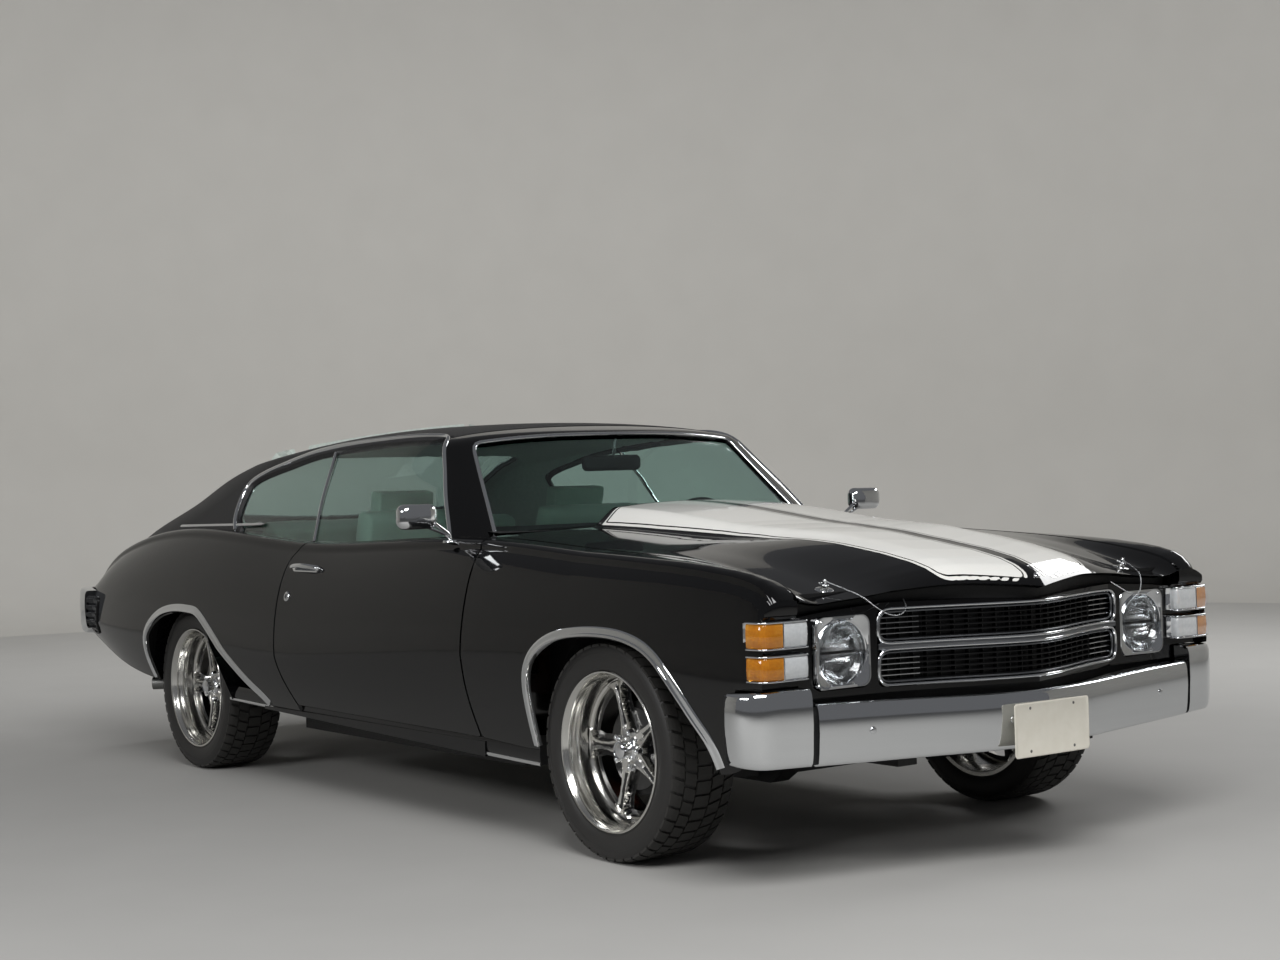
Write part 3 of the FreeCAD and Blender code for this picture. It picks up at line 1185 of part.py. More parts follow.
def make_front_panel():
    layer = nose_layer(NOSE_INSET, NOSE_INSET + NOSE_PANEL)
    lamps = group(turn_lamp_blocks(SEAT_GAP))
    sheet = layer.common(hull(HOOD_PANEL + 2 * SKIN))
    inner = block(0.0, LENGTH, -across(HOOD_HALF_SHARE), across(HOOD_HALF_SHARE), 0.0, HEIGHT)
    behind_lamps = layer.common(hull(TURN_PROUD + SKIN + SEAT_GAP)).cut(inner)
    sides = layer.common(HULL_SKIN).cut(inner).cut(lamps).cut(mirrored(lamps))
    sheet = sheet.fuse(behind_lamps).fuse(sides)
    sheet = sheet.common(block(0.0, LENGTH, -WIDTH, WIDTH, up(NOSE_LOW_SHARE), HEIGHT))
    wing_y = across(FRONT_WING_SHARES[0][1]) - 2 * SKIN
    for low_y, high_y in ((-WIDTH, -wing_y), (wing_y, WIDTH)):
        sheet = sheet.cut(block(0.0, LENGTH, low_y, high_y, 0.0, up(NOSE_SIDE_LOW_SHARE)))
    sheet = sheet.cut(grille_window(up(GRILLE_LOW_SHARE), up(GRILLE_HIGH_SHARE), across(GRILLE_HALF_SHARE),
                                    GRILLE_FRAME * 2))
    for side in (1, -1):
        sheet = sheet.cut(rounded_window(side * LAMP_Y, up(LAMP_Z_SHARE), BEZEL_HALF, BEZEL_HALF, BEZEL_CORNER))
    return sheet


def make_grille():
    low = up(GRILLE_LOW_SHARE)
    high = up(GRILLE_HIGH_SHARE)
    mid = up(GRILLE_MID_SHARE)
    half = across(GRILLE_HALF_SHARE)
    frame = grille_window(low, high, half, GRILLE_FRAME * 2)
    openings = []
    for bottom, top in ((low, mid), (mid, high)):
        openings.append(grille_window(bottom + GRILLE_FRAME, top - GRILLE_FRAME, half - GRILLE_FRAME,
                                      GRILLE_FRAME))
    for opening in openings:
        frame = frame.cut(opening)
    frame = frame.common(nose_layer(NOSE_INSET - GRILLE_FRAME, NOSE_INSET + GRILLE_DEPTH))
    bars = []
    for bottom, top in ((low, mid), (mid, high)):
        pitch = (top - bottom - GRILLE_FRAME) / (BAR_COUNT + 1)
        for index in range(BAR_COUNT):
            z = bottom + GRILLE_FRAME / 2 + (index + 1) * pitch - BAR_THICKNESS / 2
            slab = block(0.0, LENGTH, -half + GRILLE_FRAME / 2, half - GRILLE_FRAME / 2, z, z + BAR_THICKNESS)
            bars.append(slab.common(nose_layer(NOSE_INSET + GRILLE_RECESS, NOSE_INSET + GRILLE_RECESS + BAR_DEPTH)))
    result = frame
    for bar in bars:
        result = result.fuse(bar)
    return result


def make_headlamp():
    x = along(NOSE_SHARES[3][0]) - NOSE_INSET
    z = up(LAMP_Z_SHARE)
    bezel = rounded_window(LAMP_Y, z, BEZEL_HALF, BEZEL_HALF, BEZEL_CORNER)
    bezel = bezel.common(block(x - BEZEL_DEPTH, x + NOSE_INSET, 0.0, WIDTH, 0.0, HEIGHT))
    bezel = bezel.cut(rod(Vec(x, LAMP_Y, z), Vec(x + LENGTH, LAMP_Y, z), LAMP_RADIUS + BEZEL_PROUD))
    lens = rod(Vec(x - BEZEL_PROUD, LAMP_Y, z), Vec(x + BEZEL_PROUD, LAMP_Y, z), LAMP_RADIUS)
    dome = Part.makeSphere((LAMP_RADIUS ** 2 + LAMP_DOME ** 2) / (2 * LAMP_DOME))
    dome.translate(Vec(x + BEZEL_PROUD + LAMP_DOME - (LAMP_RADIUS ** 2 + LAMP_DOME ** 2) / (2 * LAMP_DOME), LAMP_Y, z))
    dome = dome.common(rod(Vec(x, LAMP_Y, z), Vec(x + LENGTH, LAMP_Y, z), LAMP_RADIUS))
    return joined([bezel, lens, dome])


def turn_lamp_blocks(grow):
    front = along(NOSE_SHARES[3][0])
    blocks = []
    for low, high in TURN_LAMP_SHARES:
        blocks.append(block(front - TURN_DEPTH - grow, LENGTH, across(TURN_INNER_SHARE) - grow, WIDTH, up(low) - grow,
                            up(high) + grow))
    return blocks


def make_turn_lamps():
    skin = hull(-TURN_PROUD / 2)
    lamps = []
    for space in turn_lamp_blocks(0.0):
        lamp = space.common(skin).common(nose_prism(TURN_PROUD, 0.0))
        wrap = lamp.cut(hull(TURN_PROUD + SKIN).common(nose_prism(SEAT_GAP - NOSE_INSET, 0.0)))
        lamps.append(wrap)
    return lamps


def bumper_half(rows, end):
    """One half of a bumper as a loft of upright profiles that follow its plan line. end is 1 front, -1 rear."""
    profiles = []
    for x_share, y_share, nx, ny, low, high in rows:
        x = end * along(x_share)
        y = across(y_share)
        normal = Vec(-end * nx, -ny, 0).normalize()
        bottom = up(low)
        top = up(high)
        depth = BUMPER_DEPTH if ny < 0.5 else BUMPER_DEPTH / 2

        def place(back, z):
            return Vec(x + normal.x * back, y + normal.y * back, z)

        middle = (bottom + top) / 2
        face_low, face_high = bottom + 2 * BUMPER_EDGE, top - BUMPER_EDGE
        shelf = place(depth, top)
        foot = place(depth, bottom + BUMPER_EDGE)
        edges = [Part.LineSegment(foot, place(BUMPER_EDGE, bottom)).toShape(),
                 Part.LineSegment(place(BUMPER_EDGE, bottom), place(BUMPER_BOW, face_low)).toShape(),
                 Part.Arc(place(BUMPER_BOW, face_low), place(0.0, middle), place(BUMPER_BOW, face_high)).toShape(),
                 Part.LineSegment(place(BUMPER_BOW, face_high), place(BUMPER_EDGE, top)).toShape(),
                 Part.LineSegment(place(BUMPER_EDGE, top), shelf).toShape(),
                 Part.LineSegment(shelf, foot).toShape()]
        profiles.append(Part.Wire(edges))
    return Part.makeLoft(profiles, True, False)


def make_front_bumper():
    half = bumper_half(FRONT_BUMPER_SHARES, 1).fuse(bumper_half(FRONT_WING_SHARES, 1))
    (tie_x, tie_in), (_, tie_out) = WING_TIE_SHARES
    tie = block(along(tie_x) - 2 * BUMPER_EDGE, along(tie_x), across(tie_in), across(tie_out),
                up(FRONT_BUMPER_SHARES[-1][4]) + 2 * BUMPER_EDGE, up(FRONT_BUMPER_SHARES[-1][5]) - BUMPER_EDGE)
    half = half.fuse(tie)
    rail_end = along(RAIL_SHARES[0][0])
    back = along(FRONT_BUMPER_SHARES[2][0]) - BUMPER_DEPTH
    low = up(FRONT_BUMPER_SHARES[2][4])
    top = front_rail_top()
    side = [(rail_end, top - REAR_RAIL_HEIGHT), (back + BUMPER_EDGE, low + BUMPER_EDGE),
            (back + BUMPER_EDGE, low + RAIL_HEIGHT), (rail_end, top)]
    bracket = side_prism(side, BRACKET_Y - BRACKET_WIDTH / 2, BRACKET_Y + BRACKET_WIDTH / 2)
    half = half.fuse(bracket)
    middle = up(PLATE_TOP_SHARE) - PLATE_HEIGHT / 2
    seat = block(HALF_LENGTH - BUMPER_DEPTH, HALF_LENGTH - PLATE_THICKNESS - SEAT_GAP, -PLATE_BACK_HALF,
                 PLATE_BACK_HALF, middle - PLATE_BACK_HEIGHT / 2, middle + PLATE_BACK_HEIGHT / 2)
    return half.fuse(mirrored(half)).fuse(seat)


def make_rear_bumper():
    half = bumper_half(REAR_BUMPER_SHARES, -1)
    rail_end = along(RAIL_SHARES[5][0])
    top = RAIL_BOTTOM + RAIL_HEIGHT + RAIL_KICK_SHARES[-1][1] * RAIL_KICK
    back = -along(REAR_BUMPER_SHARES[2][0]) + BUMPER_DEPTH
    low = up(REAR_BUMPER_SHARES[2][4])
    side = [(rail_end, top - REAR_RAIL_HEIGHT / 2), (back - BUMPER_EDGE, low + BUMPER_EDGE),
            (back - BUMPER_EDGE, low + 2 * REAR_RAIL_HEIGHT), (rail_end, top)]
    bracket = side_prism(side, REAR_BRACKET_Y - BRACKET_WIDTH / 2, REAR_BRACKET_Y + BRACKET_WIDTH / 2)
    half = half.fuse(bracket)
    for y in TAIL_LAMP_Y:
        z = up(TAIL_LAMP_Z_SHARE)
        half = half.cut(rod(Vec(-LENGTH, y, z), Vec(back - BUMPER_EDGE, y, z), TAIL_LAMP_RADIUS + SEAT_GAP))
    return half.fuse(mirrored(half))


def make_tail_lamps():
    back = -along(REAR_BUMPER_SHARES[2][0]) + BUMPER_DEPTH - BUMPER_EDGE
    z = up(TAIL_LAMP_Z_SHARE)
    lamps = []
    for y in TAIL_LAMP_Y:
        lamp = rod(Vec(back, y, z), Vec(back - TAIL_LAMP_DEPTH, y, z), TAIL_LAMP_RADIUS)
        lamps += [lamp, mirrored(lamp)]
    return lamps


def make_front_plate():
    top = up(PLATE_TOP_SHARE)
    front = HALF_LENGTH
    half = PLATE_WIDTH / 2
    plate = block(front - PLATE_THICKNESS, front, -half, half, top - PLATE_HEIGHT, top)
    middle = top - PLATE_HEIGHT / 2
    for y in (-PLATE_HOLE_SPAN / 2, PLATE_HOLE_SPAN / 2):
        for z in (middle - PLATE_HOLE_RISE / 2, middle + PLATE_HOLE_RISE / 2):
            plate = plate.cut(rod(Vec(0, y, z), Vec(LENGTH, y, z), PLATE_HOLE_RADIUS))
    return plate


def steering_axis():
    tilt = math.radians(STEERING_TILT)
    return Vec(math.cos(tilt), 0, -math.sin(tilt))


def steering_column(grow):
    centre = Vec(along(STEERING_SHARE), STEERING_Y, up(STEERING_Z_SHARE))
    return rod(centre, centre.add(steering_axis().multiply(COLUMN_LENGTH + grow)), COLUMN_RADIUS + grow)


def make_dashboard():
    prism = side_prism(side_points(DASH_SHARES), -DASH_HALF, DASH_HALF)
    split = up(LEVEL_SHARES[0][0]) + SKIN
    low = prism.common(block(0.0, LENGTH, -WIDTH, WIDTH, 0.0, split))
    high = prism.common(glasshouse(ROOF_THICKNESS + DASH_GAP)).common(
        block(0.0, LENGTH, -WIDTH, WIDTH, split, HEIGHT))
    dash = low.fuse(high).removeSplitter().cut(steering_column(SEAT_GAP))
    pillar = block(along(FIREWALL_SHARE) - PILLAR_DEPTH - SEAT_GAP, LENGTH, PILLAR_INNER - SEAT_GAP, WIDTH, 0.0, HEIGHT)
    return dash.cut(pillar).cut(mirrored(pillar))


def make_steering_wheel():
    centre = Vec(along(STEERING_SHARE), STEERING_Y, up(STEERING_Z_SHARE))
    tilt = math.radians(STEERING_TILT)
    axis = steering_axis()
    rim = Part.makeTorus(STEERING_RADIUS, STEERING_RIM, centre, axis)
    pad = rod(centre, centre.add(Vec(axis).multiply(HUB_PAD_DEPTH)), HUB_PAD_RADIUS)
    column = steering_column(0.0)
    spokes = []
    up_dir = Vec(math.sin(tilt), 0, math.cos(tilt))
    for angle in (0, 180, 270):
        turn = math.radians(angle)
        reach = Vec(0, 1, 0).multiply(math.cos(turn) * STEERING_RADIUS).add(
            Vec(up_dir).multiply(math.sin(turn) * STEERING_RADIUS))
        spokes.append(rod(centre.add(Vec(axis).multiply(STEERING_RIM / 2)), centre.add(reach), STEERING_RIM * 0.7))
    return joined([rim, pad, column] + spokes)


def seat_outline(shares, foot_shares, floor):
    """The side view of a seat that stands on a floor sheet."""
    foot = floor + FLOOR_SHEET + SEAT_GAP
    return [(along(foot_shares[0]), foot)] + side_points(shares) + [(along(foot_shares[1]), foot)]


def make_front_seat():
    half = SEAT_WIDTH / 2
    seat = side_prism(seat_outline(FRONT_SEAT_SHARES, FRONT_SEAT_FOOT_SHARES, FLOOR_Z), SEAT_Y - half, SEAT_Y + half)
    half = HEADREST_WIDTH / 2
    rest = side_prism(side_points(HEADREST_SHARES), SEAT_Y - half, SEAT_Y + half)
    return seat.fuse(rest).removeSplitter()


def make_rear_seat():
    seat = seat_outline(REAR_SEAT_SHARES, REAR_SEAT_FOOT_SHARES, REAR_FLOOR_Z)
    return side_prism(seat, -REAR_SEAT_HALF, REAR_SEAT_HALF)


def make_door_mirror():
    x = along(DOOR_MIRROR_SHARE)
    z = up(DOOR_MIRROR_Z_SHARE)
    half = DOOR_MIRROR_WIDTH / 2
    head = block(x - DOOR_MIRROR_DEPTH / 2, x + DOOR_MIRROR_DEPTH / 2, DOOR_MIRROR_Y - half, DOOR_MIRROR_Y + half,
                 z - DOOR_MIRROR_HEIGHT / 2, z + DOOR_MIRROR_HEIGHT / 2)
    foot = Vec(x, STALK_Y, BELT_Z - STALK_RADIUS)
    stalk = rod(foot, Vec(x, DOOR_MIRROR_Y - half + STALK_RADIUS, z - DOOR_MIRROR_HEIGHT / 4), STALK_RADIUS)
    return head.fuse(stalk.cut(HULL_SEAT))


def make_room_mirror():
    x = along(ROOM_MIRROR_SHARE)
    z = up(ROOM_MIRROR_Z_SHARE)
    half = ROOM_MIRROR_WIDTH / 2
    head = block(x - ROOM_MIRROR_DEPTH / 2, x + ROOM_MIRROR_DEPTH / 2, -half, half, z - ROOM_MIRROR_HEIGHT / 2,
                 z + ROOM_MIRROR_HEIGHT / 2)
    header = up(WINDSHIELD_SHARES[3][1]) - SEAT_GAP
    stem = rod(Vec(x, 0, z), Vec(x, 0, header), ROOM_STEM_RADIUS)
    return head.fuse(stem)


def make_tyre(x, side):
    outer = TYRE_WIDTH / 2
    bead = RIM_SEAT_RADIUS + SEAT_GAP
    bead_y = RIM_WIDTH / 2 - RIM_FLANGE
    bulge = (bead + TYRE_RADIUS) / 2
    shoulder = outer - TYRE_SHOULDER
    profile = [(bead, bead_y), (bead + RIM_FLANGE, bead_y + SEAT_GAP), (bulge, outer),
               (TYRE_RADIUS - TYRE_SHOULDER, outer - TYRE_SHOULDER / 3), (TYRE_RADIUS, shoulder),
               (TYRE_RADIUS, -shoulder), (TYRE_RADIUS - TYRE_SHOULDER, -outer + TYRE_SHOULDER / 3), (bulge, -outer),
               (bead + RIM_FLANGE, -bead_y - SEAT_GAP), (bead, -bead_y), (bead, -bead_y + TYRE_WALL),
               (bulge, -outer + TYRE_WALL), (TYRE_RADIUS - TYRE_SHOULDER - TYRE_WALL / 2, -shoulder),
               (TYRE_RADIUS - TYRE_SHOULDER - TYRE_WALL / 2, shoulder), (bulge, outer - TYRE_WALL),
               (bead, bead_y - TYRE_WALL)]
    tyre = spun(profile, 0.0, 0.0)
    tyre.translate(Vec(x, side * HALF_TRACK, AXLE_Z))
    return tyre


def wheel_window(back, front):
    """The opening between two spokes, with its sides along the spokes and its corners rounded."""
    turn = 2 * math.pi / SPOKE_COUNT

    def at(radius, angle):
        return Vec(radius * math.cos(angle), back - SKIN, radius * math.sin(angle))

    foot = math.asin(SPOKE_FOOT_HALF / WINDOW_INNER_RADIUS)
    end = math.asin(SPOKE_END_HALF / WINDOW_OUTER_RADIUS)
    inner_start, inner_end = at(WINDOW_INNER_RADIUS, foot), at(WINDOW_INNER_RADIUS, turn - foot)
    outer_start, outer_end = at(WINDOW_OUTER_RADIUS, end), at(WINDOW_OUTER_RADIUS, turn - end)
    edges = [Part.LineSegment(inner_start, outer_start).toShape(),
             Part.Arc(outer_start, at(WINDOW_OUTER_RADIUS, turn / 2), outer_end).toShape(),
             Part.LineSegment(outer_end, inner_end).toShape(),
             Part.Arc(inner_end, at(WINDOW_INNER_RADIUS, turn / 2), inner_start).toShape()]
    prism = Part.Face(Part.Wire(edges)).extrude(Vec(0, front - back + 2 * SKIN, 0))
    upright = [edge for edge in prism.Edges if len(edge.Vertexes) == 2
               and abs(edge.Vertexes[0].Point.y - edge.Vertexes[1].Point.y) > SKIN]
    return prism.makeFillet(WINDOW_CORNER, upright)


def make_rim(x, side):
    half = RIM_WIDTH / 2
    seat = RIM_SEAT_RADIUS
    inner = seat - RIM_WALL
    drop = seat - 2 * RIM_WALL
    bead_y = half - RIM_FLANGE
    profile = [(inner + RIM_FLANGE, half), (seat + RIM_FLANGE, half - SEAT_GAP), (seat, bead_y + SEAT_GAP),
               (seat, bead_y - 2 * RIM_FLANGE), (drop, bead_y - 4 * RIM_FLANGE), (drop, -bead_y + 4 * RIM_FLANGE),
               (seat, -bead_y + 2 * RIM_FLANGE), (seat, -bead_y - SEAT_GAP), (seat + RIM_FLANGE, -half + SEAT_GAP),
               (inner + RIM_FLANGE, -half), (inner, -bead_y), (drop - RIM_WALL, -bead_y + 4 * RIM_FLANGE),
               (drop - RIM_WALL, bead_y - 4 * RIM_FLANGE), (inner, bead_y)]
    barrel = spun(profile, 0.0, 0.0)
    back = half - SPOKE_FACE_DEPTH - SPOKE_THICKNESS
    front = half - SPOKE_FACE_DEPTH
    centre = drop - RIM_WALL / 2
    disc = spun([(0.0, back), (centre, back), (centre, front - SPOKE_RIDGE), (WINDOW_OUTER_RADIUS, front - SPOKE_RIDGE),
                 (HUB_RADIUS, front), (0.0, front)], 0.0, 0.0)
    hub = rod(Vec(0, -HUB_DEPTH, 0), Vec(0, back, 0), HUB_RADIUS)
    cap = spun([(0.0, front), (CAP_RADIUS, front), (CAP_RADIUS - CAP_EDGE / 2, front + CAP_HEIGHT - CAP_EDGE),
                (CAP_RADIUS - CAP_EDGE, front + CAP_HEIGHT), (0.0, front + CAP_HEIGHT)], 0.0, 0.0)
    brake = rod(Vec(0, -HUB_DEPTH, 0), Vec(0, -HUB_DEPTH + BRAKE_THICKNESS, 0), BRAKE_RADIUS)
    window = wheel_window(back, front)
    for index in range(SPOKE_COUNT):
        hole = window.copy()
        hole.rotate(Vec(0, 0, 0), Vec(0, 1, 0), index * 360 / SPOKE_COUNT)
        disc = disc.cut(hole)
    rim = joined([barrel, disc, hub, cap, brake])
    rim = rim.cut(rod(Vec(0, -WIDTH, 0), Vec(0, front - SPOKE_THICKNESS / 2, 0), HUB_BORE_RADIUS))
    if side < 0:
        rim = mirrored(rim)
    rim.translate(Vec(x, side * HALF_TRACK, AXLE_Z))
    return rim


def make_hood_pins():
    x = along(PIN_SHARE)
    y = across(PIN_Y_SHARE)
    top = hull_top(x, y)
    plate = rod(Vec(x, y, top - PIN_PLATE), Vec(x, y, top + PIN_PLATE), PIN_PLATE_RADIUS)
    pin = rod(Vec(x, y, top), Vec(x, y, top + PIN_HEIGHT), PIN_RADIUS)
    return plate.fuse(pin).cut(HULL_SEAT)


# The lanyard of each hood pin hangs in a loose loop from the pin over the lip of the hood. These points are
# the route on the left side.
LANYARD_ROUTE = (
    (2256.0, 611.0, 828.0),
    (2306.0, 596.0, 810.0),
    (2356.0, 574.0, 790.0),
    (2386.0, 541.0, 752.0),
    (2403.0, 503.0, 730.0),
    (2405.0, 462.0, 737.0),
    (2388.0, 438.0, 757.0),
    (2366.0, 428.0, 772.0),
)


def make_lanyard():
    return bent_tube([Vec(*point) for point in LANYARD_ROUTE], LANYARD_RADIUS)


def hull_top(x, y):
    """Height of the hull's upper surface over a point of the plan."""
    needle = Part.LineSegment(Vec(x, y, 0), Vec(x, y, 2 * HEIGHT)).toShape()
    return max(vertex.Z for vertex in HULL.common(needle).Vertexes)


def save(name, shape):
    shape.exportStep("parts/" + name + ".step")
    print(name, len(shape.Solids), shape.isValid(), round(shape.Volume))


def main():
    os.makedirs("parts", exist_ok=True)
    pairs = {
        "fender": make_fender_full(),
        "door": make_door(),
        "door_glass": glass_sheet(GLASS_INSET, GLASS_THICKNESS).common(door_glass_cutter(0.0, 0.0)),
        "door_mirror": make_door_mirror(),
        "quarter": make_quarter_full(),
        "knuckle": make_knuckle(),
        "lanyard": make_lanyard(),
    }
    for name, shape in pairs.items():
        save(name + "_left", shape)
        save(name + "_right", mirrored(shape))
    deck, tail = make_rear_deck()
    quarter_glass = glass_sheet(GLASS_INSET, GLASS_THICKNESS).common(quarter_glass_cutter())
    inner_fender = make_inner_fender()
    low_arm, high_arm = make_suspension()
    lamps = make_turn_lamps()
    singles = {
        "frame": make_frame(),
        "underbody": make_underbody(),
        "windshield_frame": make_windshield_frame(),
        "roof": make_roof(),
        "windshield": make_windshield(),
        "rear_window": make_rear_window(),
        "quarter_glass": both(quarter_glass),
        "rear_deck": group([deck, tail]),
        "front_panel": make_front_panel(),
        "grille": make_grille(),
        "headlamps": both(make_headlamp()),
        "turn_lamps": group(lamps + [mirrored(lamp) for lamp in lamps]),
        "front_bumper": make_front_bumper(),
        "rear_bumper": make_rear_bumper(),
        "tail_lamps": group(make_tail_lamps()),
        "front_plate": make_front_plate(),
        "engine": make_engine(),
        "radiator": make_radiator(),
        "inner_fenders": both(inner_fender),
        "front_suspension": group([low_arm, high_arm, mirrored(low_arm), mirrored(high_arm)]),
        "rear_axle": make_rear_axle(),
        "exhaust": both(make_exhaust()),
        "fuel_tank": make_fuel_tank(),
        "dashboard": make_dashboard(),
        "steering_wheel": make_steering_wheel(),
        "front_seats": both(make_front_seat()),
        "rear_seat": make_rear_seat(),
        "room_mirror": make_room_mirror(),
        "hood": make_hood(),
        "hood_pins": both(make_hood_pins()),
        "trunk_lid": make_trunk_lid(),
    }
    for name, shape in singles.items():
        save(name, shape)
    for end, x in (("front", FRONT_AXLE_X), ("rear", REAR_AXLE_X)):
        for hand, side in (("left", 1), ("right", -1)):
            save("tyre_" + end + "_" + hand, make_tyre(x, side))
            save("rim_" + end + "_" + hand, make_rim(x, side))


main()
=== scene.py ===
# %% [markdown]
# # A two-door hardtop muscle car
# The CAD model of the car is loaded first and never changed. It fixes where every part sits and
# what turns on what. Each step below then dresses one part of it: some CAD pieces keep their shape
# and only get a finish, and the large body panels are made again as fine, smooth sheets, because a
# gloss black panel shows every facet.

# %% Load the fixed frame
import math

import bmesh
import bpy
import numpy as np
from mathutils import Matrix, Vector
from mathutils.bvhtree import BVHTree


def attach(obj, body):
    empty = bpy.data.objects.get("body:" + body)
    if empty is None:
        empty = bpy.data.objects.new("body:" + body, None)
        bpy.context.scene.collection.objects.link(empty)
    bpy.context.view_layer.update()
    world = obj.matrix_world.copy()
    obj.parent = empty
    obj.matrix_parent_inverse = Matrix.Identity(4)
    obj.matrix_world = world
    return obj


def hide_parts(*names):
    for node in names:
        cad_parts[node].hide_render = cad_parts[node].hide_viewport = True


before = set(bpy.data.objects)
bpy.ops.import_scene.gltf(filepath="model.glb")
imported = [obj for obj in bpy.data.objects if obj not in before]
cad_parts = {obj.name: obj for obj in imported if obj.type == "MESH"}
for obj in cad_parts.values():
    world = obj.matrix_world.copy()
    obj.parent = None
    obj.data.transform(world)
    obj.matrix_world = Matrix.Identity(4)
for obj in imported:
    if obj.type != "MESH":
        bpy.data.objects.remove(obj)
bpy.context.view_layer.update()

# %% [markdown]
# The camera stands where the photographer stood: at chest height, ahead of the right front wheel,
# with a moderate telephoto lens. Its place was solved from points of the car with known sizes, and
# the small shift is the crop of the photograph.

# %% Camera
camera_data = bpy.data.cameras.new("photo_camera")
camera_data.lens = 58.03
camera_data.sensor_width = 36.0
camera_data.sensor_fit = "HORIZONTAL"
camera_data.shift_x = -0.0020
camera_data.shift_y = -0.0064
camera_data.clip_end = 200.0
camera = bpy.data.objects.new("photo_camera", camera_data)
bpy.context.scene.collection.objects.link(camera)
camera.matrix_world = Matrix(((0.5968, 0.0173, 0.8022, 6.489), (0.8019, 0.0232, -0.5970, -4.377),
    (-0.0290, 0.9996, -0.0004, 1.141), (0.0, 0.0, 0.0, 1.0),))
bpy.context.scene.camera = camera
bpy.context.scene.view_settings.view_transform = "Standard"
print("camera at", [round(v, 2) for v in camera.matrix_world.translation])

# %% [markdown]
# Finishes are written as the hex colours a painter would read off a chart. Blender works in linear
# light, so one function turns a hex colour into linear values. A second small function adds a
# shader node with its settings and links, which keeps each recipe below a few lines long.

# %% Colour and node helpers
def paint(hex_colour):
    parts = [int(hex_colour[i:i + 2], 16) / 255 for i in (0, 2, 4)]
    linear = [c / 12.92 if c <= 0.04045 else ((c + 0.055) / 1.055) ** 2.4 for c in parts]
    return (*linear, 1.0)


def add_node(material, kind, settings=(), values=(), links=()):
    """Adds one node. Settings are attributes, values go on sockets, links come from (node, output)."""
    new = material.node_tree.nodes.new(kind)
    for name, value in dict(settings).items():
        setattr(new, name, value)
    for name, value in dict(values).items():
        new.inputs[name].default_value = value
    for name, (source, output) in dict(links).items():
        material.node_tree.links.new(source.outputs[output], new.inputs[name])
    return new


def start_material(name, colour, roughness, metallic=0.0, **sockets):
    material = bpy.data.materials.new(name)
    material.use_nodes = True
    shader = material.node_tree.nodes["Principled BSDF"]
    shader.inputs["Base Color"].default_value = paint(colour)
    shader.inputs["Roughness"].default_value = roughness
    shader.inputs["Metallic"].default_value = metallic
    for socket, value in sockets.items():
        shader.inputs[socket.replace("_", " ")].default_value = value
    return material, shader


def object_scale(material, millimetres):
    """A coordinate that repeats once per the given length in millimetres."""
    place = add_node(material, "ShaderNodeTexCoord")
    return add_node(material, "ShaderNodeMapping", values={"Scale": (1000 / millimetres,) * 3},
            links={"Vector": (place, "Object")})


def grain(material, shader, millimetres, depth_mm, kind="ShaderNodeTexNoise", output="Fac", **values):
    """Bumps the surface with a pattern of a real size and depth."""
    where = object_scale(material, millimetres)
    pattern = add_node(material, kind, (), {"Scale": 1.0, **values}, {"Vector": (where, "Vector")})
    bump = add_node(material, "ShaderNodeBump", values={"Distance": depth_mm / 1000},
            links={"Height": (pattern, output)})
    material.node_tree.links.new(bump.outputs["Normal"], shader.inputs["Normal"])
    return pattern, bump


def vary(material, shader, pattern, output, socket, low, high):
    """Lets a pattern move a colour or a roughness between two values."""
    if isinstance(low, str):
        mix = add_node(material, "ShaderNodeMix", {"data_type": "RGBA"}, links={0: (pattern, output)})
        mix.inputs[6].default_value = paint(low)
        mix.inputs[7].default_value = paint(high)
        material.node_tree.links.new(mix.outputs[2], shader.inputs[socket])
        return mix
    spread = add_node(material, "ShaderNodeMapRange", values={"To Min": low, "To Max": high},
            links={"Value": (pattern, output)})
    material.node_tree.links.new(spread.outputs["Result"], shader.inputs[socket])
    return spread


def material_of(name, colour, roughness, size_mm, depth_mm, low=None, high=None, cells=False, **sockets):
    """A material with a bump of real size. The same pattern may move its colour or its roughness."""
    material, shader = start_material(name, colour, roughness, **sockets)
    kind, output = ("ShaderNodeTexVoronoi", "Distance") if cells else ("ShaderNodeTexNoise", "Fac")
    pattern, bump = grain(material, shader, size_mm, depth_mm, kind, output)
    if low is not None:
        socket = "Base Color" if isinstance(low, str) else "Roughness"
        vary(material, shader, pattern, output, socket, low, high)
    return material


HANDS = (("left", 1), ("right", -1))


def full_circle(steps):
    """Angles that divide one full turn evenly."""
    return np.linspace(0, 2 * math.pi, steps, endpoint=False)


def same_normal(direction, count):
    return np.tile(np.array(direction), (count, 1))


def distance_along(points):
    """How far each point lies along the line through all of them."""
    return np.concatenate(((0,), np.cumsum(np.linalg.norm(np.diff(points, axis=0), axis=1))))


def grid_faces(rows, columns, closed=False):
    """Faces between rows of points. In closed rows the last point joins the first."""
    across = columns if closed else columns - 1
    return [(i * columns + k, i * columns + (k + 1) % columns, (i + 1) * columns + (k + 1) % columns,
            (i + 1) * columns + k) for i in range(rows - 1) for k in range(across)]


def outward(mesh, sharp_degrees):
    """Turns every face outward and keeps edges sharper than the angle crisp."""
    bm = bmesh.new()
    bm.from_mesh(mesh)
    bmesh.ops.recalc_face_normals(bm, faces=bm.faces)
    bm.to_mesh(mesh)
    bm.free()
    mesh.set_sharp_from_angle(angle=math.radians(sharp_degrees))


print("helpers ready")

# %% [markdown]
# The body is gloss black enamel. Black paint is nearly colourless, so what the eye reads is the
# clear, slightly wavy reflection on top of it. One smooth layer gives that: a separate coat over
# it would reflect twice and turn the black to grey. The faint orange peel that sprayed enamel
# keeps is about 4 mm across and a few microns deep.

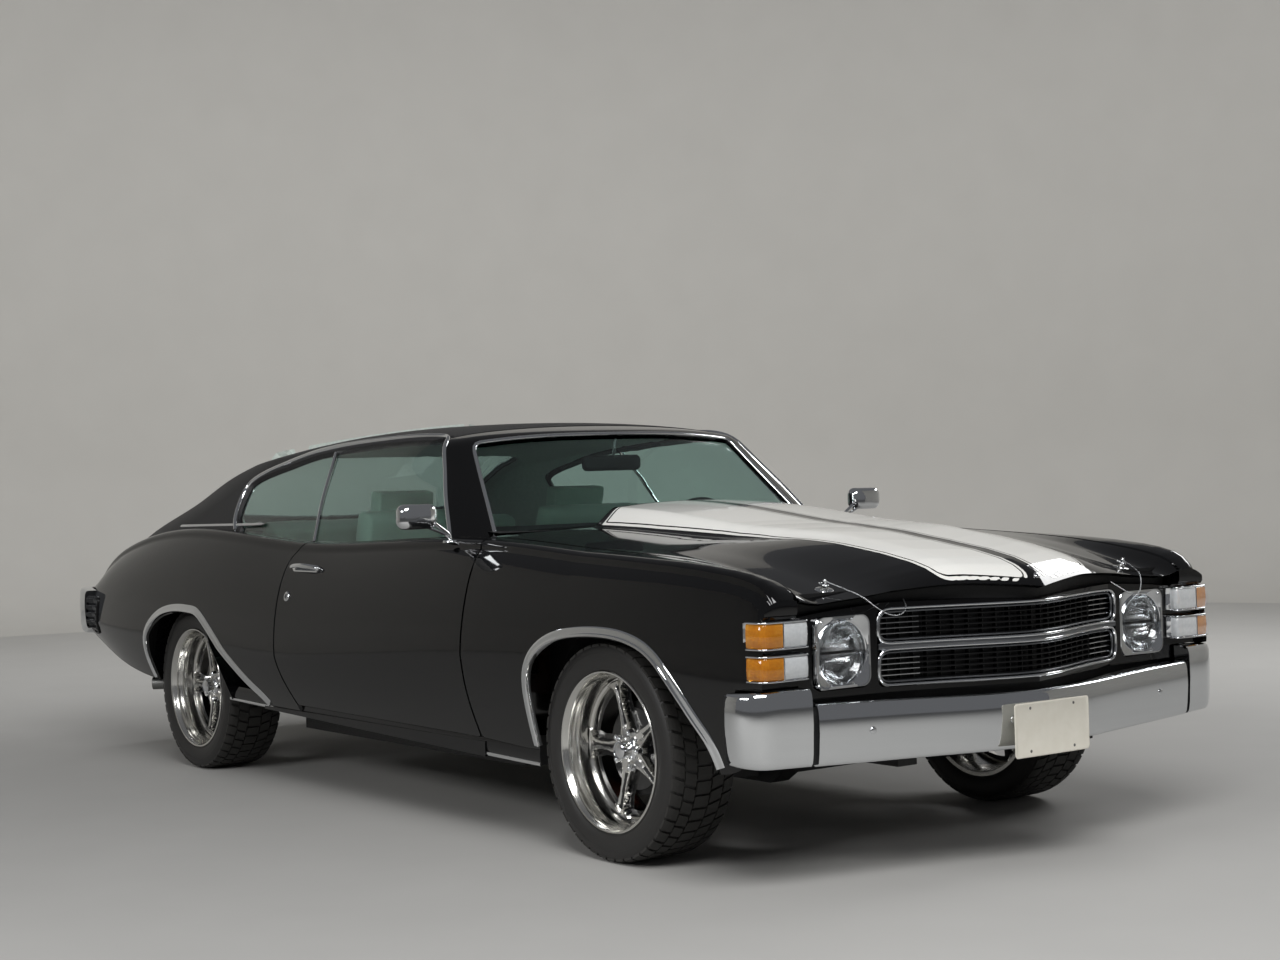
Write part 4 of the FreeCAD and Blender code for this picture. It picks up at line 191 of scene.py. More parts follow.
# %% Paint
black_enamel = material_of("sprayed_black_enamel", "060607", 0.04, 4.0, 0.0025, 0.03, 0.06)
stripe_enamel = material_of("sprayed_white_stripe_enamel", "EEEDE8", 0.08, 4.0, 0.0025, "EBEAE4", "F1F0EC")
satin_black = material_of("satin_black_chassis_enamel", "0D0D0E", 0.55, 6.0, 0.02, 0.45, 0.70)
print("paints:", black_enamel.name, stripe_enamel.name, satin_black.name)

# %% [markdown]
# Bright work is chrome plate over steel: a mirror with a slightly cold tint, a trace of ripple from
# the polished steel beneath. The wheels are machined aluminium, whose fine turning marks
# run round the wheel and spread the highlights, and cast metal painted dark in the spoke windows.

# %% Metals
chrome = material_of("polished_chrome_plate", "DFE1E3", 0.05, 60.0, 0.05, 0.03, 0.09, metallic=1.0)
steel = material_of("bare_rolled_steel", "8A8A88", 0.42, 12.0, 0.05, 0.32, 0.55, metallic=1.0)
iron = material_of("painted_cast_iron", "8C3A1E", 0.5, 5.0, 0.2, "7E3218", "9A4423")
print("metals:", chrome.name, steel.name, iron.name)

# %% [markdown]
# The roof is covered with grained vinyl: a fabric-backed plastic sheet with a fine leather-like
# grain about 1.5 mm across. It is black but not glossy, so its highlight is wide and grey. The
# seats are a smooth vinyl in a pale mint green, with grain near 1 mm and a soft sheen.

# %% Vinyls
roof_vinyl = material_of("black_grained_roof_vinyl", "1C1C1E", 0.52, 5.0, 0.9, "232325", "161618",
        cells=True)
seat_vinyl = material_of("mint_green_seat_vinyl", "B9CDBE", 0.42, 3.0, 0.25, "B3C8B9", "BFD2C4", cells=True,
        Sheen_Weight=0.15)
dash_vinyl = material_of("black_padded_dash_vinyl", "121213", 0.60, 3.0, 0.3, 0.55, 0.72, cells=True)
carpet = material_of("dark_green_loop_carpet", "2A3A32", 0.95, 6.0, 2.0, "35473E", "1F2C26", cells=True,
        Sheen_Weight=0.4)
headliner = material_of("pale_perforated_headliner", "C9D2CB", 0.85, 12.0, 0.4, "B9C3BC", "CFD7D0",
        cells=True)
print("vinyls:", roof_vinyl.name, seat_vinyl.name, carpet.name)

# %% [markdown]
# Window glass of the time is laminated or toughened plate with a light green tint, about 5 mm thick.
# It is drawn as a clear dielectric, so that it mirrors the room and shows the cabin. Lamp lenses
# are thicker clear glass or moulded amber and red plastic, with flutes that break up the light.

# %% Glass and lenses
tinted_glass = material_of("green_tinted_plate_glass", "CFE3DF", 0.0, 400.0, 0.02, IOR=1.45,
        Transmission_Weight=1.0)
lens_glass = material_of("clear_pressed_lens_glass", "EEF2F4", 0.02, 25.0, 0.05, IOR=1.5,
        Transmission_Weight=1.0)
amber_lens = material_of("amber_moulded_acrylic", "D9820F", 0.08, 9.0, 0.3, "C9720A", "E89A22", IOR=1.49,
        Transmission_Weight=0.45, Coat_Weight=0.6)
clear_lens = material_of("clear_moulded_acrylic", "E9ECEE", 0.10, 9.0, 0.3, "D6DADD", "F2F4F5", IOR=1.49,
        Transmission_Weight=0.35, Coat_Weight=0.6)
red_lens = material_of("red_moulded_acrylic", "A3080A", 0.08, 9.0, 0.3, "8C0508", "B81014", IOR=1.49,
        Transmission_Weight=0.3, Coat_Weight=0.6)
print("glasses:", tinted_glass.name, lens_glass.name, amber_lens.name, red_lens.name)

# %% [markdown]
# The rest is rubber and moulded plastic. Tyre rubber is a warm, dusty black, rough on the tread and
# smoother on the sidewall. The grille and the bumper gaps are satin black plastic; on the grille bars the
# dark middle is painted shade.

# %% Rubber and plastics
tyre_rubber = material_of("black_tyre_rubber", "2C2B29", 0.72, 2.5, 0.08, 0.62, 0.82)
sidewall_rubber = material_of("smooth_sidewall_rubber", "242322", 0.50, 3.0, 0.03, 0.44, 0.60)
seal_rubber = material_of("black_seal_rubber", "0B0B0C", 0.80, 3.0, 0.05, 0.7, 0.9)
grille_plastic = material_of("satin_black_moulded_plastic", "0C0C0D", 0.32, 3.0, 0.03, 0.26, 0.40)
wheel_plastic = material_of("black_moulded_rim_plastic", "0E0E0F", 0.30, 2.0, 0.05, 0.25, 0.38)
plate_enamel = material_of("cream_plate_enamel", "E3DFD2", 0.45, 30.0, 0.05, "DDD8CA", "E9E5D9")
print("rubbers and plastics ready")

# %% [markdown]
# The body is one smooth skin that is pressed in pieces. It can be described as cross sections along
# the car: each section runs from the sill out to the crease, in to the shoulder, round a small
# radius and over the deck to the middle. A smooth line through each control point along the car
# gives the whole skin, so any panel can be made from it at any fineness.

# %% Cross sections of the body, in metres
LENGTH, HALF_WIDTH, HEIGHT = 5.016, 0.9575, 1.339
STATIONS = np.array(((0.5060, 0.880, 0.400, 0.915, 0.430, 0.880, 0.500, 0.062),
    (0.4840, 0.895, 0.385, 0.940, 0.428, 0.898, 0.540, 0.048),
    (0.4426, 0.915, 0.260, 0.960, 0.421, 0.905, 0.592, 0.031),
    (0.3868, 0.923, 0.248, 0.972, 0.434, 0.908, 0.643, 0.024),
    (0.2911, 0.927, 0.236, 0.984, 0.445, 0.903, 0.678, 0.022),
    (0.1794, 0.930, 0.226, 0.993, 0.434, 0.897, 0.702, 0.020),
    (0.0498, 0.932, 0.226, 0.998, 0.402, 0.898, 0.694, 0.018),
    (-0.0778, 0.933, 0.228, 1.000, 0.378, 0.900, 0.687, 0.018),
    (-0.1794, 0.932, 0.234, 1.000, 0.385, 0.897, 0.710, 0.022),
    (-0.2990, 0.928, 0.250, 0.994, 0.396, 0.884, 0.716, 0.020),
    (-0.3987, 0.918, 0.295, 0.972, 0.405, 0.868, 0.667, 0.030),
    (-0.4585, 0.904, 0.360, 0.940, 0.420, 0.852, 0.594, 0.058),
    (-0.4960, 0.888, 0.400, 0.915, 0.432, 0.838, 0.508, 0.085),))
SHOULDER_RADIUS = 0.030


def smooth_line(at, values):
    """A natural cubic spline through the values, as a function that works on arrays."""
    at, values = np.asarray(at, float), np.asarray(values, float)
    if at[0] > at[-1]:
        at, values = at[::-1], values[::-1]
    step = np.diff(at)
    matrix = np.eye(len(at))
    right = np.zeros_like(values)
    for i in range(1, len(at) - 1):
        matrix[i, i - 1:i + 2] = step[i - 1], 2 * (step[i - 1] + step[i]), step[i]
        right[i] = 6 * ((values[i + 1] - values[i]) / step[i] - (values[i] - values[i - 1]) / step[i - 1])
    bend = np.linalg.solve(matrix, right.reshape(len(at), -1)).reshape(values.shape)

    def read(x):
        x = np.clip(np.asarray(x, float), at[0], at[-1])
        i = np.clip(np.searchsorted(at, x) - 1, 0, len(at) - 2)
        h, a, b = step[i], (at[i + 1] - x), (x - at[i])
        shape = (Ellipsis,) + (None,) * (values.ndim - 1)
        h, a, b = h[shape], a[shape], b[shape]
        return ((bend[i] * a ** 3 + bend[i + 1] * b ** 3) / (6 * h) + (values[i] / h - bend[i] * h / 6) * a
                + (values[i + 1] / h - bend[i + 1] * h / 6) * b)
    return read


def section_poles(row):
    sill_y, crease_y, shoulder_y = row[1] * HALF_WIDTH, row[3] * HALF_WIDTH, row[5] * HALF_WIDTH
    sill_z, crease_z, shoulder_z = row[2] * HEIGHT, row[4] * HEIGHT, row[6] * HEIGHT
    crown_z = shoulder_z + 2 * row[7] * HEIGHT
    return np.array(((sill_y, sill_z), (crease_y - 0.25 * (crease_y - sill_y), (sill_z + crease_z) / 2),
        (crease_y, crease_z),
        (crease_y - 0.06 * (crease_y - shoulder_y), crease_z + 0.62 * (shoulder_z - crease_z)),
        (shoulder_y, shoulder_z - SHOULDER_RADIUS), (shoulder_y, shoulder_z),
        (shoulder_y - SHOULDER_RADIUS, shoulder_z),
        (0.0, crown_z), (SHOULDER_RADIUS - shoulder_y, shoulder_z)))


plain_poles = smooth_line(STATIONS[:, 0] * LENGTH, np.array([section_poles(row) for row in STATIONS]))
# Heights of the fender crest at the front, where it stands above the hood and rolls over at the nose
FENDER_CREST = np.array(((1.30, 0.913), (1.46, 0.909), (1.64, 0.901), (1.77, 0.895), (1.90, 0.889),
        (2.03, 0.880), (2.15, 0.868), (2.21, 0.859), (2.267, 0.845), (2.300, 0.828), (2.320, 0.809),
        (2.333, 0.789), (2.345, 0.775)))
POLE_LIFT = np.array((0.0, 0.0, 0.0, 0.62, 1.0, 1.0, 1.0, 0.0, 1.0))


def crest_lift(x):
    x = np.asarray(x, float)
    lift = np.interp(x, *FENDER_CREST.T) - plain_poles(x)[..., 5, 1]
    return np.clip(lift, 0, None) * np.clip((x - 1.36) / 0.15, 0, 1)


def body_poles(x):
    """The poles of the section at x, with the fender crest lifted at the front."""
    poles = plain_poles(x)
    poles[..., 1] += crest_lift(x)[..., None] * POLE_LIFT
    return poles


# Extra height of the hood's middle over the plain section, against x
NOSE_RISE = np.array(((1.55, 0.0), (1.65, 0.003), (1.80, 0.015), (1.945, 0.034), (2.10, 0.050),
        (2.255, 0.060), (2.362, 0.060), (2.420, 0.054), (2.455, 0.043), (2.478, 0.030), (2.492, 0.017),
        (2.510, 0.006)))


def ease_step(t):
    t = np.clip(t, 0, 1)
    return t * t * (3 - 2 * t)


def hood_level(x, y):
    """Height of the top: the plain crown, the lifted fender crests and the raised nose of the hood."""
    x, off = np.asarray(x, float), np.abs(y)
    poles = plain_poles(x)
    flat = poles[..., 5, 0] - SHOULDER_RADIUS
    t = 0.5 * (1 - off / flat)
    z = poles[..., 5, 1] * ((1 - t) ** 2 + t ** 2) + poles[..., 7, 1] * 2 * t * (1 - t)
    middle = np.interp(x + (2.4865 - nose_reach(off)), *NOSE_RISE.T) * (1 - ease_step((off - 0.20) / 0.40))
    edge = crest_lift(x) * ease_step((off - 0.690) / (flat - 0.690))
    return z + middle + edge


def nose_reach(off):
    return np.interp(off, (0.0, 0.24, 0.46, 0.67, 1.05), (2.4865, 2.4177, 2.352, 2.335, 2.327))


def skin_point(x, v):
    """A point of the left half. v is 0 to 1 up to the crease, to 2 shoulder, to 3 round it, to 4 middle."""
    x, v = np.asarray(x, float), np.asarray(v, float)
    poles = body_poles(x)
    part = np.clip(v.astype(int), 0, 3)
    t = np.where(part == 3, (v - 3) / 2, v - part)[..., None]
    first = (2 * part)[..., None, None]
    p = [np.take_along_axis(poles, np.broadcast_to(first + k, poles.shape[:-2] + (1, 2)), -2)[..., 0, :]
         for k in range(3)]
    yz = (1 - t) ** 2 * p[0] + 2 * t * (1 - t) * p[1] + t ** 2 * p[2]
    height = np.where((v >= 3) & (x > 1.3), hood_level(x, yz[..., 0]), yz[..., 1])
    return np.stack((x, yz[..., 0], height), -1)


print("deck height at the cowl:", round(float(skin_point(0.9, 4.0)[2]), 4))

# %% [markdown]
# A panel is the part of the skin inside an outline. The skin is laid out as a fine grid, and each
# small square is clipped where the outline passes, in the way a contour is drawn on a map: the
# outline is a function that is positive inside, and new corners go where it crosses zero. The
# clipped edge is then folded inward, as the hem of a pressed panel is.

# %% Panel maker
def inside_polygon(points, corner=0.0):
    """A function of two coordinates: the distance to the outline, positive inside."""
    start = np.asarray(points, float)
    run = np.roll(start, -1, 0) - start

    def distance(a, b):
        p = np.stack((a, b), -1)[..., None, :]
        t = np.clip(((p - start) * run).sum(-1) / (run ** 2).sum(-1), 0, 1)
        away = np.sqrt((((p - start) - t[..., None] * run) ** 2).sum(-1)).min(-1)
        y0, y1 = start[:, 1], start[:, 1] + run[:, 1]
        crosses = ((y0 > p[..., 1]) != (y1 > p[..., 1]))
        with np.errstate(divide="ignore", invalid="ignore"):
            reach = start[:, 0] + run[:, 0] * (p[..., 1] - y0) / run[:, 1]
        inside = (crosses & (p[..., 0] < reach)).sum(-1) % 2 == 1
        return np.where(inside, away, -away) + corner
    return distance


def clipped_grid(surface, u_values, v_values, keep):
    """Vertices and faces of surface(u, v) over a grid, clipped where keep(points) crosses zero."""
    u, v = np.meshgrid(u_values, v_values, indexing="ij")
    points = surface(u, v)
    signed = keep(points)
    signed = np.where(np.abs(signed) < 1e-6, 1e-6, signed)
    verts, faces, made = [], [], {}

    def grid_vertex(i, j):
        key = (i, j)
        if key not in made:
            made[key] = len(verts)
            verts.append(points[i, j])
        return made[key]

    cuts, spots = [], []

    def cut_vertex(a, b):
        key = (min(a, b), max(a, b))
        if key not in made:
            made[key] = len(verts)
            s0, s1 = signed[key[0]], signed[key[1]]
            t = s0 / (s0 - s1)
            spots.append(len(verts))
            cuts.append(((1 - t) * u[key[0]] + t * u[key[1]], (1 - t) * v[key[0]] + t * v[key[1]]))
            verts.append(None)
        return made[key]

    inside = signed > 0
    some = inside[:-1, :-1] | inside[1:, :-1] | inside[1:, 1:] | inside[:-1, 1:]
    for i, j in zip(*np.nonzero(some)):
        ring = ((i, j), (i + 1, j), (i + 1, j + 1), (i, j + 1))
        face = []
        for a, b in zip(ring, ring[1:] + ring[:1]):
            if inside[a]:
                face.append(grid_vertex(*a))
            if inside[a] != inside[b]:
                face.append(cut_vertex(a, b))
        if len(face) > 2:
            faces.append(face)
    if cuts:
        cut_u, cut_v = np.array(cuts).T
        for spot, point in zip(spots, surface(cut_u, cut_v)):
            verts[spot] = point
    return np.array(verts), faces


def body_piece(name, material, body, verts, faces, smooth=True):
    """A mesh object that rides on a body of the frame."""
    mesh = bpy.data.meshes.new(name)
    mesh.from_pydata([tuple(v) for v in verts], [], [tuple(int(i) for i in f) for f in faces])
    piece = bpy.data.objects.new(name, mesh)
    bpy.context.scene.collection.objects.link(piece)
    for one in (material if isinstance(material, (list, tuple)) else [material]):
        mesh.materials.append(one)
    mesh.validate()
    if smooth:
        mesh.shade_smooth()
    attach(piece, body)
    return piece


def folded_panel(name, material, body, surface, u_values, v_values, keep, hem=0.014, radius=0.0022,
        flip=False, mirror=False, hem_direction=None):
    """A clipped sheet with its free edge rolled over and folded inward."""
    verts, faces = clipped_grid(surface, u_values, v_values, keep)
    if mirror:
        verts = verts * (1, -1, 1)
    if flip != mirror:
        faces = [f[::-1] for f in faces]
    bm = bmesh.new()
    rows = [bm.verts.new(v) for v in verts]
    for f in faces:
        try:
            bm.faces.new([rows[int(i)] for i in f])
        except ValueError:
            pass
    bmesh.ops.remove_doubles(bm, verts=bm.verts, dist=0.0004)
    bmesh.ops.dissolve_degenerate(bm, edges=bm.edges, dist=0.0002)
    loose = [v for v in bm.verts if not v.link_faces]
    bmesh.ops.delete(bm, geom=loose, context="VERTS")
    bm.normal_update()
    if hem > 0:
        for inward, down in ((-radius * 0.3, -radius * 0.3), (-radius * 0.7, -radius), (0.0, -hem)):
            edges = [e for e in bm.edges if e.is_boundary]
            if inward:
                normals = {v: v.normal.copy() for e in edges for v in e.verts}
            grown = bmesh.ops.extrude_edge_only(bm, edges=edges)["geom"]
            fresh = [g for g in grown if isinstance(g, bmesh.types.BMVert)]
            for v in fresh:
                old = min((w for e in v.link_edges for w in e.verts if w is not v),
                        key=lambda w: (w.co - v.co).length)
                n = normals.get(old, Vector((0, 0, 1))) if hem_direction is None else -Vector(hem_direction)
                normals[v] = n
                v.co = v.co + n * down
    mesh = bpy.data.meshes.new(name)
    bm.to_mesh(mesh)
    bm.free()
    piece = bpy.data.objects.new(name, mesh)
    bpy.context.scene.collection.objects.link(piece)
    mesh.materials.append(material)
    mesh.shade_smooth()
    mesh.set_sharp_from_angle(angle=math.radians(50))
    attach(piece, body)
    return piece


print("panel maker ready")

# %% [markdown]
# The outlines of the panels are read in side view as shares of the car's length and height, in the
# same way as in the CAD source. The wheel arches are the only curved ones: they are smoothed by
# a curve that passes through each of their points.

# %% Panel outlines
GAP = 0.007
DOOR_FRONT = ((0.1752, 0.760), (0.1768, 0.650), (0.1782, 0.560), (0.1770, 0.440), (0.1776, 0.340),
        (0.1822, 0.236))
DOOR_REAR = ((-0.0640, 0.245), (-0.0762, 0.340), (-0.0799, 0.430), (-0.0790, 0.610), (-0.0735, 0.660),
        (-0.0640, 0.690), (-0.0600, 0.760))
NOSE = ((0.4964, 0.0), (0.4820, 0.25), (0.4690, 0.48), (0.4655, 0.70), (0.4640, 1.10))
TAIL = ((-0.4850, 0.0), (-0.4820, 0.45), (-0.4760, 0.75), (-0.4660, 0.92), (-0.4580, 1.10))
TYRE_RADIUS = 0.325
FRONT_AXLE, REAR_AXLE = 1.571, -1.274
FRONT_ARCH = ((-1.02, -0.60), (-1.010, 0.00), (-1.006, 0.43), (-0.985, 0.62), (-0.86, 0.81), (-0.68, 0.93),
        (-0.43, 1.01), (-0.11, 1.05), (0.20, 1.06), (0.50, 1.04), (0.79, 0.97), (1.00, 0.852),
        (1.135, 0.723), (1.40, 0.42), (1.628, 0.098), (1.70, -0.60))
REAR_ARCH = ((-1.02, -0.60), (-1.04, 0.10), (-1.03, 0.44), (-0.88, 0.70), (-0.56, 0.87), (-0.25, 0.94),
        (0.05, 0.965), (0.35, 0.96), (0.62, 0.93), (1.03, 0.70), (1.42, 0.44), (1.81, 0.18),
        (2.20, -0.09), (2.30, -0.60))
HOOD_REAR = ((0.1735, 0.0), (0.1715, 0.35), (0.1655, 0.62), (0.1590, 0.812))


def side(shares):
    return [(x * LENGTH, z * HEIGHT) for x, z in shares]


def plan(shares):
    return [(x * LENGTH, y * HALF_WIDTH) for x, y in shares]


def moved(points, dx, dz=0.0):
    return [(x + dx, z + dz) for x, z in points]


def eased(points, steps=10):
    """A smooth line through every point."""
    p = np.asarray(points, float)
    ends = np.vstack((2 * p[0] - p[1], p, 2 * p[-1] - p[-2]))
    out = []
    for a, b, c, d in zip(ends, ends[1:], ends[2:], ends[3:]):
        for t in np.linspace(0, 1, steps, endpoint=False):
            out.append(0.5 * (2 * b + (c - a) * t + (2 * a - 5 * b + 4 * c - d) * t ** 2
                    + (3 * b - a - 3 * c + d) * t ** 3))
    out.append(p[-1])
    return [tuple(q) for q in out]


def arch(axle, shares):
    return eased([(axle + x * TYRE_RADIUS, TYRE_RADIUS + z * TYRE_RADIUS) for x, z in shares], 6)


front_arch, rear_arch = arch(FRONT_AXLE, FRONT_ARCH), arch(REAR_AXLE, REAR_ARCH)


def nose_x(y):
    y = np.abs(y)
    return np.interp(y, [s[1] * HALF_WIDTH for s in NOSE], [s[0] * LENGTH for s in NOSE])


def tail_x(y):
    y = np.abs(y)
    return np.interp(y, [s[1] * HALF_WIDTH for s in TAIL], [s[0] * LENGTH for s in TAIL])


print("front arch points:", len(front_arch), "rear arch points:", len(rear_arch))

# %% [markdown]
# The front fenders, doors and rear quarters are the sides of the car. Each is the skin inside its
# own outline: the gap between two panels is a 7 mm band that belongs to neither. The fender stops
# at the hood's edge above and opens round the wheel, and its front end carries the turn lamps.

# %% Fenders, doors and quarters
HOOD_HALF = 0.812 * HALF_WIDTH
TRUNK_HALF = 0.722 * HALF_WIDTH
TRUNK_FRONT = -0.3660 * LENGTH
door_front, door_rear = eased(side(DOOR_FRONT), 4), eased(side(DOOR_REAR), 4)
fender_side = inside_polygon(moved(door_front, GAP) + [(0.4373 * LENGTH, 0.250), (0.4373 * LENGTH, 0.335),
        (0.4434 * LENGTH, 0.5557), (2.6, 0.5557), (2.6, 1.2), (door_front[0][0] + GAP, 1.2)])
front_wheel = inside_polygon(front_arch)
rear_wheel = inside_polygon(rear_arch)
door_side = inside_polygon(door_front + door_rear)
quarter_side = inside_polygon(moved(door_rear, -GAP) + [(door_rear[-1][0] - GAP, 1.2), (-2.6, 1.2),
        (-2.6, 0.2), (door_rear[0][0] - GAP, 0.2)])
TURN_LOW = ((0.433, 0.481), (0.497, 0.547))
TURN_INNER = 0.792 * HALF_WIDTH
TURN_BACK = NOSE[3][0] * LENGTH - 0.062


def turn_openings(p):
    """Positive outside both turn lamp openings of the fender."""
    out = np.full(p.shape[:-1], 9.0)
    for low, high in TURN_LOW:
        depth = np.minimum(p[..., 0] - TURN_BACK,
                np.minimum(p[..., 2] - low * HEIGHT, high * HEIGHT - p[..., 2]))
        out = np.minimum(out, -np.minimum(depth, np.abs(p[..., 1]) - TURN_INNER))
    return out


def keep_fender(p):
    return np.minimum.reduce((fender_side(p[..., 0], p[..., 2]), -front_wheel(p[..., 0], p[..., 2]),
            p[..., 1] - HOOD_HALF - GAP, nose_x(p[..., 1]) - p[..., 0], turn_openings(p)))


def keep_door(p):
    return np.minimum(door_side(p[..., 0], p[..., 2]), p[..., 1] - 0.790)


BELT_PLAN = plan(((0.172, 0.0), (0.160, 0.40), (0.142, 0.760), (0.1100, 0.835), (-0.10, 0.845),
        (-0.295, 0.830), (-0.385, 0.762), (-0.372, 0.40), (-0.365, 0.0)))
under_roof = inside_polygon(BELT_PLAN + [(x, -y) for x, y in BELT_PLAN[-2:0:-1]])


def keep_quarter(p):
    trunk = np.maximum(p[..., 1] - TRUNK_HALF - GAP, p[..., 0] - TRUNK_FRONT - GAP)
    return np.minimum.reduce((quarter_side(p[..., 0], p[..., 2]), -rear_wheel(p[..., 0], p[..., 2]),
            trunk, p[..., 0] - tail_x(p[..., 1]), -under_roof(p[..., 0], p[..., 1])))


section_steps = np.concatenate((np.linspace(0, 1, 26), np.linspace(1, 2, 30)[1:], np.linspace(2, 3, 10)[1:],
        np.linspace(3, 3.5, 12)[1:]))
panels = []
for name, low, high, keep in (("fender", 0.86, 2.40, keep_fender), ("door", -0.42, 0.93, keep_door),
        ("quarter", -2.46, -0.28, keep_quarter)):
    for hand, flip in (("left", False), ("right", True)):
        body = "door_" + hand if name == "door" else "chassis"
        panel = folded_panel(f"{name}_skin_{hand}", black_enamel, body, skin_point,
                np.arange(low, high, 0.010), section_steps, keep, mirror=flip)
        panels.append(panel)
        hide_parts(f"{name}_{hand}")
for hand, sign in HANDS:
    brow_y = np.linspace(HOOD_HALF + GAP, 0.898, 24)
    brow_x = nose_x(brow_y)
    rolled = np.array([hood_level(x, y) if y < 0.830 else skin_point(x, 3.0 - (y - 0.830) / 0.075)[2]
            for x, y in zip(brow_x, brow_y)])
    verts = [(x + bulge, sign * y, foot + (top - foot) * share) for x, y, top in zip(brow_x, brow_y, rolled)
            for foot in (0.742,) for share,
            bulge in ((0.0, -0.006), (0.35, 0.001), (0.7, 0.001), (1.0, 0.0))]
    faces = [(i * 4 + k, i * 4 + k + 1, i * 4 + k + 5,
            i * 4 + k + 4) for i in range(len(brow_y) - 1) for k in range(3)]
    brow = body_piece(f"fender_brow_{hand}", black_enamel, "chassis", verts, faces)
    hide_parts(f"fender_{hand}")
print("side panels:", [(p.name, len(p.data.polygons)) for p in panels])

# %% [markdown]
# The hood carries a raised bulge that rises from nothing at the front to 62 mm at the windshield,
# where a slot under its rear edge would feed air to the engine. Its top is flat and its sides slope.
# The bulge is added to the height of the skin, so hood and bulge stay one smooth sheet.

# %% Hood, cowl, trunk lid and rear deck
BULGE = np.array(((0.1760, 0.315, 0.420, 1.00), (0.2200, 0.312, 0.415, 0.93), (0.2900, 0.300, 0.395, 0.66),
        (0.3600, 0.270, 0.350, 0.28), (0.4050, 0.240, 0.300, 0.02), (0.4200, 0.235, 0.290, 0.0)))
bulge_row = smooth_line(BULGE[:, 0] * LENGTH, BULGE[:, 1:])


def bulge_height(x, y):
    top, foot, rise = np.moveaxis(bulge_row(x), -1, 0)
    t = np.clip((foot * HALF_WIDTH - np.abs(y)) / ((foot - top) * HALF_WIDTH), 0, 1)
    crown = 0.010 * np.clip(1 - (np.abs(y) / (top * HALF_WIDTH)) ** 2, 0, 1)
    return np.clip(rise, 0, 1) * (0.062 * t * t * (3 - 2 * t) + crown)


def hood_point(x, v):
    p = skin_point(x, v)
    p[..., 2] += bulge_height(p[..., 0], p[..., 1])
    return p


def keep_hood(p):
    rear = np.interp(np.abs(p[..., 1]), [y * HALF_WIDTH for _, y in HOOD_REAR],
            [x * LENGTH for x, _ in HOOD_REAR])
    return np.minimum.reduce((p[..., 0] - rear, HOOD_HALF - np.abs(p[..., 1]),
            nose_x(p[..., 1]) - p[..., 0]))


across_steps = np.concatenate((np.linspace(3.0, 3.06, 4), np.linspace(3.06, 4.94, 210)[1:],
        np.linspace(4.94, 5, 4)[1:]))
hood = folded_panel("hood_skin", black_enamel, "hood", hood_point, np.arange(0.78, 2.52, 0.010),
        across_steps, keep_hood, hem=0.020)
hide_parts("hood")


def keep_trunk(p):
    return np.minimum.reduce((TRUNK_FRONT - p[..., 0], TRUNK_HALF - np.abs(p[..., 1]),
            p[..., 0] - tail_x(p[..., 1])))


trunk = folded_panel("trunk_skin", black_enamel, "trunk_lid", skin_point, np.arange(-2.46, -1.80, 0.010),
        across_steps[::2], keep_trunk, hem=0.020)
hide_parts("trunk_lid")


def keep_deck(p):
    return np.minimum.reduce((p[..., 0] - TRUNK_FRONT - GAP, TRUNK_HALF + GAP - np.abs(p[..., 1]),
            -1.40 - p[..., 0]))


deck = folded_panel("rear_deck_skin", black_enamel, "chassis", skin_point, np.arange(-1.84, -1.38, 0.010),
        across_steps[::2], keep_deck, hem=0.0)


def keep_cowl(p):
    rear = np.interp(np.abs(p[..., 1]), [y * HALF_WIDTH for _, y in HOOD_REAR],
            [x * LENGTH for x, _ in HOOD_REAR])
    return np.minimum.reduce((rear - 0.011 - p[..., 0], 0.785 - np.abs(p[..., 1]), p[..., 0] - 0.60,
            -under_roof(p[..., 0], p[..., 1])))


def cowl_point(x, v):
    p = skin_point(x, v)
    p[..., 2] -= 0.006
    return p


cowl = folded_panel("cowl_panel", black_enamel, "chassis", cowl_point, np.arange(0.58, 0.94, 0.010),
        across_steps[::2], keep_cowl, hem=0.0)
print("top panels:", len(hood.data.polygons), len(trunk.data.polygons), len(deck.data.polygons))

# %% [markdown]
# The glasshouse is the roof with its pillars and glass. Seen from above it is a rounded outline that
# shrinks with height, and the roof's crown closes it. Every direction round the car gets one
# profile: up the side to where it meets the crown, over a rounded edge, and in to the spine of the
# roof. The profiles together make one smooth sheet, and the windows are cut out of it.

# %% Roof surface
LEVELS = np.array(((0.657, 0.1795, 0.1495, 0.778, 0.1236, 0.888, -0.3190, 0.882, -0.4087, 0.809, -0.3890),
    (0.717, 0.1635, 0.1338, 0.749, 0.1077, 0.848, -0.2891, 0.844, -0.3748, 0.775, -0.3440),
    (0.792, 0.1425, 0.1142, 0.712, 0.0917, 0.802, -0.2492, 0.792, -0.3190, 0.723, -0.2950),
    (0.881, 0.1176, 0.0907, 0.668, 0.0738, 0.731, -0.1954, 0.725, -0.2562, 0.679, -0.2392),
    (0.952, 0.0953, 0.0720, 0.633, 0.0598, 0.675, -0.1515, 0.674, -0.1804, 0.633, -0.1964),
    (1.060, 0.0510, 0.0340, 0.578, 0.0260, 0.592, -0.0890, 0.590, -0.1080, 0.578, -0.1330)))
CROWN = np.array(((0.2200, 0.800, 0.840), (0.0877, 0.922, 0.969), (0.0399, 0.942, 0.992),
        (-0.0200, 0.943, 1.000), (-0.0897, 0.935, 0.997), (-0.1595, 0.920, 0.974), (-0.2093, 0.905, 0.946),
        (-0.3000, 0.870, 0.890), (-0.4500, 0.810, 0.820)))
CROWN_EDGE, CROWN_FLAT, SIDE_BOW = 0.721 * HALF_WIDTH, 0.585 * HALF_WIDTH, 0.018
level_row = smooth_line(LEVELS[:, 0] * HEIGHT, LEVELS[:, 1:])
crown_row = smooth_line(CROWN[:, 0] * LENGTH, CROWN[:, 1:] * HEIGHT)
PARTS = (26, 14, 70, 20, 26)
crown_t = np.linspace(0, 0.5, 120)
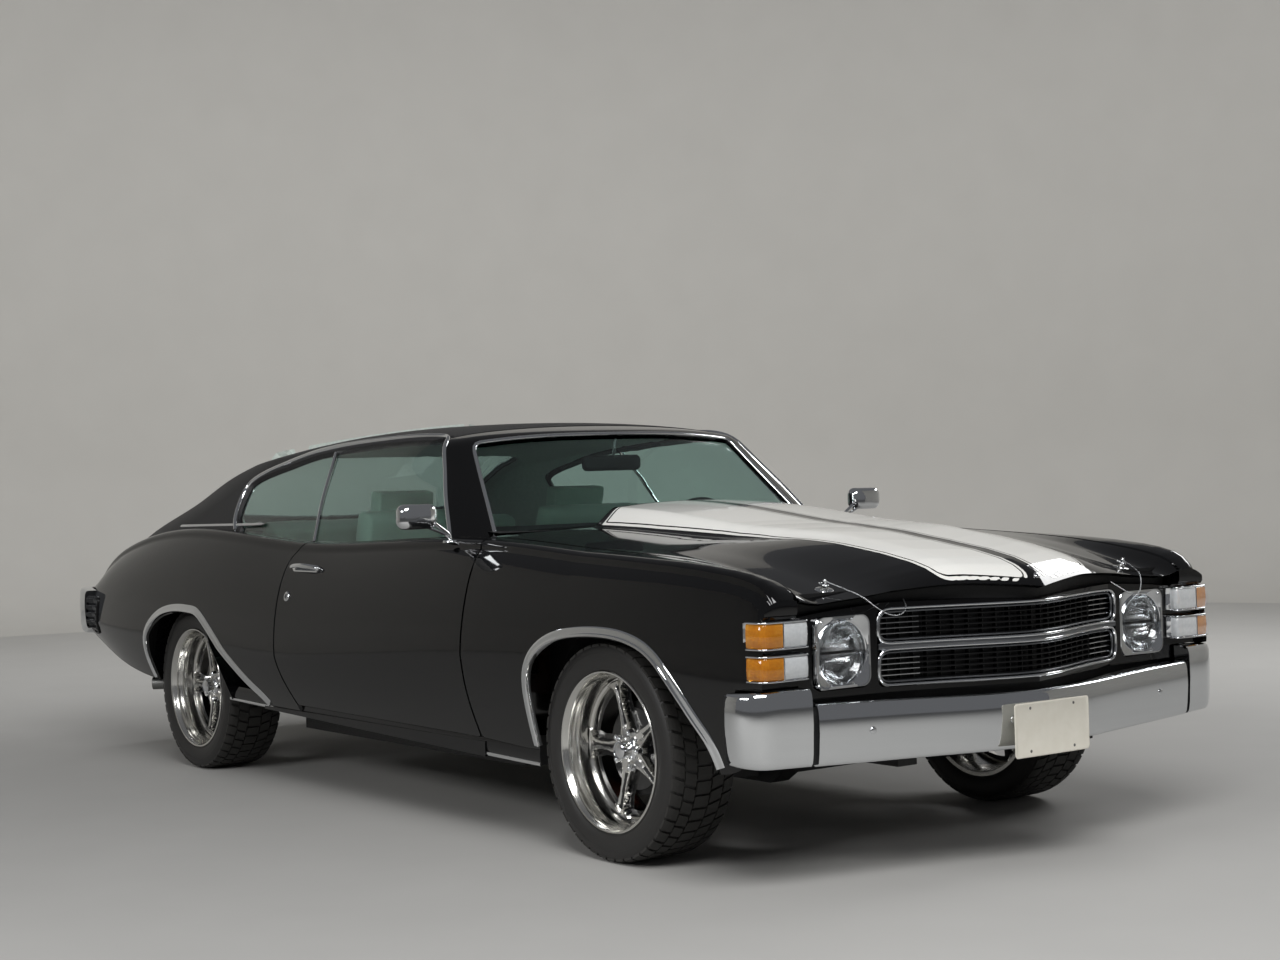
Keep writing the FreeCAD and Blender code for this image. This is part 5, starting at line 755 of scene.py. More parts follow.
crown_y = (CROWN_EDGE * ((1 - crown_t) ** 3 - crown_t ** 3)
        + 3 * CROWN_FLAT * crown_t * (1 - crown_t) * (1 - 2 * crown_t))


def crown_height(x, y):
    edge, middle = np.moveaxis(crown_row(x), -1, 0)
    flat = (4 * middle - edge) / 3
    t = np.interp(-np.abs(y), -crown_y, crown_t)
    height = edge * ((1 - t) ** 3 + t ** 3) + 3 * flat * t * (1 - t)
    beyond = np.clip(np.abs(y) - CROWN_EDGE, 0, None)
    slope = (edge - 0.5 * HEIGHT) / (1.15 * HALF_WIDTH - CROWN_EDGE)
    return height - beyond * slope


def level_outline(z):
    """Left half of the outline at a height, from the front middle to the rear middle."""
    row = level_row(z)
    fx, cx, sfx, srx, tx, rx = (row[k] * LENGTH for k in (0, 1, 3, 5, 7, 9))
    cy, sfy, sry, ty = (row[k] * HALF_WIDTH for k in (2, 4, 6, 8))
    runs = (((cx, -cy), (2 * fx - cx, 0), (cx, cy)), ((cx, cy), ((cx + sfx) / 2, sfy), (sfx, sfy)),
            ((sfx, sfy), ((sfx + srx) / 2, sfy + SIDE_BOW), (srx, sry)),
            ((srx, sry), ((srx + tx) / 2, sry), (tx, ty)), ((tx, ty), (2 * rx - tx, 0), (tx, -ty)))
    line = []
    for part, (count, run) in enumerate(zip(PARTS, runs)):
        a, b, c = np.array(run)
        low, high = (0.5, 1.0) if part == 0 else (0.0, 0.5) if part == 4 else (0.0, 1.0)
        t = np.linspace(low, high, count + 1)[(1 if part else 0):, None]
        line.append((1 - t) ** 2 * a + 2 * t * (1 - t) * b + t ** 2 * c)
    return np.vstack(line)


LOW_Z, HIGH_Z, SIDE_ROWS, EDGE_ROWS, TOP_ROWS = 0.657 * HEIGHT, 1.055 * HEIGHT, 70, 12, 46
heights = np.linspace(LOW_Z, HIGH_Z, 160)
walls = np.stack([level_outline(z) for z in heights])
profiles = []
for direction in range(walls.shape[1]):
    wall = np.column_stack((walls[:, direction], heights))
    above = wall[:, 2] - crown_height(wall[:, 0], wall[:, 1])
    k = int(np.argmax(above > 0))
    t = above[k - 1] / (above[k - 1] - above[k])
    rim = wall[k - 1] + t * (wall[k] - wall[k - 1])
    low = np.column_stack([np.interp(np.linspace(0, 1, 200), np.linspace(0, 1, k + 1), column)
            for column in np.vstack((wall[:k], rim)).T])
    spine = np.array((np.clip(rim[0], -0.55, 0.02), 0.0))
    s = np.linspace(0, 1, 200)[:, None]
    over = rim[:2] * (1 - s) + spine * s
    over = np.column_stack((over, crown_height(over[:, 0], over[:, 1])))

    def spaced(line, count, start, end):
        run = distance_along(line)
        at = np.linspace(start, run[-1] - end, count)
        return np.column_stack([np.interp(at, run, column) for column in line.T])

    turn = 0.034
    side_part, top_part = spaced(low, SIDE_ROWS, 0.0, turn), spaced(over, TOP_ROWS, turn, 0.0)
    t = np.linspace(0, 1, EDGE_ROWS + 2)[1:-1, None]
    edge_part = (1 - t) ** 2 * side_part[-1] + 2 * t * (1 - t) * rim + t ** 2 * top_part[0]
    profiles.append(np.vstack((side_part, edge_part, top_part)))
half_roof = np.array(profiles)
roof_table = np.concatenate((half_roof, (half_roof * (1, -1, 1))[-2::-1]))
print("roof sheet:", roof_table.shape[:2], "top:", round(float(roof_table[..., 2].max()), 4))


def table_normals(table):
    along_u = np.gradient(table, axis=0)
    along_v = np.gradient(table, axis=1)
    along_u[0] = along_u[-1] = table[1] - table[-2]
    cross = np.cross(along_u, along_v)
    length = np.linalg.norm(cross, axis=-1, keepdims=True)
    return cross / np.where(length < 1e-12, 1, length)


def table_surface(table):
    """Reads a table of points at any place between its rows and columns."""
    def read(u, v):
        u, v = np.clip(u, 0, table.shape[0] - 1.0), np.clip(v, 0, table.shape[1] - 1.0)
        i, j = np.minimum(u.astype(int), table.shape[0] - 2), np.minimum(v.astype(int), table.shape[1] - 2)
        a, b = (u - i)[..., None], (v - j)[..., None]
        return ((1 - a) * (1 - b) * table[i, j] + a * (1 - b) * table[i + 1, j]
                + (1 - a) * b * table[i, j + 1] + a * b * table[i + 1, j + 1])
    return read


roof_out = table_normals(roof_table)
if (roof_out[40, 20] * (0, 1, 0)).sum() < 0:
    roof_out = -roof_out
roof_out[:, -1] = (0, 0, 1)
print("side normal:", [round(float(c), 2) for c in roof_out[90, 20]])

# %% [markdown]
# The windows are outlines in side view, front view and plan view. The vinyl covers the roof behind
# the windshield header. The header and the front pillars are painted.

# %% Windows, vinyl roof and painted pillars
WINDOW_FRONT = side(((0.1250, 0.640), (0.1216, 0.704), (0.0634, 0.943)))
WINDOW_TOP = side(((0.0490, 0.951), (0.0100, 0.952), (-0.0500, 0.944), (-0.0877, 0.935)))
WINDOW_REAR = side(((-0.1198, 0.922), (-0.1533, 0.899), (-0.1878, 0.874), (-0.2053, 0.853), (-0.2075, 0.833),
        (-0.2063, 0.795), (-0.2014, 0.751), (-0.1882, 0.728), (-0.1882, 0.640)))
WINDSHIELD = ((-0.722, 0.690), (-0.598, 0.940), (-0.420, 0.9515), (-0.200, 0.9575), (0.200, 0.9575),
        (0.420, 0.9515), (0.598, 0.940), (0.722, 0.690))
REAR_WINDOW = ((-0.2010, 0.0), (-0.1990, 0.30), (-0.1930, 0.555), (-0.3350, 0.655), (-0.3310, 0.35),
        (-0.3300, 0.0), (-0.3310, -0.35), (-0.3350, -0.655), (-0.1930, -0.555), (-0.1990, -0.30))


def rounded_corners(points, radii, steps):
    """Replaces the named corners of a closed outline with arcs of the given radius."""
    out = []
    count = len(points)
    for i, p in enumerate(points):
        if i not in radii:
            out.append(tuple(p))
            continue
        a, b = points[i - 1] - p, points[(i + 1) % count] - p
        la, lb = np.linalg.norm(a), np.linalg.norm(b)
        a, b = a / la, b / lb
        half = 0.5 * math.acos(np.clip(np.dot(a, b), -1, 1))
        back = radii[i] / math.tan(half)
        for t in np.linspace(0, 1, steps):
            start, end = p + a * back, p + b * back
            out.append(tuple((1 - t) ** 2 * start + 2 * t * (1 - t) * p + t ** 2 * end))
    return out


side_window_line = WINDOW_FRONT[:2] + eased(WINDOW_FRONT[1:] + WINDOW_TOP + WINDOW_REAR[:-1],
        5)[1:] + WINDOW_REAR[-1:]
side_window = inside_polygon(side_window_line)
windshield_line = [(y * HALF_WIDTH, z * HEIGHT) for y, z in WINDSHIELD]
windshield_line = [windshield_line[0]] + eased(windshield_line[1:-1], 5) + [windshield_line[-1]]
windshield_hole = inside_polygon(windshield_line)
rear_window_line = rounded_corners(np.array(plan(REAR_WINDOW)), {2: 0.06, 3: 0.09, 7: 0.09, 8: 0.06}, 8)
rear_hole = inside_polygon(rear_window_line)
HEADER_X = 0.0600 * LENGTH


def outside_windows(p):
    x, y, z = np.moveaxis(p, -1, 0)
    at_side = np.where(np.abs(y) > 0.19, side_window(x, z), -9.0)
    at_front = np.where(x > 0.0200 * LENGTH, windshield_hole(y, z), -9.0)
    at_rear = rear_hole(x, y)
    return -np.maximum.reduce((at_side, at_front, at_rear))


def keep_vinyl(p):
    """The vinyl stops at the header, and at the rear it is cut away for the corners of the trunk lid."""
    lid_notch = np.minimum(-1.760 - p[..., 0], 0.703 - np.abs(p[..., 1]))
    return np.minimum.reduce((outside_windows(p), HEADER_X - p[..., 0], -lid_notch))


def keep_lining(p):
    return np.minimum(outside_windows(p), p[..., 0] + 1.75)


def surface_piece(name, material, body, table, keep, hem):
    u_values, v_values = np.arange(table.shape[0], dtype=float), np.arange(table.shape[1], dtype=float)
    return folded_panel(name, material, body, table_surface(table), u_values, v_values, keep, hem=hem,
            radius=0.003)


vinyl = surface_piece("vinyl_top", roof_vinyl, "chassis", roof_table, keep_vinyl, 0.020)
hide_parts("roof")
pillars = surface_piece("front_pillars", black_enamel, "chassis", roof_table - roof_out * 0.0015,
        lambda p: np.minimum(outside_windows(p), p[..., 0] - HEADER_X + 0.001), 0.020)
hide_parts("windshield_frame")
lining = surface_piece("headliner", headliner, "chassis", roof_table - roof_out * 0.026, keep_lining, 0.0)
print("roof faces:", len(vinyl.data.polygons), len(pillars.data.polygons), len(lining.data.polygons))

# %% [markdown]
# Bright mouldings follow the edges of the roof, the windows and the wheel arches. Each is one
# small cross section swept along a line. The line is drawn in one view, dropped on to the finished
# panels by a ray, and the section stands on the surface it meets there.

# %% Trim maker
def panel_tree(pieces):
    verts, faces = [], []
    for piece in pieces:
        base = len(verts)
        verts += [piece.matrix_world @ v.co for v in piece.data.vertices]
        faces += [[base + i for i in f.vertices] for f in piece.data.polygons]
    return BVHTree.FromPolygons(verts, faces)


def dropped(tree, starts, direction):
    """Where rays from the start points meet the panels, with the outward normal there."""
    direction = Vector(direction)
    spots, normals = [], []
    for start in starts:
        place, normal, _, _ = tree.ray_cast(Vector(start), direction)
        if place is None:
            continue
        spots.append(np.array(place))
        normals.append(np.array(-normal if normal.dot(direction) > 0 else normal))
    return np.array(spots), np.array(normals)


def evened(points, step):
    points = np.asarray(points, float)
    run = distance_along(points)
    at = np.linspace(0, run[-1], max(2, int(run[-1] / step) + 1))
    return np.column_stack([np.interp(at, run, column) for column in points.T])


def softened(values, times=2):
    values = values.copy()
    for _ in range(times):
        values[1:-1] = 0.25 * values[:-2] + 0.5 * values[1:-1] + 0.25 * values[2:]
    return values


def half_round(width, height, steps=7):
    """A low rounded section: pairs of (across, out)."""
    angles = np.linspace(0, np.pi, steps)
    return [(-0.5 * width * np.cos(a), height * np.sin(a)) for a in angles] + [(0.5 * width, -0.002),
            (-0.5 * width, -0.002)]


def swept_trim(name, material, body, points, normals, section, closed=False, taper=0.0):
    """One section swept along the points. It stands on the surface whose normals are given."""
    points, normals = softened(np.asarray(points)), softened(np.asarray(normals))
    ahead = np.roll(points, -1, 0) - np.roll(points, 1, 0)
    if not closed:
        ahead[0], ahead[-1] = points[1] - points[0], points[-1] - points[-2]
    ahead /= np.linalg.norm(ahead, axis=1, keepdims=True)
    out = normals - ahead * (normals * ahead).sum(1, keepdims=True)
    out /= np.linalg.norm(out, axis=1, keepdims=True)
    across = np.cross(ahead, out)
    count, ring = len(points), len(section)
    verts, faces = [], []
    run = distance_along(points)
    for i in range(count):
        size = 1.0
        if taper and not closed:
            size = min(1.0, 0.15 + min(run[i], run[-1] - run[i]) / taper)
        verts += [points[i] + size * (a * across[i] + b * out[i]) for a, b in section]
    for i in range(count if closed else count - 1):
        j = (i + 1) % count
        faces += [(i * ring + k, i * ring + (k + 1) % ring, j * ring + (k + 1) % ring,
                j * ring + k) for k in range(ring)]
    if not closed:
        faces += [tuple(range(ring)), tuple(reversed(range((count - 1) * ring, count * ring)))]
    trim = body_piece(name, material, body, verts, faces)
    outward(trim.data, 50)
    return trim


def both_sides(points, normals):
    return (("left", points, normals), ("right", points * (1, -1, 1), normals * (1, -1, 1)))


side_tree = panel_tree([p for p in panels if "left" in p.name])
closed_roof = [tuple(p) for p in roof_table.reshape(-1, 3)]
columns = roof_table.shape[1]
whole_roof = BVHTree.FromPolygons(closed_roof, [(i * columns + j, (i + 1) * columns + j,
        (i + 1) * columns + j + 1, i * columns + j + 1) for i in range(roof_table.shape[0] - 1)
        for j in range(columns - 1)])
print("surfaces ready for trim")

# %% [markdown]
# The wheel arch mouldings are wide flat bands with a raised inner edge. The drip rail starts at the
# foot of the front pillar, runs over the windows and ends at the belt behind the rear side window.

# %% Arch mouldings, drip rails and window trims
def arch_trim(name, points, inward):
    points = [(x, z) for x, z in points if z > 0.27]
    line = evened([(x, 2.0, z) for x, z in points], 0.02)
    away = np.roll(line, -1, 0) - np.roll(line, 1, 0)
    away[0], away[-1] = line[1] - line[0], line[-1] - line[-2]
    away /= np.linalg.norm(away, axis=1, keepdims=True)
    line = line + np.column_stack((-away[:, 2], np.zeros(len(line)), away[:, 0])) * inward
    spots, normals = dropped(side_tree, line, (0, -1, 0))
    section = [(-0.015, -0.003), (-0.015, 0.0010), (-0.012, 0.0030), (-0.004, 0.0048), (0.003, 0.0040),
            (0.006, 0.0055), (0.011, 0.0085), (0.0145, 0.0080), (0.0165, 0.004), (0.0165, -0.010)]
    if away[len(away) // 2, 0] > 0:
        section = [(-a, b) for a, b in section]
    made = []
    for hand, p, n in both_sides(spots, normals):
        mirror = 1 if hand == "left" else -1
        made.append(swept_trim(f"{name}_{hand}", chrome, "chassis", p, n,
                [(mirror * a, b) for a, b in section]))
    return made


arch_trims = arch_trim("front_arch_trim", front_arch, 0.014) + arch_trim("rear_arch_trim", rear_arch, 0.014)

rail_side = side(((0.1216, 0.704), (0.0640, 0.952), (0.0490, 0.9615), (0.0100, 0.9640), (-0.0500, 0.9565),
        (-0.0877, 0.9475), (-0.1198, 0.9345), (-0.1533, 0.912), (-0.1878, 0.885), (-0.2085, 0.857),
        (-0.2115, 0.833), (-0.2100, 0.795), (-0.2050, 0.748), (-0.1960, 0.716)))
rail_line = evened([(x, 2.0, z) for x, z in [rail_side[0]] + eased(rail_side[1:], 6)], 0.02)
spots, normals = dropped(whole_roof, rail_line, (0, -1, 0))
for hand, p, n in both_sides(spots, normals):
    swept_trim(f"drip_rail_{hand}", chrome, "chassis", p, n, half_round(0.016, 0.010), taper=0.0)
    swept_trim(f"drip_gutter_{hand}", seal_rubber, "chassis", p - n * 0.001 - np.array((0, 0, 0.010)), n,
            half_round(0.014, 0.004))

wind_line = evened([(2.0, y, z) for y, z in windshield_line], 0.02)
spots, normals = dropped(whole_roof, wind_line, (-1, 0, 0))
swept_trim("windshield_trim", chrome, "chassis", spots, normals, half_round(0.015, 0.006))
rear_line = evened([(x, y, 2.0) for x, y in list(rear_window_line) + list(rear_window_line[:1])], 0.02)[:-1]
spots, normals = dropped(whole_roof, rear_line, (0, 0, -1))
swept_trim("rear_window_trim", chrome, "chassis", spots, normals, half_round(0.018, 0.007), closed=True)

divider_low, divider_high = (-0.0602 * LENGTH, 0.69 * HEIGHT), (-0.0861 * LENGTH, 0.935 * HEIGHT)
divider = evened([(divider_low[0], 2.0, divider_low[1]), (divider_high[0], 2.0, divider_high[1])], 0.03)
spots, normals = dropped(whole_roof, divider, (0, -1, 0))
for hand, p, n in both_sides(spots - normals * 0.007, normals):
    swept_trim(f"quarter_divider_{hand}", chrome, "chassis", p, n, half_round(0.014, 0.006))
print("trims placed:", len(arch_trims))

# %% [markdown]
# Everything at the front follows the same shallow V in plan. The grille is two long openings, one
# above the other, each with rounded outer corners, a bright double rim and six thin bars. The bars
# are drawn dark across the middle, where they lie in shade, and bright chrome at their outer ends near the
# headlamps, where they catch the light: painted shade and a painted highlight on the same bars.

# %% Grille
def front_line(y_values, z, setback):
    y_values = np.asarray(y_values, float)
    return np.column_stack((front_x(y_values) - setback, y_values, np.full(len(y_values), z)))


front_x = smooth_line([-0.95, -0.670, -0.460, -0.239, -0.04, 0.0, 0.04, 0.239, 0.460, 0.670, 0.95],
        [2.318, 2.335, 2.352, 2.4177, 2.4830, 2.4865, 2.4830, 2.4177, 2.352, 2.335, 2.318])


def round_tube(name, material, body, points, radius, closed=False, flat=1.0, sides=10):
    normals = same_normal((1.0, 0.0, 0.0), len(points))
    section = [(radius * math.cos(a), radius * flat * math.sin(a)) for a in full_circle(sides)]
    return swept_trim(name, material, body, points, normals, section, closed=closed)


def rounded_rectangle(y0, y1, z0, z1, radii, steps=7):
    """A rounded rectangle in front view. Radii: low inner, low outer, high outer, high inner."""
    corners = ((y0, z0, 180, radii[0]), (y1, z0, 270, radii[1]), (y1, z1, 0, radii[2]),
            (y0, z1, 90, radii[3]))
    line = []
    for y, z, angle, radius in corners:
        cy = y + (radius if y == y0 else -radius)
        cz = z + (radius if z == z0 else -radius)
        for a in np.radians(np.linspace(angle, angle + 90, steps)):
            line.append((cy + radius * math.cos(a), cz + radius * math.sin(a)))
    return np.array(line)


gunmetal = material_of("satin_anodised_trim", "77797C", 0.30, 20.0, 0.03, 0.26, 0.38, metallic=1.0)
GRILLE_SET = 0.024
openings = ((0.5345, 0.6340), (0.6500, 0.7460))
grille_parts = []
for level, (low, high) in zip(("low", "high"), openings):
    for rim, grow, tube in (("outer", 0.0, 0.0048), ("inner", -0.0095, 0.0032)):
        line = rounded_rectangle(-0.488 - grow, 0.488 + grow, low - grow, high + grow, (0.026 + grow,) * 4)
        line = evened(np.vstack((line, line[:1])), 0.012)[:-1]
        path = np.column_stack((front_x(line[:, 0]) - GRILLE_SET - (0.006 if rim == "inner" else 0.0), line))
        grille_parts.append(round_tube(f"grille_rim_{level}_{rim}", chrome if rim == "outer" else gunmetal,
                "chassis", path, tube, closed=True, flat=1.4))
    # The bars are dark plastic across the middle, which is painted shade, and their chrome ends near the
    # headlamps are a painted highlight.
    for bar in range(6):
        z = low + (high - low) * (bar + 0.75) / 6.5
        y_values = np.linspace(-0.474, 0.474, 60)
        grille_parts.append(round_tube(f"grille_bar_{level}_{bar}", grille_plastic, "chassis",
                front_line(y_values, z, GRILLE_SET + 0.022), 0.0032, flat=3.0))
        for hand, sign in HANDS:
            ends = sign * np.linspace(0.350, 0.474, 12)
            grille_parts.append(round_tube(f"grille_bar_end_{level}_{bar}_{hand}", chrome, "chassis",
                    front_line(ends, z, GRILLE_SET + 0.013), 0.0022, sides=6))
band = front_line(np.linspace(-0.488, 0.488, 60), 0.642, GRILLE_SET)
grille_parts.append(round_tube("grille_middle_bar", gunmetal, "chassis", band, 0.0085, flat=0.5))
back = np.linspace(-0.492, 0.492, 40)
sheet = np.concatenate((front_line(back, 0.531, GRILLE_SET + 0.045),
        front_line(back, 0.750, GRILLE_SET + 0.045)))
shroud = body_piece("grille_backing", grille_plastic, "chassis", sheet,
        [(i, i + 1, 41 + i, 40 + i) for i in range(39)])
grille_parts.append(shroud)
uprights = []
for k, y in enumerate(np.linspace(-0.44, 0.44, 23)):
    line = np.column_stack((np.full(12, float(front_x(y)) - GRILLE_SET - 0.030), np.full(12, y),
            np.linspace(0.536, 0.744, 12)))
    normals = same_normal((1.0, 0.0, 0.0), 12)
    uprights.append(swept_trim(f"grille_upright_{k}", grille_plastic, "chassis", line, normals,
            [(-0.0015, -0.008), (-0.0015, 0.008), (0.0015, 0.008), (0.0015, -0.008)]))
for part in grille_parts + uprights:
    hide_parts("grille")
print("grille parts:", len(grille_parts), len(uprights))

# %% [markdown]
# A headlamp is a sealed glass bulb in a square chrome door. The front glass is a shallow dome with
# moulded flutes, and a bright paraboloid lies behind it. The chrome door dishes in to the round lens.

# %% Headlamps
LAMP_X, LAMP_Y, LAMP_Z, LENS_RADIUS = 2.318, 0.617, 0.6370, 0.087


def ring_grid(rings, name, material, body, close_centre=False):
    """Faces between rings of equal point counts."""
    count = len(rings[0])
    verts = [tuple(p) for ring in rings for p in ring]
    faces = grid_faces(len(rings), count, closed=True)
    if close_centre:
        verts.append(tuple(np.mean(rings[-1], axis=0)))
        faces += [((len(rings) - 1) * count + k, (len(rings) - 1) * count + (k + 1) % count, len(verts) - 1)
                for k in range(count)]
    piece = body_piece(name, material, body, verts, faces)
    outward(piece.data, 40)
    return piece


def square_ring(half_y, half_z, radius, x, centre_y, centre_z, count=96):
    line = rounded_rectangle(-half_y, half_y, -half_z, half_z, (radius,) * 4, 12)
    line = evened(np.vstack((line, line[:1])), 0.001)
    index = np.linspace(0, len(line) - 1, count, endpoint=False).astype(int)
    line = line[index]
    turn = np.arctan2(line[:, 1], line[:, 0])
    line = line[np.argsort(turn)]
    return np.column_stack((np.full(count, x), centre_y + line[:, 0], centre_z + line[:, 1]))


def circle_ring(radius, x, centre_y, centre_z, count=96, like=None):
    angles = np.arctan2(like[:, 2] - like[:, 2].mean(),
            like[:, 1] - like[:, 1].mean()) if like is not None else \
        np.linspace(-np.pi, np.pi, count, endpoint=False)
    return np.column_stack((np.full(count, x), centre_y + radius * np.cos(angles),
            centre_z + radius * np.sin(angles)))


lamp_glass, shader = start_material("fluted_headlamp_glass", "F2F5F6", 0.03, IOR=1.5,
        Transmission_Weight=1.0)
where = object_scale(lamp_glass, 16.0)
flutes = add_node(lamp_glass, "ShaderNodeTexWave", {"wave_type": "BANDS", "bands_direction": "Y"},
        {"Scale": 1.0, "Distortion": 2.5, "Detail Scale": 0.6}, {"Vector": (where, "Vector")})
bump = add_node(lamp_glass, "ShaderNodeBump", values={"Distance": 0.0016, "Strength": 0.8},
        links={"Height": (flutes, "Fac")})
lamp_glass.node_tree.links.new(bump.outputs["Normal"], shader.inputs["Normal"])
reflector, shader = start_material("vacuum_coated_reflector", "E8EAEC", 0.12, 1.0)
where = object_scale(reflector, 40.0)
facets = add_node(reflector, "ShaderNodeTexVoronoi", values={"Scale": 1.0},
        links={"Vector": (where, "Vector")})
bump = add_node(reflector, "ShaderNodeBump", values={"Distance": 0.006},
        links={"Height": (facets, "Distance")})
reflector.node_tree.links.new(bump.outputs["Normal"], shader.inputs["Normal"])
for hand, sign in HANDS:
    cy = sign * 0.6135
    outer = square_ring(0.100, 0.1005, 0.030, LAMP_X - 0.030, cy, 0.6385)
    rings = [outer, square_ring(0.100, 0.1005, 0.030, LAMP_X + 0.002, cy, 0.6385),
            square_ring(0.097, 0.0975, 0.028, LAMP_X + 0.006, cy, 0.6385),
            square_ring(0.090, 0.0905, 0.026, LAMP_X + 0.006, cy, 0.6385)]
    ly = sign * LAMP_Y
    for radius, x in ((LENS_RADIUS + 0.003, -0.004), (LENS_RADIUS + 0.001, -0.004), (LENS_RADIUS, -0.008),
            (LENS_RADIUS - 0.002, -0.012)):
        rings.append(circle_ring(radius, LAMP_X + x, ly, LAMP_Z, like=rings[3]))
    bezel = ring_grid(rings, f"headlamp_door_{hand}", chrome, "chassis")
    dome = [circle_ring(LENS_RADIUS * f, LAMP_X - 0.012 + 0.016 * (1 - f * f), ly, LAMP_Z)
            for f in (1.0, 0.96, 0.9, 0.8, 0.66, 0.5, 0.33, 0.16)]
    dome += [circle_ring(LENS_RADIUS * f, LAMP_X - 0.016 + 0.015 * (1 - f * f), ly, LAMP_Z)
            for f in (0.16, 0.5, 0.8, 0.97)]
    dome.append(dome[0])
    glass = ring_grid(dome[:8], f"headlamp_glass_{hand}", lamp_glass, "chassis", close_centre=True)
    bowl = ring_grid([circle_ring(LENS_RADIUS * f, LAMP_X - 0.020 - 0.055 * (1 - f * f), ly, LAMP_Z)
            for f in (1.02, 0.95, 0.85, 0.72, 0.58, 0.44, 0.3, 0.15)],
            f"headlamp_bowl_{hand}", reflector, "chassis", close_centre=True)
    rim = ring_grid([circle_ring(LENS_RADIUS + r, LAMP_X + x, ly, LAMP_Z) for r, x in
            ((0.0045, -0.006), (0.0045, 0.000), (0.002, 0.003), (-0.001, 0.001), (-0.002, -0.008))],
            f"headlamp_ring_{hand}", chrome, "chassis")
    shade = round_tube(f"headlamp_shade_{hand}", grille_plastic, "chassis",
            np.column_stack((np.full(20, LAMP_X - 0.022), ly + np.linspace(-0.06, 0.06, 20),
            np.full(20, LAMP_Z))), 0.0045)
    screw = ring_grid([circle_ring(r, LAMP_X + x, sign * 0.692, 0.722, 16) for r, x in
            ((0.0045, 0.004), (0.0045, 0.008), (0.003, 0.0095))], f"headlamp_screw_{hand}",
            chrome, "chassis", close_centre=True)
    for part in (bezel, glass, bowl, rim, shade, screw):
        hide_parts("headlamps")
print("headlamps done")

# %% [markdown]
# Two turn lamps sit one above the other at each corner and wrap round it. The front half of each is
# clear and fluted, the outer half amber, and each lens has a thin bright rim above and below.

# %% Turn lamps
corner_path = np.array(((2.300, 0.757), (2.341, 0.760), (2.3445, 0.790), (2.3455, 0.820), (2.3450, 0.850),
        (2.3430, 0.880), (2.3385, 0.900), (2.3280, 0.9115), (2.3000, 0.9165), (2.2790, 0.9190)))
corner_path = np.array(eased([tuple(p) for p in corner_path], 8))
for hand, sign in HANDS:
    for level, (z0, z1) in (("low", (0.5815, 0.6435)), ("high", (0.6670, 0.7330))):
        run = distance_along(corner_path)
        flute = 0.0008 * np.abs(np.sin(run / 0.0075 * np.pi))
        ahead = np.gradient(corner_path, axis=0)
        ahead /= np.linalg.norm(ahead, axis=1, keepdims=True)
        out = np.column_stack((ahead[:, 1], -ahead[:, 0]))
        profile = ((-0.020, 0.0), (-0.003, 0.0), (0.0, 0.004), (0.0015, 0.5), (0.0, 0.996), (-0.003, 1.0),
                (-0.020, 1.0))
        for part, keep, finish in (("clear", corner_path[:, 1] <= 0.8465, clear_lens),
                ("amber", corner_path[:, 1] >= 0.8435, amber_lens)):
            index = np.nonzero(keep)[0]
            verts, faces = [], []
            for i in index:
                for d, (depth, share) in enumerate(profile):
                    shift = 0.004 if share == 0.004 else -0.004 if share == 0.996 else 0.0
                    z = z0 + (z1 - z0) * share + shift
                    p = corner_path[i] + out[i] * (depth + (flute[i] if 1 < d < 5 else 0))
                    verts.append((p[0], sign * p[1], z))
            n = len(profile)
            faces = grid_faces(len(index), n)
            lens = body_piece(f"turn_lamp_{part}_{level}_{hand}", finish, "chassis", verts, faces)
            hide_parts("turn_lamps")
        for edge, z in (("foot", z0 - 0.002), ("top", z1 + 0.002)):
            line = np.column_stack((corner_path[:, 0], sign * corner_path[:, 1],
                    np.full(len(corner_path), z)))
            line[:, :2] += out * (1, sign) * 0.001
            edge_trim = round_tube(f"turn_lamp_{edge}_{level}_{hand}", chrome, "chassis", line, 0.0028,
                    sides=8)
            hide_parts("turn_lamps")
        for place, i in (("inner", 2), ("middle", int(np.argmin(np.abs(corner_path[:, 1] - 0.845))))):
            line = np.column_stack((np.full(6, corner_path[i, 0] + 0.0015),
                    np.full(6, sign * corner_path[i, 1]), np.linspace(z0, z1, 6)))
            post = round_tube(f"turn_lamp_{place}_{level}_{hand}", chrome, "chassis", line, 0.0022, sides=8)
            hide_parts("turn_lamps")
        verts, faces = [], []
        for x, y in corner_path[::4]:
            for z in (z0, z1):
                verts.append((x - 0.024, sign * (y - 0.010), z))
        for i in range(len(corner_path[::4]) - 1):
            faces.append((2 * i, 2 * i + 1, 2 * i + 3, 2 * i + 2))
        backing = body_piece(f"turn_lamp_back_{level}_{hand}", reflector, "chassis", verts, faces)
        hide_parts("turn_lamps")
print("turn lamps done")

# %% [markdown]
# The road wheels are deep-dished: a wide turned barrel with a bright lip, and far back in it a disc
# with five raised spokes. The spokes' edges are bright and the windows between them are painted
# black. One wheel and one tyre are modelled and then placed four times as copies of the same mesh.

# %% Wheel
turned_metal, shader = start_material("turned_bright_aluminium", "D9D8D4", 0.16, 1.0)
where = object_scale(turned_metal, 9.0)
rings_pattern = add_node(turned_metal, "ShaderNodeTexWave", {"wave_type": "RINGS", "rings_direction": "Y"},
        {"Scale": 1.0, "Distortion": 0.4}, {"Vector": (where, "Vector")})
bump = add_node(turned_metal, "ShaderNodeBump", values={"Distance": 0.00003},
        links={"Height": (rings_pattern, "Fac")})
turned_metal.node_tree.links.new(bump.outputs["Normal"], shader.inputs["Normal"])
vary(turned_metal, shader, rings_pattern, "Fac", "Roughness", 0.12, 0.22)
wheel_black, shader = start_material("gloss_black_wheel_enamel", "050506", 0.25, Coat_Weight=0.6)
grain(wheel_black, shader, 4.0, 0.004)
FACE = 0.112


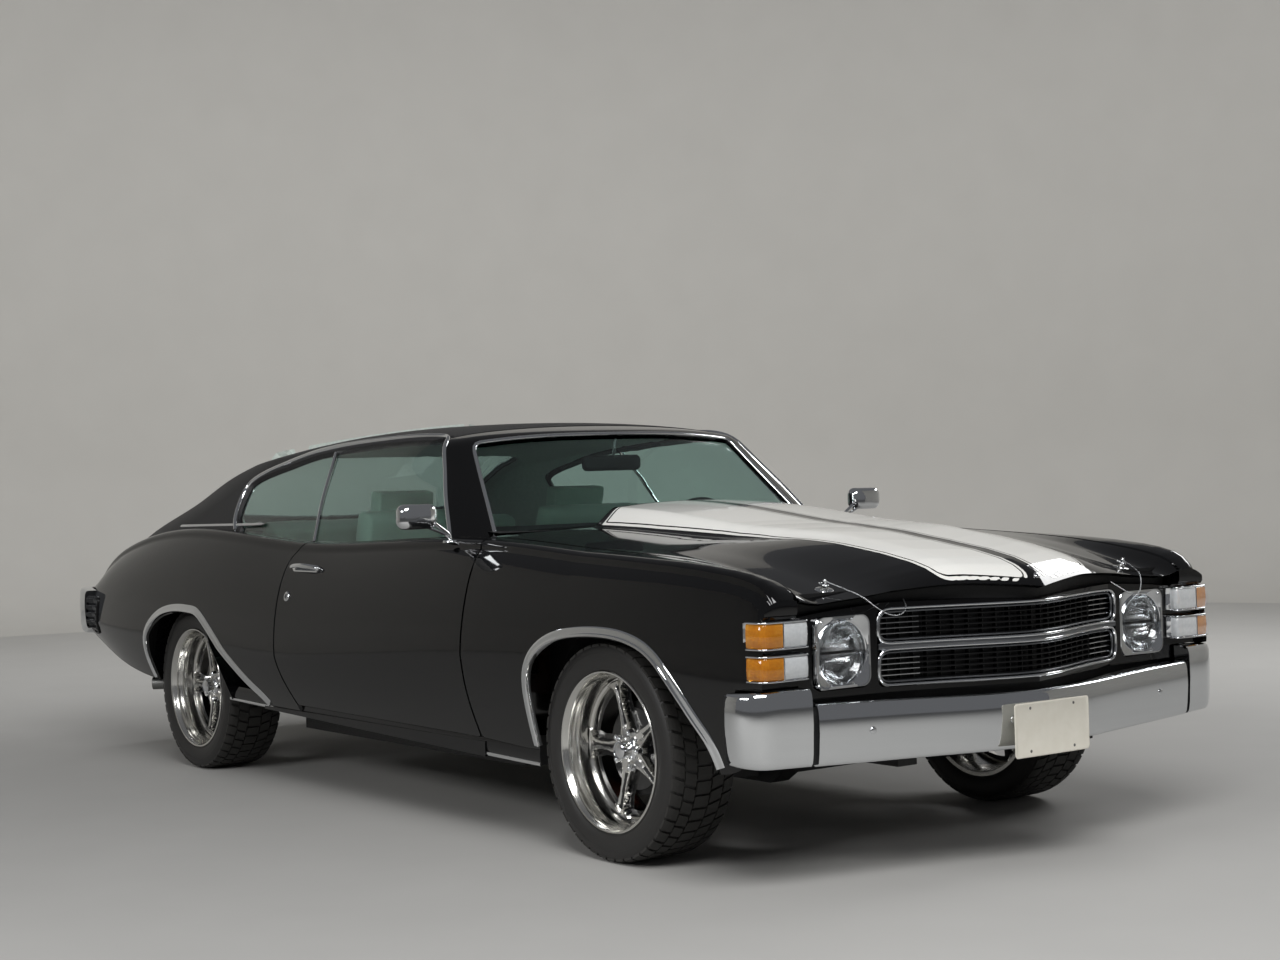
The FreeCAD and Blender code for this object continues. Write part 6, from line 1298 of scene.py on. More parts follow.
def lathe(name, profile, material, steps=96, sharp=35):
    """Turns a profile of (radius, outward y) about the wheel's axis."""
    angles = full_circle(steps)
    verts = [(r * math.cos(a), y, r * math.sin(a)) for a in angles for r, y in profile]
    n = len(profile)
    faces = [(i * n + k, i * n + k + 1, ((i + 1) % steps) * n + k + 1, ((i + 1) % steps) * n + k)
            for i in range(steps) for k in range(n - 1)]
    mesh = bpy.data.meshes.new(name)
    mesh.from_pydata(verts, [], faces)
    mesh.materials.append(material)
    bm = bmesh.new()
    bm.from_mesh(mesh)
    bmesh.ops.remove_doubles(bm, verts=bm.verts, dist=0.00005)
    bmesh.ops.recalc_face_normals(bm, faces=bm.faces)
    bm.to_mesh(mesh)
    bm.free()
    mesh.shade_smooth()
    mesh.set_sharp_from_angle(angle=math.radians(sharp))
    return mesh


barrel = lathe("wheel_barrel", [
    (0.2240, FACE - 0.012), (0.2290, FACE - 0.006), (0.2320, FACE - 0.001), (0.2360, FACE),
    (0.2385, FACE - 0.002),
    (0.2390, FACE - 0.006), (0.2375, FACE - 0.010), (0.2300, FACE - 0.014), (0.2288, FACE - 0.030),
    (0.2160, FACE - 0.060),
    (0.2160, -0.050), (0.2285, -0.080), (0.2290, -0.102), (0.2385, -0.108), (0.2385, -0.112),
    (0.2260, -0.110),
    (0.2220, -0.098), (0.2100, -0.060), (0.2100, 0.000), (0.2060, 0.008), (0.2040, 0.0165), (0.2085, 0.0205),
    (0.2135, 0.024), (0.2140, 0.050), (0.2150, 0.068), (0.2190, 0.076), (0.2215, 0.090),
    (0.2240, FACE - 0.012)], turned_metal)


def wheel_disc():
    """The spoked disc as a height over polar directions, in two materials, black and bright."""
    radii = np.concatenate((np.linspace(0.030, 0.0600, 6), np.linspace(0.0600, 0.2070, 44)[1:]))
    angles = full_circle(400)
    r, a = np.meshgrid(radii, angles, indexing="ij")
    turn = 2 * math.pi / 5
    off = (a + turn / 2) % turn - turn / 2
    lateral = np.abs(r * np.sin(off))
    half = np.interp(r, (0.03, 0.075, 0.11, 0.155, 0.185, 0.207),
            (0.040, 0.0235, 0.0165, 0.0155, 0.022, 0.050))
    spoke = np.clip((half - lateral) / 0.0035, 0, 1)
    ridge = np.clip(lateral / (0.55 * half), 0, 1)
    y = 0.006 + spoke * (0.022 - 0.006 * (1 - ridge)) * np.where(r < 0.07, 1.0, 1.0)
    y += np.clip((0.075 - r) / 0.03, 0, 1) * 0.006
    y = np.where(r > 0.198, np.maximum(y, 0.020), y)
    opening = (lateral > half + 0.016) & (r > 0.120) & (r < 0.185)
    verts = np.column_stack(((r * np.cos(a)).ravel(), y.ravel(), (r * np.sin(a)).ravel()))
    cols = len(angles)
    mesh = bpy.data.meshes.new("wheel_disc")
    faces, kind = [], []
    for i in range(len(radii) - 1):
        for j in range(cols):
            k = (j + 1) % cols
            if opening[i, j] and opening[i + 1, k]:
                continue
            faces.append((i * cols + j, (i + 1) * cols + j, (i + 1) * cols + k, i * cols + k))
            top = min(spoke[i, j], spoke[i + 1, k]) > 0.3
            inner = ridge[i, j] < 0.5 and 0.075 < r[i, j] < 0.19
            kind.append(0 if (top and not inner) or r[i, j] > 0.196 or r[i, j] < 0.058 else 1)
    mesh.from_pydata([tuple(v) for v in verts], [], faces)
    mesh.materials.append(turned_metal)
    mesh.materials.append(wheel_black)
    mesh.polygons.foreach_set("material_index", kind)
    bm = bmesh.new()
    bm.from_mesh(mesh)
    bmesh.ops.recalc_face_normals(bm, faces=bm.faces)
    if sum(f.normal.y * f.calc_area() for f in bm.faces) < 0:
        bmesh.ops.reverse_faces(bm, faces=bm.faces)
    bm.to_mesh(mesh)
    bm.free()
    mesh.shade_smooth()
    mesh.set_sharp_from_angle(angle=math.radians(40))
    return mesh


disc = wheel_disc()
cap = lathe("wheel_cap", [(0.0, 0.0720), (0.012, 0.0718), (0.020, 0.0700), (0.0245, 0.0665),
        (0.0258, 0.0690), (0.0272, 0.0685), (0.0278, 0.0650), (0.0268, 0.0500), (0.0262, 0.0400),
        (0.0300, 0.0340), (0.0360, 0.0310), (0.0380, 0.0270), (0.0380, 0.0200)], chrome, 64)
nut_profile = [(0.0, 0.052), (0.004, 0.0515), (0.0075, 0.049), (0.0098, 0.046), (0.0102, 0.030),
        (0.0115, 0.028)]
nut = lathe("wheel_nut", nut_profile, chrome, 12, 25)
drum = lathe("brake_drum",
        [(0.03, -0.004), (0.120, -0.004), (0.138, -0.010), (0.140, -0.020), (0.140, -0.046),
        (0.02, -0.046)], satin_black, 64)
print("wheel faces:", len(barrel.polygons), len(disc.polygons))

# %% [markdown]
# The tyre's tread has five ribs divided by grooves, cut across by slots into blocks, and the
# outermost blocks reach over the shoulder. Blocks are raised geometry, about 8 mm high, because the
# front tyre stands close to the camera and its edge is seen against the floor.

# %% Tyre
TREAD = 0.3250
side_profile = [(0.2283, 0.1010), (0.2330, 0.1040), (0.2400, 0.1075), (0.2405, 0.1090), (0.2450, 0.1090),
        (0.2480, 0.1110),
        (0.2600, 0.1150), (0.2750, 0.1170), (0.2880, 0.1165), (0.2882, 0.1172), (0.2900, 0.1170),
        (0.2980, 0.1150), (0.3050, 0.1130), (0.3120, 0.1085), (0.3165, 0.1040)]
profile = side_profile + [(r, -y) for r, y in side_profile[::-1]]
inside = [(0.2300, -0.0900), (0.2600, -0.1050), (0.3000, -0.1000), (0.3080, -0.0800), (0.3080, 0.0800),
        (0.3000, 0.1000), (0.2600, 0.1050), (0.2300, 0.0900), (0.2283, 0.1010)]
carcass = lathe("tyre_carcass", profile + inside, sidewall_rubber, 120, 30)


def tread_blocks():
    verts, faces = [], []
    rows = ((-0.1100, -0.0740, 46, 0.35), (-0.0690, -0.0300, 46, 0.0), (-0.0250, 0.0250, 46, 0.5),
            (0.0300, 0.0690, 46, 0.0), (0.0740, 0.1100, 46, 0.35))
    for y0, y1, count, shift in rows:
        shoulder = abs(y0 + y1) > 0.15
        for k in range(count):
            start = 2 * math.pi * (k + shift) / count
            width = 2 * math.pi / count * 0.80
            skew = 0.010 if y0 < 0 else -0.010
            if not shoulder and y0 < 0 < y1:
                skew = 0.0
            steps = 3
            ys = np.linspace(y0, y1, 3 if not shoulder else 5)
            base = len(verts)
            for level in (0, 1):
                for i in range(steps + 1):
                    for y in ys:
                        angle = start + width * i / steps + skew * (y - y0) / (y1 - y0) * 4
                        edge = max(0.0, abs(y) - 0.086)
                        top = TREAD - 0.0008 - 9.0 * edge ** 2 - 0.9 * (abs(y) / 0.11) ** 4 * 0.002
                        radius = top if level else 0.3105 - edge * 0.10
                        verts.append((radius * math.cos(angle),
                                y if abs(y) < 0.109 or level == 0 else y * 1.004, radius * math.sin(angle)))
            n = len(ys)
            lower, upper = base, base + (steps + 1) * n
            for i in range(steps):
                for j in range(n - 1):
                    faces.append((upper + i * n + j, upper + i * n + j + 1, upper + (i + 1) * n + j + 1,
                            upper + (i + 1) * n + j))
                for j, flip in ((0, False), (n - 1, True)):
                    face = (lower + i * n + j, lower + (i + 1) * n + j, upper + (i + 1) * n + j,
                            upper + i * n + j)
                    faces.append(face[::-1] if flip else face)
            for i in (0, steps):
                for j in range(n - 1):
                    faces.append((lower + i * n + j, lower + i * n + j + 1, upper + i * n + j + 1,
                            upper + i * n + j))
    mesh = bpy.data.meshes.new("tyre_tread")
    mesh.from_pydata(verts, [], faces)
    mesh.materials.append(tyre_rubber)
    bm = bmesh.new()
    bm.from_mesh(mesh)
    bmesh.ops.recalc_face_normals(bm, faces=bm.faces)
    bm.to_mesh(mesh)
    bm.free()
    return mesh


belt = lathe("tyre_belt", [(0.3165, -0.1040), (0.3155, -0.0960), (0.3150, -0.0400), (0.3150, 0.0400),
        (0.3155, 0.0960), (0.3165, 0.1040)], tyre_rubber, 120, 60)
tread = tread_blocks()
HALF_TRACK = 0.7635


def place_copy(name, mesh, body, matrix):
    piece = bpy.data.objects.new(name, mesh)
    bpy.context.scene.collection.objects.link(piece)
    piece.matrix_world = matrix
    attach(piece, body)
    return piece


for end, x in (("front", FRONT_AXLE), ("rear", REAR_AXLE)):
    for hand, sign in HANDS:
        body = f"wheel_{end}_{hand}"
        turn = Matrix.Rotation(math.radians(0 if sign > 0 else 180), 4, "Z")
        where = Matrix.Translation((x, sign * HALF_TRACK, TYRE_RADIUS)) @ turn
        for part, mesh, slot_name in (("barrel", barrel, "rim_metal"), ("disc", disc, "rim_metal"),
                ("cap", cap, "rim_metal"), ("drum", drum, "rim_metal")):
            piece = place_copy(f"{part}_{end}_{hand}", mesh, body, where)
            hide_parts(f"rim_{end}_{hand}")
        for k in range(5):
            angle = 2 * math.pi * (k + 0.5) / 5
            spot = where @ Matrix.Translation((0.0545 * math.cos(angle), 0.0, 0.0545 * math.sin(angle)))
            piece = place_copy(f"nut_{end}_{hand}_{k}", nut, body, spot)
            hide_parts(f"rim_{end}_{hand}")
        for part, mesh in (("carcass", carcass), ("belt", belt), ("tread", tread)):
            piece = place_copy(f"{part}_{end}_{hand}", mesh, body, where)
            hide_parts(f"tyre_{end}_{hand}")
print("tyre faces:", len(carcass.polygons), len(tread.polygons))

# %% [markdown]
# A bumper of this kind is one steel pressing: a tall, slightly bowed face, a rolled top edge that
# leads into a flat shelf, and a rolled lower edge. Its profile is swept along a line in plan. The
# front bumper is three pressings side by side, a centre blade and two taller wing ends, with a dark
# gap between them.

# %% Bumpers
def bumper_pressing(name, rows, end, mirrored_hand=0, ends=True,
        replaced="front_bumper"):
    """rows: x, y, inward normal x and y, bottom z, top z. One hand, or both where y starts at 0."""
    at = np.array([r[1] for r in rows])
    track = np.concatenate(((0,), np.cumsum(np.hypot(np.diff([r[0] for r in rows]), np.diff(at)))))
    table = np.array(rows, float)
    read = smooth_line(track, table)
    steps = np.linspace(0, track[-1], max(8, int(track[-1] / 0.02)))
    line = read(steps)
    if mirrored_hand == 0:
        line = np.vstack((line[:0:-1] * (1, -1, 1, -1, 1, 1), line))
    elif mirrored_hand < 0:
        line = line * (1, -1, 1, -1, 1, 1)
    verts, faces = [], []
    for x, y, nx, ny, bottom, top in line:
        inward = np.array((-end * nx, -ny))
        inward /= np.linalg.norm(inward)
        rise = top - bottom
        profile = [(0.050, 0.012), (0.034, 0.004), (0.022, 0.000), (0.014, 0.002), (0.0085, 0.010),
                (0.0065, 0.020),
                (0.0040, 0.036), (0.0015, 0.42 * rise), (0.0, 0.55 * rise), (0.0006, 0.72 * rise),
                (0.0022, rise - 0.024), (0.0040, rise - 0.014), (0.0075, rise - 0.0055),
                (0.0130, rise - 0.0010), (0.0200, rise), (0.0580, rise)]
        for back, z in profile:
            verts.append((end * x + inward[0] * back, y + inward[1] * back, bottom + z))
    n = len(profile)
    faces = grid_faces(len(line), n)
    if ends:
        faces += [tuple(range(n))[::-1], tuple(range((len(line) - 1) * n, len(line) * n))]
    piece = body_piece(name, chrome, "chassis", verts, faces)
    outward(piece.data, 55)
    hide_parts(replaced)
    return piece


def bumper_rows(shares):
    return [(x * LENGTH, y * HALF_WIDTH, nx, ny, low * HEIGHT, high * HEIGHT) for x, y, nx, ny, low,
            high in shares]


FRONT_BLADE = bumper_rows(((0.4975, 0.000, 1.0, 0.0, 0.252, 0.372), (0.4940, 0.180, 1.0, 0.02, 0.252, 0.372),
        (0.4868, 0.400, 1.0, 0.04, 0.254, 0.376), (0.4796, 0.620, 1.0, 0.05, 0.256, 0.380),
        (0.4741, 0.790, 1.0, 0.06, 0.258, 0.382)))
FRONT_WING = bumper_rows(((0.4733, 0.808, 1.0, 0.06, 0.259, 0.414), (0.4690, 0.900, 1.0, 0.25, 0.259, 0.414),
        (0.4640, 0.970, 0.7, 0.7, 0.260, 0.413), (0.4560, 0.996, 0.2, 1.0, 0.262, 0.412),
        (0.4440, 1.000, 0.0, 1.0, 0.264, 0.410)))
REAR_BLADE = bumper_rows(((0.5000, 0.000, 1.0, 0.0, 0.364, 0.520), (0.4985, 0.300, 1.0, 0.0, 0.364, 0.520),
        (0.4935, 0.600, 1.0, 0.0, 0.364, 0.521), (0.4880, 0.800, 1.0, 0.1, 0.366, 0.523),
        (0.4800, 0.925, 0.8, 0.6, 0.370, 0.523), (0.4690, 0.968, 0.2, 1.0, 0.378, 0.523),
        (0.4500, 0.984, 0.0, 1.0, 0.392, 0.515)))
bumper_pressing("front_bumper_blade", FRONT_BLADE, 1)
for hand, sign in HANDS:
    bumper_pressing(f"front_bumper_wing_{hand}", FRONT_WING, 1, mirrored_hand=sign)
bumper_pressing("rear_bumper_blade", REAR_BLADE, -1, replaced="rear_bumper")


def round_head(name, place, axis, radius, height, material, body, replaced=None,
        steps=24):
    """A domed round head, such as a bolt, stud or push button."""
    axis = Vector(axis).normalized()
    side_a = axis.orthogonal().normalized()
    side_b = axis.cross(side_a)
    profile = ((1.0, 0.0), (1.0, 0.45), (0.92, 0.75), (0.7, 0.93), (0.35, 1.0))
    verts = [Vector(place) + side_a * (radius * f * math.cos(a)) + side_b * (radius * f * math.sin(a))
            + axis * (height * h) for f, h in profile for a in full_circle(steps)]
    faces = grid_faces(len(profile), steps, closed=True)
    faces.append(tuple(range((len(profile) - 1) * steps, len(profile) * steps)))
    piece = body_piece(name, material, body, [tuple(v) for v in verts], faces)
    piece.data.set_sharp_from_angle(angle=math.radians(50))
    if replaced:
        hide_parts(replaced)
    return piece


def blade_face(y, z_share=0.5):
    """A point on the front face of the front bumper."""
    rows = np.array(FRONT_BLADE if abs(y) < 0.765 else FRONT_WING)
    x = float(np.interp(abs(y), rows[:, 1], rows[:, 0]))
    low, high = (float(np.interp(abs(y), rows[:, 1], rows[:, k])) for k in (4, 5))
    return x, low + (high - low) * z_share


for k, y in enumerate((-0.590, -0.130, 0.130, 0.590)):
    x, z = blade_face(y, 0.53)
    round_head(f"bumper_bolt_{k}", (x - 0.002, y, z), (1, 0, 0), 0.0105, 0.005, chrome, "chassis",
            "front_bumper")
for hand, sign in HANDS:
    x, z = blade_face(0.885, 0.55)
    round_head(f"bumper_bolt_wing_{hand}", (x - 0.003, sign * 0.885, z), (1, sign * 0.25, 0), 0.0105, 0.005,
            chrome, "chassis", "front_bumper")
    strip = [(0.4440 * LENGTH - 0.003, sign * (HALF_WIDTH - 0.0015), z) for z in np.linspace(0.268, 0.405,
            14) * HEIGHT]
    normals = same_normal((0.0, sign, 0.0), len(strip))
    edge = swept_trim(f"bumper_end_seal_{hand}", seal_rubber, "chassis", np.array(strip), normals,
            [(-0.004, -0.010), (-0.004, 0.0), (0.004, 0.0), (0.004, -0.010)])
    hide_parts("front_bumper")
    gap = body_piece(f"bumper_gap_{hand}", seal_rubber, "chassis",
            [(0.4700 * LENGTH, sign * y, z) for y in (0.750, 0.780) for z in (0.262 * HEIGHT,
            0.376 * HEIGHT)], [(0, 1, 3, 2)])
    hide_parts("front_bumper")
print("bumpers done")

# %% [markdown]
# Behind the bumper blades run the brackets that hold them, and the number plate's seat. The plate
# is a 305 by 152 mm aluminium sheet, left blank, with rounded corners and four screws.

# %% Brackets and number plate
def box_piece(name, material, body, low, high, bevel=0.002, replaced=None, segments=2):
    """A block with its edges rounded over."""
    bm = bmesh.new()
    bmesh.ops.create_cube(bm, size=1.0)
    size, centre = np.subtract(high, low), np.add(high, low) / 2
    for v in bm.verts:
        v.co = Vector(centre + np.array(v.co) * size)
    bmesh.ops.bevel(bm, geom=list(bm.edges), offset=bevel, segments=segments, affect="EDGES", profile=0.5)
    mesh = bpy.data.meshes.new(name)
    bm.to_mesh(mesh)
    bm.free()
    mesh.materials.append(material)
    mesh.shade_smooth()
    mesh.set_sharp_from_angle(angle=math.radians(40))
    piece = bpy.data.objects.new(name, mesh)
    bpy.context.scene.collection.objects.link(piece)
    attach(piece, body)
    if replaced:
        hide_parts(replaced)
    return piece


box_piece("front_plate_seat", satin_black, "chassis", (2.446, -0.070, 0.353), (2.505, 0.070, 0.429), 0.004,
        "front_bumper")
for hand, sign in HANDS:
    for place, x0, x1, y, z0, z1, replaced in (("front", 2.15, 2.395, 0.365, 0.352, 0.470, "front_bumper"),
            ("rear", -2.420, -2.20, 0.515, 0.500, 0.600, "rear_bumper")):
        low, high = sorted((sign * (y - 0.025), sign * (y + 0.025)))
        box_piece(f"{place}_bumper_bracket_{hand}", satin_black, "chassis", (x0, low, z0), (x1, high, z1),
                0.004, replaced)


def plate_sheet():
    verts, faces = [], []
    outline = rounded_rectangle(-0.1525, 0.1525, 0.3153, 0.4673, (0.010,) * 4, 8)
    centre = outline.mean(0)
    rings = ((0.0, -0.0020), (0.0, -0.0006), (0.0015, 0.0), (0.0045, 0.0), (0.0060, -0.0007))
    count = len(outline)
    for inset, depth in rings:
        shift = outline - centre
        half = np.abs(shift).max(0)
        for p in centre + shift * (1 - inset / half):
            verts.append((2.508 + depth, p[0], p[1]))
    for r in range(len(rings) - 1):
        faces += [(r * count + k, r * count + (k + 1) % count, (r + 1) * count + (k + 1) % count,
                (r + 1) * count + k) for k in range(count)]
    faces.append(tuple(range((len(rings) - 1) * count, len(rings) * count)))
    faces.append(tuple(range(count))[::-1])
    return verts, faces


plate = body_piece("number_plate", plate_enamel, "chassis", *plate_sheet())
plate.data.set_sharp_from_angle(angle=math.radians(30))
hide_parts("front_plate")
for k, (y, z) in enumerate(((-0.0889, 0.3313), (0.0889, 0.3313), (-0.0889, 0.4517), (0.0889, 0.4517))):
    round_head(f"plate_screw_{k}", (2.5066, y, z), (1, 0, 0), 0.0045, 0.0014, steel, "chassis",
            "front_plate", 16)
print("plate done")

# %% [markdown]
# Hood pins are the racing way to hold a hood: a pin stands up through a chrome scuff plate, and a
# clip goes through it. A thin steel cable keeps each clip from being lost. The cable is a smooth
# curve guided by the same points that the CAD model uses.

# %% Hood pins and lanyards
LANYARD_ROUTE = ((2.256, 0.611, 0.828), (2.306, 0.596, 0.810), (2.356, 0.574, 0.790), (2.386, 0.541, 0.752),
        (2.403, 0.503, 0.730), (2.405, 0.462, 0.737), (2.388, 0.438, 0.757), (2.366, 0.428, 0.772))
braided_steel, shader = start_material("braided_steel_cable", "B9BBBD", 0.28, 1.0)
where = object_scale(braided_steel, 2.5)
strands = add_node(braided_steel, "ShaderNodeTexWave", {"wave_type": "BANDS", "bands_direction": "DIAGONAL"},
        {"Scale": 1.0}, {"Vector": (where, "Vector")})
bump = add_node(braided_steel, "ShaderNodeBump", values={"Distance": 0.0003},
        links={"Height": (strands, "Fac")})
braided_steel.node_tree.links.new(bump.outputs["Normal"], shader.inputs["Normal"])
pin_x, pin_y = 0.4484 * LENGTH, 0.640 * HALF_WIDTH
hood_tree = panel_tree([hood])
for hand, sign in HANDS:
    spot, normal = dropped(hood_tree, [(pin_x, sign * pin_y, 2.0)], (0, 0, -1))
    spot, normal = Vector(spot[0]), Vector(normal[0])
    tilt = Vector((0, 0, 1)).rotation_difference(normal).to_matrix().to_4x4()
    place = Matrix.Translation(spot) @ tilt
    scuff = lathe(f"scuff_plate_{hand}",
            [(0.0065, 0.0022), (0.012, 0.0026), (0.0215, 0.0024), (0.0250, 0.0014), (0.0262, -0.0005)],
            chrome, 40)
    pin = lathe(f"hood_pin_{hand}",
            [(0.0, 0.030), (0.003, 0.0298), (0.0052, 0.0275), (0.0058, 0.024), (0.0058, 0.0),
            (0.0062, -0.004)], chrome, 20)
    washer = lathe(f"pin_washer_{hand}",
            [(0.0058, 0.0065), (0.0105, 0.0062), (0.0110, 0.0045), (0.0110, 0.0022)], steel, 24)
    for part, mesh in (("scuff_plate", scuff), ("hood_pin", pin), ("pin_washer", washer)):
        piece = place_copy(f"{part}_{hand}", mesh, "hood", place @ Matrix.Rotation(math.radians(90), 4, "X"))
        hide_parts("hood_pins")
    loop = [(0.0165 * math.cos(a) - 0.004, 0.0095 * math.sin(a), 0.0145) for a in full_circle(28)]
    loop = np.array([place @ Vector(p) for p in loop])
    clip = swept_trim(f"hood_clip_{hand}", chrome, "hood", loop, np.tile(np.array(normal), (len(loop), 1)),
            [(0.0018 * math.cos(a), 0.0018 * math.sin(a)) for a in full_circle(8)], closed=True)
    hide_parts("hood_pins")
    curve = bpy.data.curves.new(f"lanyard_cable_{hand}", "CURVE")
    curve.dimensions = "3D"
    spline = curve.splines.new("NURBS")
    spline.points.add(len(LANYARD_ROUTE) - 1)
    for control, (x, y, z) in zip(spline.points, LANYARD_ROUTE):
        control.co = (x, sign * y, z, 1.0)
    spline.order_u = 3
    spline.use_endpoint_u = True
    spline.resolution_u = 12
    curve.bevel_depth = 0.0015
    curve.bevel_resolution = 3
    curve.materials.append(braided_steel)
    cable = bpy.data.objects.new(f"lanyard_cable_{hand}", curve)
    bpy.context.scene.collection.objects.link(cable)
    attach(cable, "hood")
    x, y, z = LANYARD_ROUTE[0]
    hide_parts(f"lanyard_{hand}")
print("pins and lanyards done")

# %% [markdown]
# The CAD pieces that keep their own shape get their finish here.

# %% Finishes of the CAD pieces
finishes = {
    "frame": satin_black, "underbody": black_enamel, "windshield_frame": black_enamel, "roof": roof_vinyl,
    "windshield": tinted_glass, "rear_window": tinted_glass, "quarter_glass": tinted_glass,
    "rear_deck": black_enamel, "front_panel": black_enamel, "grille": grille_plastic,
    "headlamps": lens_glass,
    "turn_lamps": amber_lens, "front_bumper": chrome, "rear_bumper": chrome, "tail_lamps": red_lens,
    "front_plate": plate_enamel, "engine": iron, "radiator": satin_black, "inner_fenders": satin_black,
    "front_suspension": satin_black, "rear_axle": satin_black, "exhaust": steel, "fuel_tank": steel,
    "dashboard": dash_vinyl, "steering_wheel": wheel_plastic, "front_seats": seat_vinyl,
    "rear_seat": seat_vinyl,
    "room_mirror": chrome, "hood": black_enamel, "hood_pins": chrome, "trunk_lid": black_enamel,}
for pair, finish in (("fender", black_enamel), ("door", black_enamel), ("door_glass", tinted_glass),
        ("door_mirror", chrome), ("quarter", black_enamel), ("knuckle", steel), ("lanyard", steel),
        ("tyre_front", tyre_rubber), ("tyre_rear", tyre_rubber), ("rim_front", chrome),
        ("rim_rear", chrome)):
    for hand in ("left", "right"):
        finishes[pair + "_" + hand] = finish
for node_name, finish in finishes.items():
    node_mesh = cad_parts[node_name].data
    node_mesh.materials.clear()
    node_mesh.materials.append(finish)
print("finished CAD pieces:", len(finishes))

# %% [markdown]
# Two wide white stripes run from the windshield to the nose over the bulge, with a thin black
# line inset all round each and a black band between them. They are sprayed paint, so each is a skin
# a fraction of a millimetre above the hood, cut out by its outline in plan. The front end of each
# stripe follows the nose's V, with rounded corners.

# %% Hood stripes
STRIPE_INNER = ((0.878, 0.024), (1.40, 0.024), (1.90, 0.024), (2.30, 0.024), (2.476, 0.024))
STRIPE_OUTER = ((2.392, 0.302), (2.330, 0.306), (2.200, 0.313), (2.050, 0.326), (1.850, 0.338),
        (1.650, 0.341), (1.470, 0.348), (1.330, 0.360), (1.190, 0.371), (1.030, 0.378), (0.885, 0.382))


def stripe_outline(inset):
    """Corner points of the left stripe in plan, from its rear inner corner round to the front."""
    line = np.array(STRIPE_INNER + STRIPE_OUTER)
    front = len(STRIPE_INNER)
    shift = np.zeros_like(line)
    shift[:front, 1] = inset
    shift[front:, 1] = -inset
    shift[[front - 1, front], 0] = -inset * 1.05
    shift[[0, -1], 0] = inset
    return rounded_corners(line + shift, {front - 1: 0.034 - inset, front: 0.052 - inset}, 10)


def stripe_surface(lift):
    def read(x, y):
        return np.stack((x, y, hood_level(x, y) + bulge_height(x, y) + lift), -1)
    return read


def painted_shape(name, material, outline, lift, sign, body="hood", hole=None):
    shape = inside_polygon(outline)
    cut = inside_polygon(hole) if hole is not None else None

    def keep(p):
        x, y = p[..., 0], sign * p[..., 1]
        distance = shape(x, y)
        return distance if cut is None else np.minimum(distance, -cut(x, y))

    low, high = np.min(outline, axis=0), np.max(outline, axis=0)
    u_values = np.arange(low[0] - 0.012, high[0] + 0.012, 0.010)
    v_values = np.sort(sign * np.arange(low[1] - 0.006, high[1] + 0.006, 0.005))
    verts, faces = clipped_grid(stripe_surface(lift), u_values, v_values, keep)
    piece = body_piece(name, material, body, verts, faces)
    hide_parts("hood")
    return piece


for hand, sign in HANDS:
    outer, line_out, line_in = stripe_outline(0.0), stripe_outline(0.010), stripe_outline(0.0145)
    painted_shape(f"stripe_edge_{hand}", stripe_enamel, outer, 0.0008, sign, hole=line_out)
    painted_shape(f"stripe_{hand}", stripe_enamel, line_in, 0.0008, sign)
stud_spot, stud_normal = dropped(hood_tree, [(2.462, 0.0, 2.0)], (0, 0, -1))
round_head("nose_stud", stud_spot[0], stud_normal[0], 0.0100, 0.006, chrome, "hood", "hood")
print("stripes done")

# %% [markdown]
# The small bright parts on the sides: a rounded chrome mirror on a forked stalk, a pull handle with
# its push button, a round lock, a thin moulding along the rocker's lower edge and one at the foot of
# the vinyl. A black louvred marker sits at the rear end of each quarter. Two black strips close the
# gaps above the grille and between the grille and the front bumper.

# %% Mirrors, handles and mouldings
def rounded_shell(name, material, body, centre, half, corner, depth, dome, replaced=None,
        face=None):
    """A mirror head: a rounded rectangle in y and z that swells forward, with a flat glass at its back."""
    rings = []
    levels = ((1.0, -depth * 0.5), (1.03, -depth * 0.42), (1.04, -depth * 0.2), (1.0, depth * 0.15),
            (0.90, depth * 0.36),
            (0.72, depth * 0.46), (0.45, depth * 0.5), (0.15, depth * (0.5 + 0.02 * dome)))
    for scale, x in levels:
        line = rounded_rectangle(-half[0] * scale, half[0] * scale, -half[1] * scale, half[1] * scale,
                (corner * scale,) * 4, 9)
        rings.append([(centre[0] + x, centre[1] + y, centre[2] + z) for y, z in line])
    shell = ring_grid(rings, name, material, body, close_centre=True)
    back = rounded_rectangle(-half[0] * 0.95, half[0] * 0.95, -half[1] * 0.93, half[1] * 0.93,
            (corner * 0.9,) * 4, 9)
    glass = body_piece(name + "_glass", face, body,
            [(centre[0] - depth * 0.44, centre[1] + y, centre[2] + z) for y, z in back],
            [tuple(range(len(back)))])
    for piece in (shell, glass):
        if replaced:
            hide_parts(replaced)
    return shell


